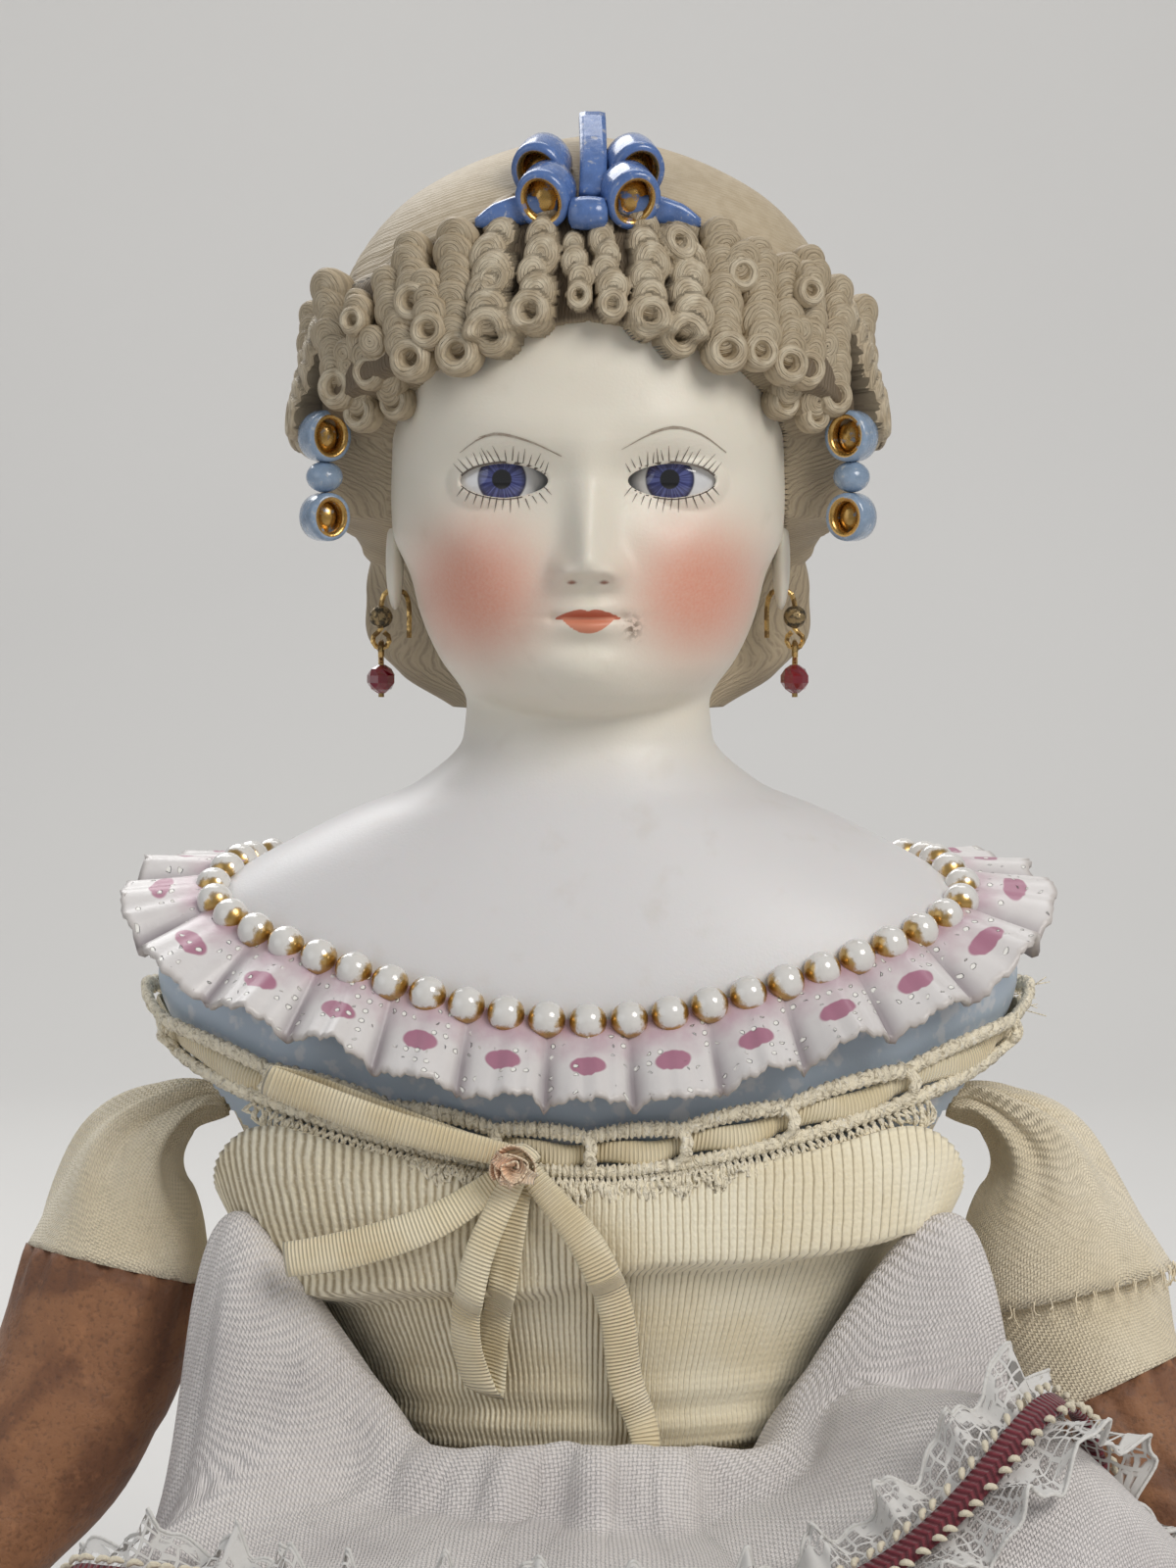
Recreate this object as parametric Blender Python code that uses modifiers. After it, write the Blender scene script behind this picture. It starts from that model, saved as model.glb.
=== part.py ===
"""An antique bisque shoulder-head doll, seated, in her knitted bodice with her lawn dress lowered to the lap.

Metres, +Z up. The doll faces -Y and sits on the plane z = 0, with the origin under her seat.
"""

import math

import bmesh
import bpy
import numpy as np
from mathutils import Matrix, Vector

# Heights, each measured from the one below it
SEAT_TO_HIP = 0.0220
HIP_TO_WAIST = 0.0520
WAIST_TO_BUST = 0.0500
BUST_TO_SHOULDER = 0.0140
SHOULDER_TO_NECK = 0.0338
NECK_TO_CHIN = 0.0027
CHIN_TO_MOUTH = 0.0148
MOUTH_TO_NOSE_TIP = 0.0075
MOUTH_TO_EAR_HOLE = 0.0034
MOUTH_TO_EYES = 0.0187
EYES_TO_HAIRLINE = 0.0218
HAIRLINE_TO_CROWN = 0.0267

# Half-widths of the figure
HEAD_HALF_WIDTH = 0.0282
HAIR_HALF_WIDTH = 0.0375
NECK_HALF_WIDTH = 0.0178
SHOULDER_HALF_WIDTH = 0.0615
WAIST_HALF_WIDTH = 0.0305
HIP_HALF_WIDTH = 0.0440

# Bisque casting
BISQUE_WALL = 0.0030
PLATE_BELOW_BUST = 0.0160
ARMHOLE_RADIUS = 0.0180
ARMHOLE_INNER_X = 0.0440
CASTING_GRAIN = 0.0008
LINING_SIDES = 28
LINING_STEP = 0.0060
CASTING_DETAIL = 0.028
NECKLINE_BELOW_SHOULDER = 0.0035
NECKLINE_RISE = 0.0190
BEAD_RADIUS = 0.0025
BEAD_PITCH = 0.0054
RUFFLE_LENGTH = 0.0135
RUFFLE_THICKNESS = 0.0017
RUFFLE_DEPTH = 0.0026
FLUTE_PITCH = 0.0108

# Eyes of blown glass, set from inside
EYE_X = 0.0115
EYE_RADIUS = 0.0080
EYE_CENTRE_Y = -0.0172
LID_THICKNESS = 0.0011
EYE_OPENING_WIDTH = 0.0121
EYE_OPENING_HEIGHT = 0.0052

# Hair
RINGLET_COLUMNS = 21
RINGLET_STEP_DEG = 8.2
RINGLET_RADIUS = 0.0024
RINGLET_BAND = 0.0130
BOW_RIBBON = 0.0050
BOW_THICKNESS = 0.0013

# Ears and earrings
LOBE_X = 0.0276
LOBE_Y = 0.0010
LOBE_HALF_THICKNESS = 0.0013
EAR_HOLE_RADIUS = 0.0007
WIRE_RADIUS = 0.0004
HOOK_REACH = 0.0020
BRASS_BEAD_RADIUS = 0.0017
BRASS_BEAD_DROP = 0.0040
EYE_LOOP_RADIUS = 0.0012
GARNET_RADIUS = 0.0021

# Clothes and body
CLEARANCE = 0.0003
STUFFING_GAP = 0.0008
KNIT_THICKNESS = 0.0014
KNIT_GAP = 0.0008
WAIST_GAP = 0.0020
KNIT_BELOW_WAIST = 0.0005
ARMHOLE_DIP = 0.0180
LACE_THICKNESS = 0.0009
LACE_HEIGHT = 0.0070
LACE_BELOW_RUFFLE = 0.0080
LACE_RISE = 0.0160
EYELET_COUNT = 18
EYELET_HEIGHT = 0.0030
RIBBON_THICKNESS = 0.0005
RIBBON_WIDTH = 0.0036
BOW_TAIL_WIDTH = 0.0048
BOW_X = -0.0085
BOW_KNOT_RADIUS = 0.0021
ROSEBUD_RADIUS = 0.0024
ARM_HALF_WIDTH = 0.0132
WRIST_HALF_WIDTH = 0.0072
LIMB_STEPS = 2
LEG_RADIUS = 0.0150
LEG_SPREAD = 0.0200
LEG_LENGTH = 0.1950
HIP_PRESS = 0.0009
BOOT_LENGTH = 0.0330
BOOT_HEIGHT = 0.0360
DRESS_THICKNESS = 0.0016
DRESS_SIDE_REACH = 0.1120
DRESS_BACK_REACH = 0.0800
DRESS_FRONT_REACH = 0.2000
DRESS_FOLDS = 12
DRESS_COLUMNS = 42
DRESS_FOLD_DEPTH = 0.0025
LOBE_AZIMUTH_DEG = 65
LOBE_RISE = 0.0300
LAP_HEIGHT = 0.0600
SIDE_LAP_HEIGHT = 0.0300
LAP_REACH = 0.0830
LIFTED_FOLD_RISE = 0.0230
FLOUNCE_THICKNESS = 0.0010
FLOUNCE_WIDTH = 0.0170
FLOUNCE_LIFT = 0.0026
FLOUNCE_WAVE = 0.0008
BRAID_WIDTH = 0.0042
BRAID_THICKNESS = 0.0007

# Heights above the surface that she sits on
HIP_Z = SEAT_TO_HIP
WAIST_Z = HIP_Z + HIP_TO_WAIST
BUST_Z = WAIST_Z + WAIST_TO_BUST
SHOULDER_Z = BUST_Z + BUST_TO_SHOULDER
NECK_Z = SHOULDER_Z + SHOULDER_TO_NECK
CHIN_Z = NECK_Z + NECK_TO_CHIN
MOUTH_Z = CHIN_Z + CHIN_TO_MOUTH
NOSE_TIP_Z = MOUTH_Z + MOUTH_TO_NOSE_TIP
EAR_HOLE_Z = MOUTH_Z + MOUTH_TO_EAR_HOLE
EYE_Z = MOUTH_Z + MOUTH_TO_EYES
HAIRLINE_Z = EYE_Z + EYES_TO_HAIRLINE
CROWN_Z = HAIRLINE_Z + HAIRLINE_TO_CROWN
PLATE_BOTTOM_Z = BUST_Z - PLATE_BELOW_BUST
NECKLINE_FRONT_Z = SHOULDER_Z - NECKLINE_BELOW_SHOULDER
LACE_FRONT_Z = NECKLINE_FRONT_Z - RUFFLE_LENGTH - LACE_BELOW_RUFFLE
KNIT_HEM_Z = WAIST_Z - KNIT_BELOW_WAIST
BOW_Z = LACE_FRONT_Z + 0.4 * LACE_HEIGHT


def between(low, high, share):
    return low + (high - low) * share


# Stations of the figure: height, half-width, depth in front of and behind the axis
BODY = (
    (0.0000, HIP_HALF_WIDTH - 0.0130, 0.0270, 0.0300),
    (HIP_Z, HIP_HALF_WIDTH, 0.0330, 0.0420),
    (between(HIP_Z, WAIST_Z, 0.46), between(HIP_HALF_WIDTH, WAIST_HALF_WIDTH, 0.5), 0.0290, 0.0350),
    (WAIST_Z, WAIST_HALF_WIDTH, 0.0235, 0.0235),
    (between(WAIST_Z, BUST_Z, 0.42), WAIST_HALF_WIDTH + 0.0085, 0.0290, 0.0255),
    (between(WAIST_Z, BUST_Z, 0.72), SHOULDER_HALF_WIDTH - 0.0130, 0.0325, 0.0275),
    (BUST_Z, SHOULDER_HALF_WIDTH - 0.0060, 0.0335, 0.0290),
    (SHOULDER_Z, SHOULDER_HALF_WIDTH, 0.0310, 0.0300),
    (between(SHOULDER_Z, NECK_Z, 0.192), SHOULDER_HALF_WIDTH - 0.0022, 0.0290, 0.0300),
    (between(SHOULDER_Z, NECK_Z, 0.325), SHOULDER_HALF_WIDTH - 0.0062, 0.0272, 0.0290),
    (between(SHOULDER_Z, NECK_Z, 0.453), SHOULDER_HALF_WIDTH - 0.0125, 0.0252, 0.0270),
    (between(SHOULDER_Z, NECK_Z, 0.577), NECK_HALF_WIDTH + 0.0235, 0.0230, 0.0248),
    (between(SHOULDER_Z, NECK_Z, 0.689), NECK_HALF_WIDTH + 0.0158, 0.0208, 0.0225),
    (between(SHOULDER_Z, NECK_Z, 0.800), NECK_HALF_WIDTH + 0.0068, 0.0185, 0.0198),
    (NECK_Z, NECK_HALF_WIDTH, 0.0160, 0.0172),
    (between(NECK_Z, EYE_Z, 0.50), NECK_HALF_WIDTH - 0.0015, 0.0150, 0.0165),
    (between(NECK_Z, EYE_Z, 0.92), 0.0100, 0.0100, 0.0100),
    (CROWN_Z, 0.0030, 0.0030, 0.0030),
)
HEAD = (
    (CHIN_Z - 0.0030, 0.0015, 0.0015, 0.0015),
    (CHIN_Z, 0.0060, 0.0120, 0.0080),
    (between(CHIN_Z, MOUTH_Z, 0.135), 0.0120, 0.0210, 0.0150),
    (between(CHIN_Z, MOUTH_Z, 0.304), 0.0168, 0.0247, 0.0200),
    (between(CHIN_Z, MOUTH_Z, 0.575), HEAD_HALF_WIDTH - 0.0074, 0.0268, 0.0240),
    (MOUTH_Z, HEAD_HALF_WIDTH - 0.0044, 0.0278, 0.0270),
    (between(MOUTH_Z, EYE_Z, 0.28), HEAD_HALF_WIDTH - 0.0030, 0.0282, 0.0290),
    (between(MOUTH_Z, EYE_Z, 0.63), HEAD_HALF_WIDTH - 0.0004, 0.0284, 0.0305),
    (EYE_Z, HEAD_HALF_WIDTH, 0.0284, 0.0315),
    (between(EYE_Z, HAIRLINE_Z, 0.275), HEAD_HALF_WIDTH, 0.0297, 0.0320),
    (between(EYE_Z, HAIRLINE_Z, 0.64), HEAD_HALF_WIDTH - 0.0004, 0.0293, 0.0320),
    (HAIRLINE_Z, HEAD_HALF_WIDTH - 0.0018, 0.0275, 0.0305),
    (between(HAIRLINE_Z, CROWN_Z, 0.307), HEAD_HALF_WIDTH - 0.0050, 0.0235, 0.0265),
    (between(HAIRLINE_Z, CROWN_Z, 0.57), HEAD_HALF_WIDTH - 0.0105, 0.0175, 0.0200),
    (between(HAIRLINE_Z, CROWN_Z, 0.757), 0.0120, 0.0110, 0.0130),
    (CROWN_Z, 0.0020, 0.0020, 0.0020),
)
HAIR = (
    (CHIN_Z - 0.0030, 0.0120, 0.0080, 0.0140),
    (between(CHIN_Z, MOUTH_Z, 0.10), 0.0200, 0.0100, 0.0270),
    (between(CHIN_Z, MOUTH_Z, 0.37), HAIR_HALF_WIDTH - 0.0092, 0.0120, 0.0350),
    (between(CHIN_Z, MOUTH_Z, 0.74), HAIR_HALF_WIDTH - 0.0050, 0.0120, 0.0400),
    (between(MOUTH_Z, EYE_Z, 0.144), HAIR_HALF_WIDTH - 0.0042, 0.0120, 0.0415),
    (between(MOUTH_Z, EYE_Z, 0.44), HAIR_HALF_WIDTH - 0.0054, 0.0120, 0.0400),
    (between(MOUTH_Z, EYE_Z, 0.65), HAIR_HALF_WIDTH - 0.0026, 0.0220, 0.0405),
    (EYE_Z, HAIR_HALF_WIDTH, 0.0300, 0.0405),
    (between(EYE_Z, HAIRLINE_Z, 0.32), HAIR_HALF_WIDTH + 0.0002, 0.0318, 0.0395),
    (between(EYE_Z, HAIRLINE_Z, 0.64), HAIR_HALF_WIDTH - 0.0005, 0.0316, 0.0385),
    (HAIRLINE_Z, HAIR_HALF_WIDTH - 0.0015, 0.0300, 0.0370),
    (between(HAIRLINE_Z, CROWN_Z, 0.27), HAIR_HALF_WIDTH - 0.0037, 0.0278, 0.0343),
    (between(HAIRLINE_Z, CROWN_Z, 0.476), HAIR_HALF_WIDTH - 0.0070, 0.0248, 0.0310),
    (between(HAIRLINE_Z, CROWN_Z, 0.663), HAIR_HALF_WIDTH - 0.0117, 0.0205, 0.0265),
    (between(HAIRLINE_Z, CROWN_Z, 0.83), HAIR_HALF_WIDTH - 0.0190, 0.0148, 0.0195),
    (between(HAIRLINE_Z, CROWN_Z, 0.955), 0.0095, 0.0085, 0.0110),
    (CROWN_Z, 0.0030, 0.0030, 0.0040),
)
# Where the hair starts, as the azimuth from the front at each height
HAIR_EDGE = (
    (CHIN_Z, 108.0),
    (between(MOUTH_Z, EYE_Z, 0.36), 108.0),
    (between(MOUTH_Z, EYE_Z, 0.545), 98.0),
    (between(MOUTH_Z, EYE_Z, 0.73), 84.0),
    (EYE_Z, 80.0),
    (between(EYE_Z, HAIRLINE_Z, 0.275), 76.0),
    (between(EYE_Z, HAIRLINE_Z, 0.505), 62.0),
    (between(EYE_Z, HAIRLINE_Z, 0.69), 48.0),
    (between(EYE_Z, HAIRLINE_Z, 0.85), 30.0),
    (between(EYE_Z, HAIRLINE_Z, 0.963), 12.0),
    (HAIRLINE_Z, 0.0),
    (HAIRLINE_Z + 0.0025, -14.0),
)
HAIR_BLEND_DEG = 9.0
FULLNESS = 2.25
JAW_BLEND = 9.0

# Soft forms of the face: distance from the middle, height, half-breadth, half-height, how far it stands out
FACE_FORMS = (
    (EYE_X, EYE_Z - 0.0005, 0.0070, 0.0048, -0.0022),
    (EYE_X, EYE_Z + 0.0078, 0.0085, 0.0034, 0.0006),
    (0.0145, between(MOUTH_Z, EYE_Z, 0.25), 0.0085, 0.0085, 0.0018),
    (0.0034, NOSE_TIP_Z - 0.0012, 0.0017, 0.0019, 0.0021),
    (0.0000, MOUTH_Z + 0.0010, 0.0075, 0.0060, 0.0016),
    (0.0000, MOUTH_Z - 0.0078, 0.0060, 0.0040, 0.0018),
    (0.0000, MOUTH_Z - 0.0038, 0.0050, 0.0014, -0.0007),
    (0.0000, MOUTH_Z + 0.0014, 0.0040, 0.0010, 0.0007),
    (0.0000, MOUTH_Z, 0.0046, 0.0004, -0.0010),
    (0.0000, MOUTH_Z - 0.0013, 0.0032, 0.0011, 0.0009),
)
NOSE_RIDGE = (
    (NOSE_TIP_Z - 0.0042, 0.0000, 0.0034),
    (NOSE_TIP_Z - 0.0026, 0.0022, 0.0034),
    (NOSE_TIP_Z - 0.0010, 0.0056, 0.0032),
    (NOSE_TIP_Z + 0.0005, 0.0062, 0.0030),
    (NOSE_TIP_Z + 0.0040, 0.0046, 0.0027),
    (EYE_Z, 0.0018, 0.0028),
    (EYE_Z + 0.0050, 0.0007, 0.0034),
    (EYE_Z + 0.0100, 0.0000, 0.0040),
)

COLOURS = {
    "bisque": ((0.80, 0.76, 0.70), 0.55, 0.0),
    "glass_eye": ((0.10, 0.13, 0.38), 0.10, 0.0),
    "brass": ((0.42, 0.31, 0.12), 0.35, 1.0),
    "garnet": ((0.16, 0.02, 0.05), 0.10, 0.0),
    "muslin": ((0.72, 0.65, 0.47), 0.90, 0.0),
    "leather": ((0.34, 0.16, 0.07), 0.65, 0.0),
    "knit": ((0.76, 0.70, 0.54), 0.95, 0.0),
    "lace": ((0.74, 0.68, 0.52), 0.90, 0.0),
    "ribbon": ((0.70, 0.58, 0.36), 0.45, 0.0),
    "rosebud": ((0.80, 0.52, 0.36), 0.60, 0.0),
    "lawn": ((0.68, 0.65, 0.66), 0.90, 0.0),
    "flounce": ((0.78, 0.75, 0.70), 0.90, 0.0),
    "braid": ((0.26, 0.03, 0.06), 0.80, 0.0),
    "boot_leather": ((0.05, 0.035, 0.03), 0.40, 0.0),
}


def clear_scene():
    for obj in list(bpy.data.objects):
        bpy.data.objects.remove(obj)


def collection(name):
    made = bpy.data.collections.new(name)
    bpy.context.scene.collection.children.link(made)
    return made


def material(name):
    found = bpy.data.materials.get(name)
    if found:
        return found
    colour, roughness, metallic = COLOURS[name]
    made = bpy.data.materials.new(name)
    made.use_nodes = True
    shader = made.node_tree.nodes["Principled BSDF"]
    shader.inputs["Base Color"].default_value = (*colour, 1.0)
    shader.inputs["Roughness"].default_value = roughness
    shader.inputs["Metallic"].default_value = metallic
    return made


def place(name, mesh, look, into):
    obj = bpy.data.objects.new(name, mesh)
    mesh.materials.append(material(look))
    mesh.shade_smooth()
    mesh.set_sharp_from_angle(angle=math.radians(50))
    into.objects.link(obj)
    return obj


# Smooth curves and sections


def curve_through(knots, at, column=1):
    """A smooth curve through the knots that never overshoots them, read at one or more heights."""
    rows = np.array(knots, float)
    x, y = rows[:, 0], rows[:, column]
    step = np.diff(x)
    slope = np.diff(y) / step
    tangent = np.zeros_like(y)
    tangent[0], tangent[-1] = slope[0], slope[-1]
    same = slope[:-1] * slope[1:] > 0
    safe = np.where(same, slope[:-1] + slope[1:], 1.0)
    tangent[1:-1] = np.where(same, 2 * slope[:-1] * slope[1:] / safe, 0.0)
    at = np.clip(np.asarray(at, float), x[0], x[-1])
    i = np.clip(np.searchsorted(x, at) - 1, 0, len(x) - 2)
    t = (at - x[i]) / step[i]
    return (
        (2 * t**3 - 3 * t**2 + 1) * y[i]
        + (t**3 - 2 * t**2 + t) * step[i] * tangent[i]
        + (3 * t**2 - 2 * t**3) * y[i + 1]
        + (t**3 - t**2) * step[i] * tangent[i + 1]
    )


def section_radius(stations, theta, z):
    """Distance from the axis to the outline at azimuth theta, where 0 is the front and +X is positive."""
    width = curve_through(stations, z, 1)
    depth = np.where(np.cos(theta) > 0, curve_through(stations, z, 2), curve_through(stations, z, 3))
    across = np.abs(np.sin(theta)) / width
    along = np.abs(np.cos(theta)) / depth
    return (across**FULLNESS + along**FULLNESS) ** (-1 / FULLNESS)


def body_radius(theta, z):
    return section_radius(BODY, theta, z)


def lining_radius(theta, z, wall):
    """The inside of a wall that follows the body and its sloping shoulders."""
    return body_radius(theta, z + wall) - wall


def skin_radius(theta, z):
    head = section_radius(HEAD, theta, z)
    return (head**JAW_BLEND + body_radius(theta, z) ** JAW_BLEND) ** (1 / JAW_BLEND)


def hair_cover(theta, z):
    """1 where hair covers the head, 0 on bare skin."""
    rows = np.array(HAIR_EDGE)
    edge = np.interp(z, rows[:, 0], rows[:, 1])
    t = np.clip((np.degrees(np.abs(theta)) - edge) / HAIR_BLEND_DEG + 0.5, 0, 1)
    return t * t * (3 - 2 * t) * (z > CHIN_Z - 0.003)


def casting_radius(theta, z):
    cover = hair_cover(theta, z)
    hair = np.maximum(section_radius(HAIR, theta, z), skin_radius(theta, z))
    return skin_radius(theta, z) * (1 - cover) + hair * cover


def at_radius(theta, z, radius):
    return np.stack([radius * np.sin(theta), -radius * np.cos(theta), z + 0 * theta], axis=-1)


def face_relief(x, z):
    """How far the modelled face stands out in front of the plain head."""
    relief = np.zeros_like(x)
    for across, height, breadth, tall, out in FACE_FORMS:
        for side in (-1, 1) if across else (1,):
            relief += out * np.exp(-(((x - side * across) / breadth) ** 2) - ((z - height) / tall) ** 2)
    ridge = curve_through(NOSE_RIDGE, z, 1)
    return relief + ridge * np.exp(-((x / curve_through(NOSE_RIDGE, z, 2)) ** 2))


def with_face(points):
    """Moves the front of the head forward into the face, and rounds the lids over the eyes."""
    points = points.copy()
    front = np.clip((-points[..., 1] - 0.008) / 0.008, 0, 1)
    x, z = points[..., 0], points[..., 2]
    points[..., 1] -= front * face_relief(x, z)
    ball = EYE_RADIUS + LID_THICKNESS
    flat = (np.abs(x) - EYE_X) ** 2 + (z - EYE_Z) ** 2
    lid = EYE_CENTRE_Y - np.sqrt(np.maximum(ball**2 - flat, 0))
    over_eye = (flat < ball**2) & (points[..., 1] < 0)
    points[..., 1] = np.where(over_eye, np.minimum(points[..., 1], lid), points[..., 1])
    return points


# Mesh makers


def mesh_from_rings(name, rings, cap_start=True, cap_end=True):
    """A loft through rings of points, each ring with the same count."""
    rings = np.asarray(rings, float)
    count, around = rings.shape[:2]
    faces = []
    for i in range(count - 1):
        for j in range(around):
            k = (j + 1) % around
            faces.append((i * around + j, i * around + k, (i + 1) * around + k, (i + 1) * around + j))
    if cap_start:
        faces.append(tuple(reversed(range(around))))
    if cap_end:
        faces.append(tuple((count - 1) * around + j for j in range(around)))
    mesh = bpy.data.meshes.new(name)
    mesh.from_pydata(rings.reshape(-1, 3).tolist(), [], faces)
    return face_outwards(mesh) if cap_start else mesh


def face_outwards(mesh):
    work = bmesh.new()
    work.from_mesh(mesh)
    bmesh.ops.recalc_face_normals(work, faces=work.faces)
    if work.calc_volume(signed=True) < 0:
        bmesh.ops.reverse_faces(work, faces=work.faces)
    work.to_mesh(mesh)
    work.free()
    return mesh


def turned_rings(radius, heights, around):
    theta = np.linspace(-math.pi, math.pi, around, endpoint=False)
    return np.array([at_radius(theta, z, radius(theta, z)) for z in heights])


def lining_rings(wall, top_z):
    """Rings of the inside of the shoulders, from their lower edge up to top_z."""
    heights = np.arange(PLATE_BOTTOM_Z, top_z, LINING_STEP)
    return turned_rings(lambda theta, z: lining_radius(theta, z, wall), heights, LINING_SIDES)


def unit(vectors):
    vectors = np.asarray(vectors, float)
    return vectors / np.maximum(np.linalg.norm(vectors, axis=-1, keepdims=True), 1e-12)


def spline_through(rows, steps):
    """Points of a smooth line through the rows, with the given number of steps from each to the next."""
    rows = np.asarray(rows, float)
    ends = np.vstack([2 * rows[0] - rows[1], rows, 2 * rows[-1] - rows[-2]])
    line = []
    for a, b, c, d in zip(ends, ends[1:], ends[2:], ends[3:]):
        for t in np.arange(steps) / steps:
            bend = (2 * a - 5 * b + 4 * c - d) * t**2 + (3 * b - a - 3 * c + d) * t**3
            line.append(0.5 * (2 * b + (c - a) * t + bend))
    return np.array(line + [rows[-1]])


def smooth_route(points, count):
    """A smooth line through a few points, sampled evenly along its length."""
    points = np.asarray(points, float)
    line = spline_through(points, 24)
    along = np.concatenate([[0], np.cumsum(np.linalg.norm(np.diff(line, axis=0), axis=1))])
    at = np.linspace(0, along[-1], count)
    return np.stack([np.interp(at, along, line[:, k]) for k in range(points.shape[1])], axis=-1)


def strip_mesh(name, centres, across, width, thickness, closed=False):
    """A ribbon of rectangular section: across is the direction of its width at each point."""
    centres = np.asarray(centres, float)
    if closed:
        along = np.roll(centres, -1, axis=0) - np.roll(centres, 1, axis=0)
    else:
        along = np.gradient(centres, axis=0)
    across = unit(across)
    through = unit(np.cross(unit(along), across))
    half_w = 0.5 * np.broadcast_to(width, len(centres))[:, None] * across
    half_t = 0.5 * thickness * through
    corners = [(-1, -1), (1, -1), (1, 1), (-1, 1)]
    rings = np.stack([centres + w * half_w + t * half_t for w, t in corners], axis=1)
    if closed:
        rings = np.concatenate([rings, rings[:1]])
        mesh = mesh_from_rings(name, rings, False, False)
        return weld(mesh)
    return mesh_from_rings(name, rings)


def weld(mesh, within=1e-6):
    work = bmesh.new()
    work.from_mesh(mesh)
    bmesh.ops.remove_doubles(work, verts=work.verts, dist=within)
    bmesh.ops.recalc_face_normals(work, faces=work.faces)
    work.to_mesh(mesh)
    work.free()
    return mesh


def ball_mesh(name, centre, radii, segments=10, rings=7):
    work = bmesh.new()
    bmesh.ops.create_uvsphere(work, u_segments=segments, v_segments=rings, radius=1.0)
    bmesh.ops.scale(work, vec=Vector(radii), verts=work.verts)
    bmesh.ops.translate(work, vec=Vector(centre), verts=work.verts)
    mesh = bpy.data.meshes.new(name)
    work.to_mesh(mesh)
    work.free()
    return mesh


def rod_mesh(name, start, end, radius, segments=16):
    start, end = Vector(start), Vector(end)
    size = {"radius1": radius, "radius2": radius, "depth": (end - start).length}
    work = bmesh.new()
    bmesh.ops.create_cone(work, cap_ends=True, segments=segments, **size)
    turn = (end - start).to_track_quat("Z", "Y").to_matrix().to_4x4()
    bmesh.ops.transform(work, matrix=Matrix.Translation((start + end) / 2) @ turn, verts=work.verts)
    mesh = bpy.data.meshes.new(name)
    work.to_mesh(mesh)
    work.free()
    return mesh


def joined(name, meshes):
    work = bmesh.new()
    for mesh in meshes:
        work.from_mesh(mesh)
        bpy.data.meshes.remove(mesh)
    made = bpy.data.meshes.new(name)
    work.to_mesh(made)
    work.free()
    return made


def evaluated_mesh(obj):
    graph = bpy.context.evaluated_depsgraph_get()
    return bpy.data.meshes.new_from_object(obj.evaluated_get(graph))


def largest_shell(mesh):
    """Drops the closed pockets that fusing leaves inside."""
    work = bmesh.new()
    work.from_mesh(mesh)
    left = set(work.verts)
    shells = []
    while left:
        stack = [left.pop()]
        shell = []
        while stack:
            vert = stack.pop()
            shell.append(vert)
            for edge in vert.link_edges:
                other = edge.other_vert(vert)
                if other in left:
                    left.remove(other)
                    stack.append(other)
        shells.append(shell)
    keep = max(shells, key=len)
    bmesh.ops.delete(work, geom=[v for s in shells if s is not keep for v in s], context="VERTS")
    work.to_mesh(mesh)
    work.free()
    return mesh


def fused(name, meshes, grain):
    """One skin round overlapping closed meshes, as a mould leaves them."""
    whole = joined(name, meshes)
    helper = bpy.data.objects.new(name + "_loose", whole)
    bpy.context.scene.collection.objects.link(helper)
    remesh = helper.modifiers.new("fuse", "REMESH")
    remesh.mode = "VOXEL"
    remesh.voxel_size = grain
    bpy.context.view_layer.update()
    mesh = evaluated_mesh(helper)
    mesh.name = name
    bpy.data.objects.remove(helper)
    return largest_shell(mesh)


def combine(obj, name, mesh, cutters, operation):
    helper = bpy.data.objects.new(name, mesh)
    helper.hide_render = True
    helper.display_type = "WIRE"
    cutters.objects.link(helper)
    boolean = obj.modifiers.new(name, "BOOLEAN")
    boolean.operation = operation
    boolean.object = helper


def cut(obj, name, mesh, cutters):
    combine(obj, name, mesh, cutters, "DIFFERENCE")


def union(obj, name, mesh, cutters):
    combine(obj, name, mesh, cutters, "UNION")


def thicken(obj, thickness, outwards=True):
    solid = obj.modifiers.new("cloth", "SOLIDIFY")
    solid.thickness = thickness
    solid.offset = 1.0 if outwards else -1.0
    solid.use_even_offset = False


# Neckline, beads and ruffle of the casting


def neckline_z(theta):
    rise = np.clip(1 - np.cos(theta), 0, 1)
    return NECKLINE_FRONT_Z + NECKLINE_RISE * rise


def shoulder_point(theta, z, lift=0.0):
    return at_radius(theta, z, body_radius(theta, z) + lift)


def neckline_azimuths(pitch):
    """Azimuths evenly spaced along the neckline, as many as the pitch allows."""
    theta = np.linspace(-math.pi, math.pi, 721)
    line = shoulder_point(theta, neckline_z(theta))
    along = np.concatenate([[0], np.cumsum(np.linalg.norm(np.diff(line, axis=0), axis=1))])
    count = max(8, round(along[-1] / pitch))
    return np.interp(np.arange(count) * along[-1] / count, along, theta), count


def necklace_meshes():
    theta, count = neckline_azimuths(BEAD_PITCH)
    centres = shoulder_point(theta, neckline_z(theta), 0.60 * BEAD_RADIUS)
    return [ball_mesh("bead", centre, (BEAD_RADIUS,) * 3) for centre in centres]


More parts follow.
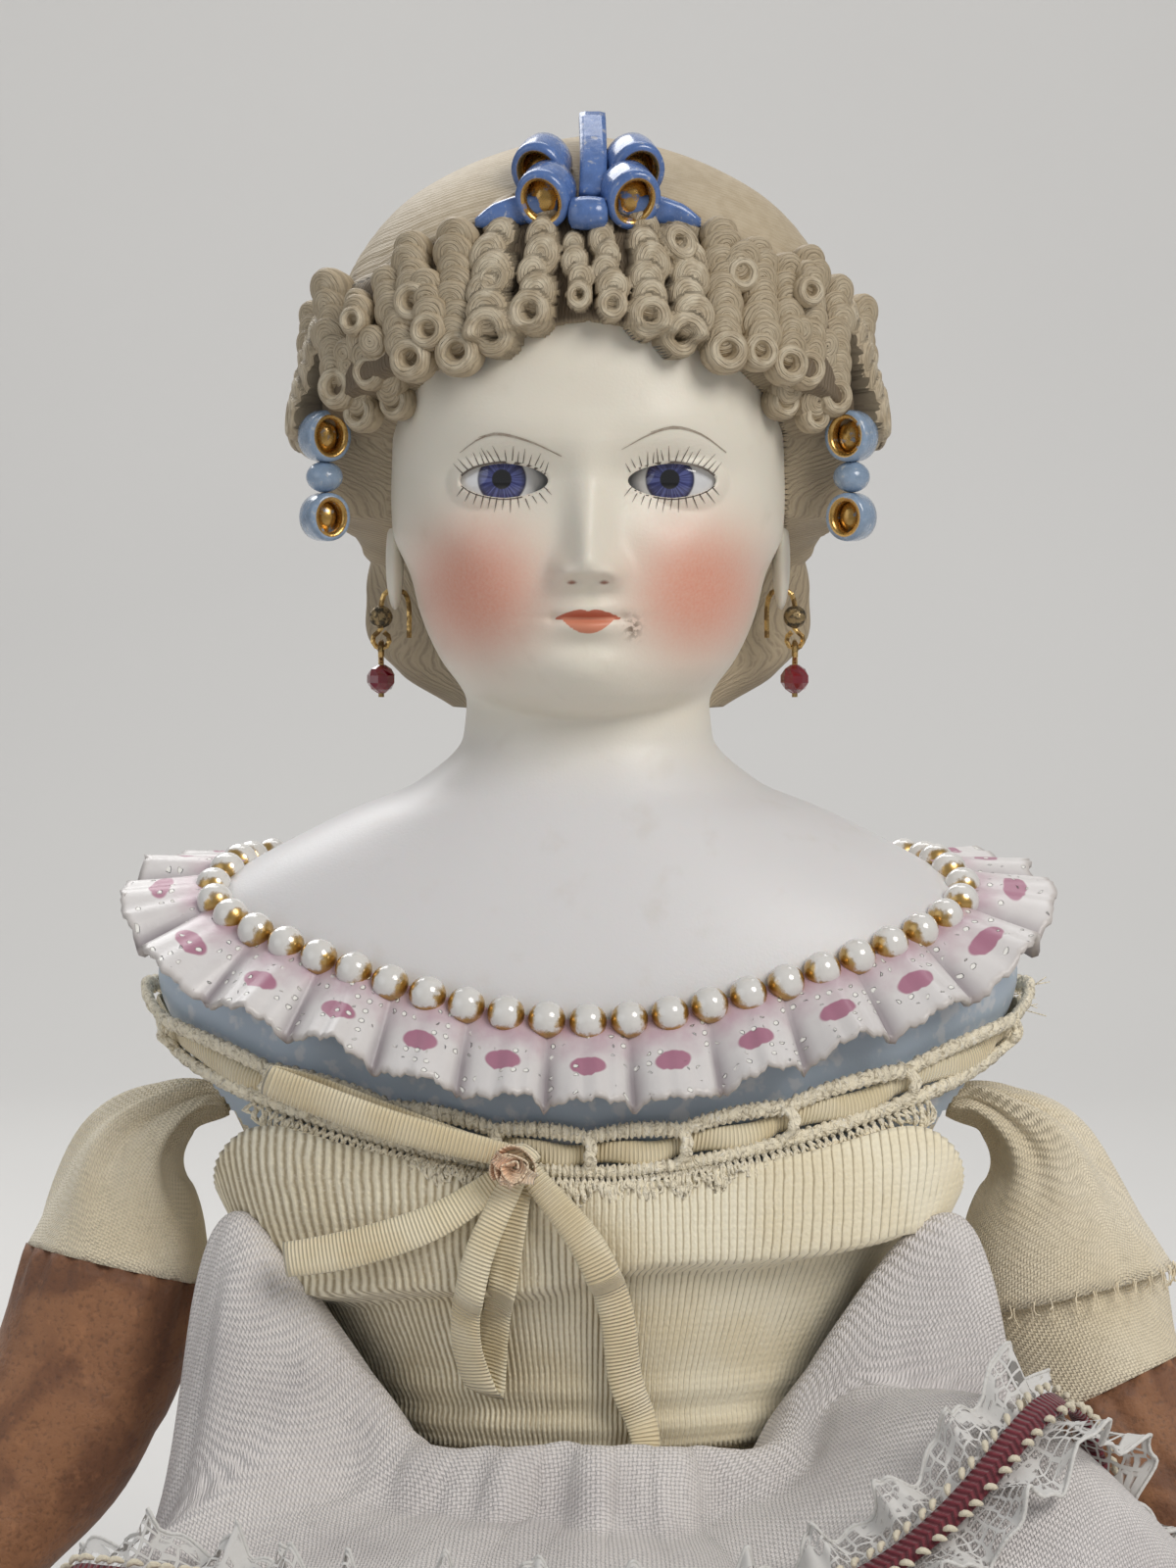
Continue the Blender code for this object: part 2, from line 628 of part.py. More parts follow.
def ruffle_mesh(steps_per_flute=8, rows=4):
    """A band of flutes that hangs from the beads and stands away from the shoulders."""
    theta, flutes = neckline_azimuths(FLUTE_PITCH)
    around = flutes * steps_per_flute
    dense, _ = neckline_azimuths(FLUTE_PITCH / steps_per_flute)
    theta = np.interp(np.linspace(0, len(dense), around, endpoint=False), np.arange(len(dense)), dense)
    z = neckline_z(theta)
    base = shoulder_point(theta, z)
    below = shoulder_point(theta, z - 0.004)
    down = unit(below - base)
    along = unit(np.roll(base, -1, axis=0) - np.roll(base, 1, axis=0))
    out = unit(np.cross(down, along))
    out *= np.sign(np.sum(out * base * [1, 1, 0], axis=1))[:, None]
    fall = unit(down + 0.38 * out)
    wave = np.abs(np.sin(np.arange(around) * math.pi / steps_per_flute))
    layers = []
    for v in np.linspace(0, 1, rows):
        reach = RUFFLE_LENGTH * v * (1 - 0.10 * v * wave)
        lift = 0.3 * RUFFLE_THICKNESS + RUFFLE_DEPTH * wave * v
        layers.append(base + fall * reach[:, None] + out * lift[:, None])
    outer = np.array(layers)
    inner = outer - out * RUFFLE_THICKNESS
    section = np.concatenate([outer, inner[::-1]])
    rings = np.swapaxes(section, 0, 1)
    rings = np.concatenate([rings, rings[:1]])
    return weld(mesh_from_rings("ruffle", rings, False, False))


# Hair ornament of the casting


def ring_strip(name, centre, axis, up, radius_across, radius_up, width, thickness, steps=14):
    """A closed loop of ribbon seen through its eye along axis."""
    axis = unit(axis)
    up = unit(np.asarray(up, float) - np.dot(up, axis) * axis)
    side = np.cross(up, axis)
    turn = np.linspace(0, 2 * math.pi, steps, endpoint=False)[:, None]
    centres = np.asarray(centre) + radius_across * np.cos(turn) * side + radius_up * np.sin(turn) * up
    return strip_mesh(name, centres, np.broadcast_to(axis, centres.shape), width, thickness, closed=True)


def on_hair(across, z, lift):
    """A point on the front or side of the hair at a distance across from the middle."""
    theta = 0.0
    for _ in range(8):
        theta = math.asin(max(-0.99, min(0.99, across / float(section_radius(HAIR, theta, z)))))
    return at_radius(np.float64(theta), z, float(section_radius(HAIR, theta, z)) + lift)


def top_bow_meshes():
    """Four ribbon loops, a rolled knot, two side tails and one that runs back over the parting."""
    meshes = []
    low = between(HAIRLINE_Z, CROWN_Z, 0.56)
    high = between(HAIRLINE_Z, CROWN_Z, 0.80)
    for side in (-1, 1):
        facing = (side * 0.25, -1, -0.25)
        upright = (side * 0.25, 0, 1)
        for z, across, lift in ((between(low, high, 0.35), 0.0050, 0.0030), (high, 0.0054, 0.0028)):
            centre = on_hair(side * across, z, lift)
            loop = ring_strip("loop", centre, facing, upright, 0.0029, 0.0034, BOW_RIBBON, BOW_THICKNESS)
            meshes.append(loop)
        knots = ((0.0040, 0.0010), (0.0100, 0.0000), (0.0148, -0.0014))
        tail = smooth_route([on_hair(side * x, low + rise, 0.0012) for x, rise in knots], 6)
        meshes.append(strip_mesh("tail", tail, [(0, -0.35, 1)] * 6, 0.0030, 2 * BOW_THICKNESS))
    knot = on_hair(0, low - 0.0004, 0.0022)
    meshes.append(rod_mesh("knot", knot - [0.0026, 0, 0], knot + [0.0026, 0, 0], 0.0021, 10))
    over_parting = [
        on_hair(0.0006, low + 0.002, 0.0015),
        on_hair(0.0006, high + 0.001, 0.0040),
        (0.0006, -0.0110, CROWN_Z + 0.0020),
    ]
    crest = smooth_route(over_parting, 7)
    meshes.append(strip_mesh("crest", crest, [(1, 0, 0)] * 7, 0.0038, 2 * BOW_THICKNESS))
    return meshes


def side_bow_meshes():
    """Two ribbon loops one above the other at each temple, with a knot between them."""
    meshes = []
    depth = -0.0088
    for side in (-1, 1):
        x = side * (HAIR_HALF_WIDTH - 0.0020)
        for rise, radius in ((0.0063, 0.0026), (-0.0050, 0.0024)):
            centre = (x, depth, EYE_Z + rise)
            facing = (-side * 0.55, -1, 0)
            loop = ring_strip("loop", centre, facing, (0, 0, 1), radius, 1.15 * radius, 0.0046, BOW_THICKNESS)
            meshes.append(loop)
        meshes.append(ball_mesh("knot", (x, depth, EYE_Z + 0.0006), (0.0026, 0.0028, 0.0026)))
    return meshes


def hairline_z(theta):
    rows = np.array(HAIR_EDGE)[::-1]
    return np.interp(np.degrees(np.abs(theta)), rows[:, 1], rows[:, 0])


def ringlet_meshes():
    """Short hanging curls side by side round the brow, each ending in an open ring."""
    meshes = []
    half = (RINGLET_COLUMNS - 1) / 2
    for column in range(RINGLET_COLUMNS):
        theta = math.radians((column - half) * RINGLET_STEP_DEG)
        low = float(hairline_z(theta)) + 0.0010
        high = low + RINGLET_BAND * (1 + 0.35 * abs(math.sin(theta)))
        turns = max(3, round((high - low) / (1.35 * RINGLET_RADIUS)))
        for turn in range(turns):
            z = high + (low - high) * turn / (turns - 1)
            radius = float(section_radius(HAIR, theta, z))
            centre = at_radius(np.float64(theta), z, radius + 0.25 * RINGLET_RADIUS)
            if turn < turns - 1:
                meshes.append(ball_mesh("turn", centre, (RINGLET_RADIUS,) * 3, 8, 5))
            else:
                out = (math.sin(theta), -math.cos(theta), -0.2)
                meshes.append(
                    ring_strip("end", centre, out, (0, 0, 1), 0.0016, 0.0016, 0.0042, 0.0014, 9)
                )
    return meshes


def ear_meshes():
    height = EAR_HOLE_Z + 0.0040
    return [
        ball_mesh("lobe", (side * LOBE_X, LOBE_Y, height), (LOBE_HALF_THICKNESS, 0.0036, 0.0070), 12, 9)
        for side in (-1, 1)
    ]


def almond_mesh(name, x):
    """The eye opening, as a prism that runs out through the lids."""
    turn = np.linspace(0, 2 * math.pi, 20, endpoint=False)
    across = 0.5 * EYE_OPENING_WIDTH * np.sign(np.cos(turn)) * np.abs(np.cos(turn)) ** 1.25
    up = 0.5 * EYE_OPENING_HEIGHT * np.sin(turn)
    rings = [np.stack([x + across, y + 0 * turn, EYE_Z + up], axis=-1) for y in (-0.040, EYE_CENTRE_Y)]
    return mesh_from_rings(name, rings)


def casting_heights():
    bends = (PLATE_BOTTOM_Z - 0.0040, SHOULDER_Z, NECK_Z, HAIRLINE_Z, CROWN_Z)
    counts = (9, 14, 34, 14)
    spans = [np.linspace(a, b, n, endpoint=False) for a, b, n in zip(bends, bends[1:], counts)]
    return np.concatenate([*spans, [CROWN_Z]])


def shoulder_head(doll, cutters):
    """The one-piece casting: head, hair, ribbons, shoulders, necklace and collar, hollow inside."""
    core = mesh_from_rings("core", with_face(turned_rings(casting_radius, casting_heights(), 72)))
    parts = [core, ruffle_mesh()]
    parts += necklace_meshes() + ringlet_meshes() + top_bow_meshes() + side_bow_meshes() + ear_meshes()
    obj = place("shoulder_head", fused("shoulder_head", parts, CASTING_GRAIN), "bisque", doll)
    thin = obj.modifiers.new("thin", "DECIMATE")
    thin.ratio = CASTING_DETAIL
    shoulders = lining_rings(BISQUE_WALL, between(NECK_Z, EYE_Z, 0.45))
    shoulders = np.concatenate([shoulders[:1] - [0, 0, 0.010], shoulders])
    cut(obj, "cavity_below", mesh_from_rings("cavity_below", shoulders), cutters)
    wide = HEAD_HALF_WIDTH - 0.0047
    tall = 0.5 * (CROWN_Z - CHIN_Z) - 0.0080
    middle = (0, 0.004, between(CHIN_Z, CROWN_Z, 0.494))
    skull = ball_mesh("cavity_above", middle, (wide, 0.0245, tall), 24, 14)
    cut(obj, "cavity_above", skull, cutters)
    base = rod_mesh("trim", (0, 0, PLATE_BOTTOM_Z - 0.020), (0, 0, PLATE_BOTTOM_Z), 0.100, 24)
    cut(obj, "trim", base, cutters)
    for side, word in ((-1, "right"), (1, "left")):
        ball = ball_mesh("pocket", (side * EYE_X, EYE_CENTRE_Y, EYE_Z), (EYE_RADIUS + CLEARANCE,) * 3, 20, 14)
        cut(obj, f"eye_pocket_{word}", ball, cutters)
        cut(obj, f"eye_opening_{word}", almond_mesh("opening", side * EYE_X), cutters)
        hole = rod_mesh(
            "hole",
            (side * (LOBE_X - 0.0022), LOBE_Y, EAR_HOLE_Z),
            (side * (LOBE_X + 0.0040), LOBE_Y, EAR_HOLE_Z),
            EAR_HOLE_RADIUS,
            10,
        )
        cut(obj, f"ear_hole_{word}", hole, cutters)
        armhole = rod_mesh(
            "armhole",
            (side * ARMHOLE_INNER_X, 0, PLATE_BOTTOM_Z),
            (side * (SHOULDER_HALF_WIDTH + 0.02), 0, PLATE_BOTTOM_Z),
            ARMHOLE_RADIUS,
            20,
        )
        cut(obj, f"armhole_{word}", armhole, cutters)
    return obj


def eyes(doll):
    for side, word in ((-1, "right"), (1, "left")):
        centre = (side * EYE_X, EYE_CENTRE_Y, EYE_Z)
        place(f"glass_eye_{word}", ball_mesh("eye", centre, (EYE_RADIUS,) * 3, 16, 10), "glass_eye", doll)


# Earrings


def pivot(name, place_at, doll):
    """An empty on a swinging piece's axis."""
    obj = bpy.data.objects.new(name, None)
    obj.location = place_at
    obj.empty_display_size = 0.005
    doll.objects.link(obj)
    return obj


def wire(name, points, doll, count, hung_from):
    """A bent round wire with closed ends, measured from the pivot that it swings on."""
    curve = bpy.data.curves.new(name, "CURVE")
    curve.dimensions = "3D"
    curve.bevel_depth = WIRE_RADIUS
    curve.bevel_resolution = 1
    curve.use_fill_caps = True
    spline = curve.splines.new("POLY")
    route = smooth_route(points, count) - np.array(hung_from.location)
    spline.points.add(len(route) - 1)
    for spot, place_at in zip(spline.points, route):
        spot.co = (*place_at, 1.0)
    curve.materials.append(material("brass"))
    obj = bpy.data.objects.new(name, curve)
    obj.parent = hung_from
    doll.objects.link(obj)
    return obj


def bored_bead(name, centre, radius, bore, look, doll, segments, rings, hung_from):
    """A bead turned about a vertical hole: its profile runs down the outside and back up the hole."""
    low = math.asin(bore / radius)
    tilt = np.linspace(low, math.pi - low, rings)
    profile = [(radius * math.sin(t), 0.0, radius * math.cos(t)) for t in tilt]
    edges = [(k, (k + 1) % rings) for k in range(rings)]
    mesh = bpy.data.meshes.new(name)
    mesh.from_pydata(profile, edges, [])
    obj = bpy.data.objects.new(name, mesh)
    mesh.materials.append(material(look))
    obj.parent = hung_from
    obj.location = Vector(centre) - hung_from.location
    turned = obj.modifiers.new("turned", "SCREW")
    turned.steps = segments
    turned.render_steps = segments
    turned.use_merge_vertices = True
    turned.merge_threshold = 0.00001
    doll.objects.link(obj)
    return obj


def earrings(doll):
    for side, word in ((-1, "right"), (1, "left")):

        def at(out, z, y=LOBE_Y, side=side):
            return (side * (LOBE_X + out), y, z)

        bead_z = EAR_HOLE_Z - BRASS_BEAD_DROP
        loop_z = bead_z - BRASS_BEAD_RADIUS - EYE_LOOP_RADIUS - WIRE_RADIUS
        ring_z = loop_z - EYE_LOOP_RADIUS + 2 * WIRE_RADIUS + 0.00012 - EYE_LOOP_RADIUS
        garnet_z = ring_z - EYE_LOOP_RADIUS - WIRE_RADIUS - GARNET_RADIUS - 0.0004
        bore = WIRE_RADIUS + 0.00012
        hook_pivot = pivot(f"hook_pivot_{word}", at(0, EAR_HOLE_Z - 0.0001), doll)
        drop_pivot = pivot(f"drop_pivot_{word}", at(HOOK_REACH, loop_z - EYE_LOOP_RADIUS), doll)
        hook = [
            at(-HOOK_REACH, EAR_HOLE_Z - 0.0070),
            at(-HOOK_REACH, EAR_HOLE_Z - 0.0025),
            at(-0.7 * HOOK_REACH, EAR_HOLE_Z - 0.0006),
            at(0, EAR_HOLE_Z - 0.0001),
            at(0.7 * HOOK_REACH, EAR_HOLE_Z - 0.0006),
            at(HOOK_REACH, EAR_HOLE_Z - 0.0025),
            at(HOOK_REACH, bead_z),
            at(HOOK_REACH, loop_z + EYE_LOOP_RADIUS + 0.0003),
        ]
        for turn in np.linspace(0.35, 2 * math.pi - 0.35, 8):
            out = HOOK_REACH + EYE_LOOP_RADIUS * math.sin(turn)
            hook.append(at(out, loop_z + EYE_LOOP_RADIUS * math.cos(turn)))
        wire(f"earring_hook_{word}", hook, doll, 28, hook_pivot)
        bead = at(HOOK_REACH, bead_z)
        bored_bead(f"brass_bead_{word}", bead, BRASS_BEAD_RADIUS, bore, "brass", doll, 10, 6, hook_pivot)
        pin = []
        for turn in np.linspace(0.75, 2 * math.pi - 0.05, 9)[:-1]:
            height = ring_z - EYE_LOOP_RADIUS * math.cos(turn)
            pin.append(at(HOOK_REACH, height, LOBE_Y + EYE_LOOP_RADIUS * math.sin(turn)))
        pin.append(at(HOOK_REACH, ring_z - EYE_LOOP_RADIUS - 0.0008))
        pin.append(at(HOOK_REACH, garnet_z - GARNET_RADIUS - 0.0005))
        wire(f"drop_pin_{word}", pin, doll, 18, drop_pivot)
        garnet = at(HOOK_REACH, garnet_z)
        bored_bead(f"garnet_bead_{word}", garnet, GARNET_RADIUS, bore, "garnet", doll, 8, 5, drop_pivot)


# Body, arms and legs


def torso(doll):
    """Stuffed muslin body. It narrows at the shoulder plate's lower edge, which rests on the step."""
    below = np.linspace(0.0, PLATE_BOTTOM_Z - CLEARANCE, 8)
    rings = np.concatenate(
        [
            turned_rings(body_radius, below, LINING_SIDES),
            lining_rings(BISQUE_WALL + STUFFING_GAP, between(SHOULDER_Z, NECK_Z, 0.53)),
        ]
    )
    return place("torso", mesh_from_rings("torso", rings), "muslin", doll)


def limb_rings(stations, around):
    """Rings along a stuffed limb: each station is x, y, z, half-width and half-depth."""
    line = spline_through(stations, LIMB_STEPS)
    along = unit(np.gradient(line[:, :3], axis=0))
    deep = unit(np.cross(along, np.broadcast_to((1.0, 0.0, 0.0), along.shape)))
    wide = np.cross(deep, along)
    turn = np.linspace(0, 2 * math.pi, around, endpoint=False)
    rings = [
        r[:3] + w * r[3] * np.cos(turn)[:, None] + d * r[4] * np.sin(turn)[:, None]
        for r, w, d in zip(line, wide, deep)
    ]
    return np.array(rings), along


def limb_mesh(name, stations, around=14, first=0, last=None):
    """The limb between two of its stations, a hair short of the piece that follows."""
    rings, along = limb_rings(stations, around)
    last = len(stations) - 1 if last is None else last
    part = rings[first * LIMB_STEPS : last * LIMB_STEPS + 1].copy()
    if last < len(stations) - 1:
        part[-1] -= CLEARANCE * along[last * LIMB_STEPS]
    return mesh_from_rings(name, part)


def arms(doll):
    """Muslin arms gathered flat at the shoulder, with leather forearms and mitten hands."""
    root_z = BUST_Z - 0.0045
    body_side = float(lining_radius(np.pi / 2, root_z, BISQUE_WALL + STUFFING_GAP))
    elbow = SHOULDER_HALF_WIDTH + 0.0060
    stations = [
        (body_side + 2 * CLEARANCE, 0.0, root_z, 0.0016, 0.0060),
        (SHOULDER_HALF_WIDTH - 0.0025, -0.0003, root_z - 0.0016, 0.0030, 0.0080),
        (SHOULDER_HALF_WIDTH + 0.0038, -0.0012, BUST_Z - 0.0130, 0.0080, 0.0104),
        (elbow, -0.0030, BUST_Z - 0.0280, ARM_HALF_WIDTH, 0.0115),
        (elbow + 0.0060, -0.0060, BUST_Z - 0.0460, ARM_HALF_WIDTH, 0.0115),
        (elbow + 0.0180, -0.0120, BUST_Z - 0.0640, 0.0112, 0.0100),
        (elbow + 0.0300, -0.0190, BUST_Z - 0.0770, WRIST_HALF_WIDTH, 0.0062),
        (elbow + 0.0360, -0.0270, BUST_Z - 0.0840, 0.0085, 0.0050),
        (elbow + 0.0385, -0.0370, BUST_Z - 0.0900, 0.0080, 0.0042),
        (elbow + 0.0390, -0.0450, BUST_Z - 0.0940, 0.0045, 0.0028),
    ]
    for side, word in ((-1, "right"), (1, "left")):
        turned = [(side * x, y, z, w, d) for x, y, z, w, d in stations]
        place(f"upper_arm_{word}", limb_mesh("arm", turned, last=3), "muslin", doll)
        start = 3
        if side > 0:
            place("lower_sleeve_left", limb_mesh("sleeve", turned, first=3, last=4), "muslin", doll)
            start = 4
        place(f"leather_arm_{word}", limb_mesh("forearm", turned, first=start), "leather", doll)


def front_of_torso(x, z, radius):
    """How far the torso's front reaches anywhere on a disc at x, z."""
    turn, out = np.meshgrid(np.linspace(0, 2 * math.pi, 24), np.linspace(0, radius, 6))
    across, height = x + out * np.cos(turn), z + out * np.sin(turn)
    theta = np.linspace(0, 1.2, 120)
    outline = at_radius(theta[:, None], height.ravel(), body_radius(theta[:, None], height.ravel()))
    nearest = np.abs(outline[..., 0] - across.ravel()).argmin(axis=0)
    return float(-outline[nearest, np.arange(across.size), 1].min())


def legs(doll):
    """Stuffed legs straight out in front, each in an ankle boot with a stacked heel."""
    hip_radius = LEG_RADIUS - 0.0020
    hip_y = HIP_PRESS - front_of_torso(0.80 * LEG_SPREAD, LEG_RADIUS, hip_radius)
    ankle_y = hip_y - LEG_LENGTH
    for side, word in ((-1, "right"), (1, "left")):
        x = side * LEG_SPREAD
        leg = [
            (x * 0.80, hip_y, LEG_RADIUS + 0.0005, hip_radius, hip_radius),
            (x * 0.90, hip_y - 0.3 * LEG_LENGTH, LEG_RADIUS + 0.0005, LEG_RADIUS, LEG_RADIUS),
            (x, hip_y - 0.6 * LEG_LENGTH, LEG_RADIUS - 0.0005, LEG_RADIUS - 0.0022, LEG_RADIUS - 0.0022),
            (x, ankle_y, LEG_RADIUS - 0.0010, LEG_RADIUS - 0.0050, LEG_RADIUS - 0.0050),
        ]
        place(f"leg_{word}", limb_mesh("leg", leg, 16), "muslin", doll)
        boot(f"boot_{word}", x, ankle_y - CLEARANCE, doll)


def boot(name, x, ankle_y, doll):
    """An ankle boot lying on its heel with the toe up: shaft, foot and heel in one shell."""
    shaft = [
        (x, ankle_y, LEG_RADIUS - 0.0010, LEG_RADIUS - 0.0045, LEG_RADIUS - 0.0045),
        (x, ankle_y - 0.5 * BOOT_LENGTH, LEG_RADIUS - 0.0015, LEG_RADIUS - 0.0055, LEG_RADIUS - 0.0050),
        (x, ankle_y - 0.8 * BOOT_LENGTH, LEG_RADIUS - 0.0010, LEG_RADIUS - 0.0050, LEG_RADIUS - 0.0035),
        (x, ankle_y - BOOT_LENGTH, LEG_RADIUS, LEG_RADIUS - 0.0060, LEG_RADIUS - 0.0055),
    ]
    foot_y = ankle_y - 0.78 * BOOT_LENGTH
    foot = [
        (x, foot_y, 0.0095, 0.0080, 0.0070),
        (x, foot_y, 0.5 * BOOT_HEIGHT, 0.0088, 0.0078),
        (x, foot_y - 0.0005, 0.8 * BOOT_HEIGHT, 0.0078, 0.0062),
        (x, foot_y - 0.0015, BOOT_HEIGHT, 0.0030, 0.0030),
    ]
    meshes = [limb_mesh("part", rows, 14) for rows in (shaft, foot)]
    heel_end = ankle_y - BOOT_LENGTH - 0.0040
    heel = rod_mesh("heel", (x, foot_y - 0.0030, 0.0062), (x, heel_end, 0.0062), 0.0062, 14)
    obj = place(name, fused(name, meshes + [heel], 0.0010), "boot_leather", doll)
    thin = obj.modifiers.new("thin", "DECIMATE")
    thin.ratio = 0.05
    middle_y = ankle_y - 0.5 * BOOT_LENGTH
    floor = rod_mesh("floor", (x, middle_y, -0.02), (x, middle_y, 0.0002), 0.06, 24)
    cut(obj, name + "_floor", floor, bpy.data.collections["cutters"])


# Knitted bodice with its crochet edging and ribbon


def lace_z(theta):
    """Height of the lower edge of the crochet edging."""
    rise = np.clip(1 - np.cos(theta), 0, 1)
    return LACE_FRONT_Z + LACE_RISE * rise


def knit_top_z(theta):
    """The bodice meets the edging in front and behind, and dips under each arm."""
    dip = np.exp(-(((np.degrees(np.abs(theta)) - 92) / 26) ** 4))
    return (lace_z(theta) - CLEARANCE) * (1 - dip) + (BUST_Z - ARMHOLE_DIP) * dip


def knit_radius(theta, z):
    """The bodice hangs from the bust, so it stands off the narrower body below it."""
    drape = 0.0020 * np.clip((BUST_Z - z) / 0.030, 0, 1) * np.clip((z - KNIT_HEM_Z) / 0.010, 0.3, 1)
    crease = 0.0012 * np.exp(-(((z - between(WAIST_Z, BUST_Z, 0.49)) / 0.0035) ** 2))
    return body_radius(theta, z) + KNIT_GAP + drape - crease * (np.cos(theta) > 0) * np.cos(theta)


def knit_bodice(doll):
    theta = np.linspace(-math.pi, math.pi, 40, endpoint=False)
    top = knit_top_z(theta)
    heights = [KNIT_HEM_Z + (top - KNIT_HEM_Z) * share for share in np.linspace(0, 1, 6)]
    rings = [at_radius(theta, z, knit_radius(theta, z)) for z in heights]
    obj = place("knit_bodice", mesh_from_rings("knit_bodice", rings, False, False), "knit", doll)
    thicken(obj, KNIT_THICKNESS)


def edging_lift():
    """Gap between the body and the crochet edging, which the threaded ribbon fills."""
    return RIBBON_THICKNESS + 3 * CLEARANCE


def edging_azimuths():
    """Three columns to each eyelet: its post, then the opening."""
    step = 2 * math.pi / EYELET_COUNT
    columns = [k + share for k in range(EYELET_COUNT) for share in (0.0, 0.30, 0.65)]
    return step * np.array(columns) - math.pi


def crochet_edging(doll):
    """A ladder of crochet: scalloped upper row, lower row, and posts between the eyelets."""
    theta = edging_azimuths()
    scallop = np.tile([0.0, 0.0006, 0.0010], EYELET_COUNT)
    low = lace_z(theta)
    rows = []
    margin = 0.5 * (LACE_HEIGHT - EYELET_HEIGHT)
    for height in (0.0, margin, LACE_HEIGHT - margin, LACE_HEIGHT):
        z = low + height + scallop * (height == LACE_HEIGHT)
        rows.append(at_radius(theta, z, body_radius(theta, z) + edging_lift()))
    around = len(theta)
    faces = []
    for i in range(3):
        for j in range(around):
            if i == 1 and j % 3:
                continue
            k = (j + 1) % around
            faces.append((i * around + j, i * around + k, (i + 1) * around + k, (i + 1) * around + j))
    mesh = bpy.data.meshes.new("crochet_edging")
    mesh.from_pydata(np.reshape(rows, (-1, 3)).tolist(), [], faces)
    obj = place("crochet_edging", mesh, "lace", doll)
    thicken(obj, LACE_THICKNESS)


def threaded_ribbon(doll):
    """The ribbon that runs behind the posts of the edging all the way round."""
    theta = edging_azimuths()
    rings = []
    for share in (-0.5, 0.5):
        z = lace_z(theta) + 0.5 * LACE_HEIGHT + share * RIBBON_WIDTH
        rings.append(at_radius(theta, z, body_radius(theta, z) + 2 * CLEARANCE))
    obj = place("threaded_ribbon", mesh_from_rings("threaded_ribbon", rings, False, False), "ribbon", doll)
    thicken(obj, RIBBON_THICKNESS)


def front_of_bodice(x, z, lift):
    """A point lift in front of the bodice at x, z."""
    theta = 0.0
    outer = 0.035
    for _ in range(8):
        outer = float(knit_radius(theta, z)) + KNIT_THICKNESS
        theta = math.asin(max(-0.99, min(0.99, x / outer)))
    outwards = np.array([math.sin(theta), -math.cos(theta), 0])
    return np.array([x, -outer * math.cos(theta), z]) + lift * outwards


def laid_ribbon(name, route):
    """A ribbon that lies along the bodice: each knot of its route is x, z and height above the knit."""
    rows = smooth_route(route, 2 * len(route) + 3)
    line = np.array([front_of_bodice(x, z, lift) for x, z, lift in rows])
    outwards = unit(line * [1, 1, 0])
    along = unit(np.gradient(line, axis=0))
    across = np.cross(outwards, along)
    for k in range(1, len(across)):
        across[k] *= 1 if np.dot(across[k], across[k - 1]) > 0 else -1
    return strip_mesh(name, line, across, BOW_TAIL_WIDTH, RIBBON_THICKNESS)


# Routes of the bow's ribbon from its knot: across, up, and height above the knit
BOW_ROUTES = {
    "loop_up": (
        (-0.0012, 0.0012, 0.0034),
        (-0.0140, 0.0048, 0.0050),
        (-0.0270, 0.0092, 0.0050),
        (-0.0325, 0.0110, 0.0036),
        (-0.0270, 0.0091, 0.0018),
        (-0.0140, 0.0046, 0.0016),
        (-0.0012, 0.0006, 0.0016),
    ),
    "tail_out": (
        (-0.0008, -0.0008, 0.0024),
        (-0.0100, -0.0075, 0.0034),
        (-0.0200, -0.0118, 0.0044),
        (-0.0280, -0.0140, 0.0062),
    ),
    "loop_down": (
        (-0.0004, -0.0012, 0.0034),
        (-0.0050, -0.0130, 0.0042),
        (-0.0062, -0.0250, 0.0044),
        (-0.0040, -0.0335, 0.0032),
        (-0.0036, -0.0240, 0.0018),
        (-0.0018, -0.0120, 0.0016),
        (0.0002, -0.0014, 0.0016),
    ),
    "tail_down": (
        (0.0008, -0.0008, 0.0024),
        (0.0085, -0.0110, 0.0034),
        (0.0120, -0.0210, 0.0026),
        (0.0132, -0.0310, 0.0024),
        (0.0155, -0.0390, 0.0030),
    ),
}


def bow(doll, cutters):
    """The ribbon's bow: a loop up, a loop down and two tails, with a rosebud on the knot."""
    seat = BOW_KNOT_RADIUS + 2 * CLEARANCE
    knot = ball_mesh("knot", front_of_bodice(BOW_X, BOW_Z, seat), (BOW_KNOT_RADIUS,) * 3, 12, 8)
    obj = place("ribbon_bow", knot, "ribbon", doll)
    for name, route in BOW_ROUTES.items():
        placed = [(BOW_X + across, BOW_Z + up, lift) for across, up, lift in route]
        union(obj, name, laid_ribbon(name, placed), cutters)
    centre = front_of_bodice(BOW_X, BOW_Z, seat + BOW_KNOT_RADIUS + CLEARANCE + ROSEBUD_RADIUS)
    place("rosebud", ball_mesh("rosebud", centre, (ROSEBUD_RADIUS,) * 3, 10, 7), "rosebud", doll)


# Lowered dress with its lace and braid


def smooth_step(low, high, value):
    t = np.clip((value - low) / (high - low), 0, 1)
    return t * t * (3 - 2 * t)


def bump(theta, centre_deg, breadth_deg):
    return np.exp(-(((np.degrees(theta) - centre_deg) / breadth_deg) ** 2))


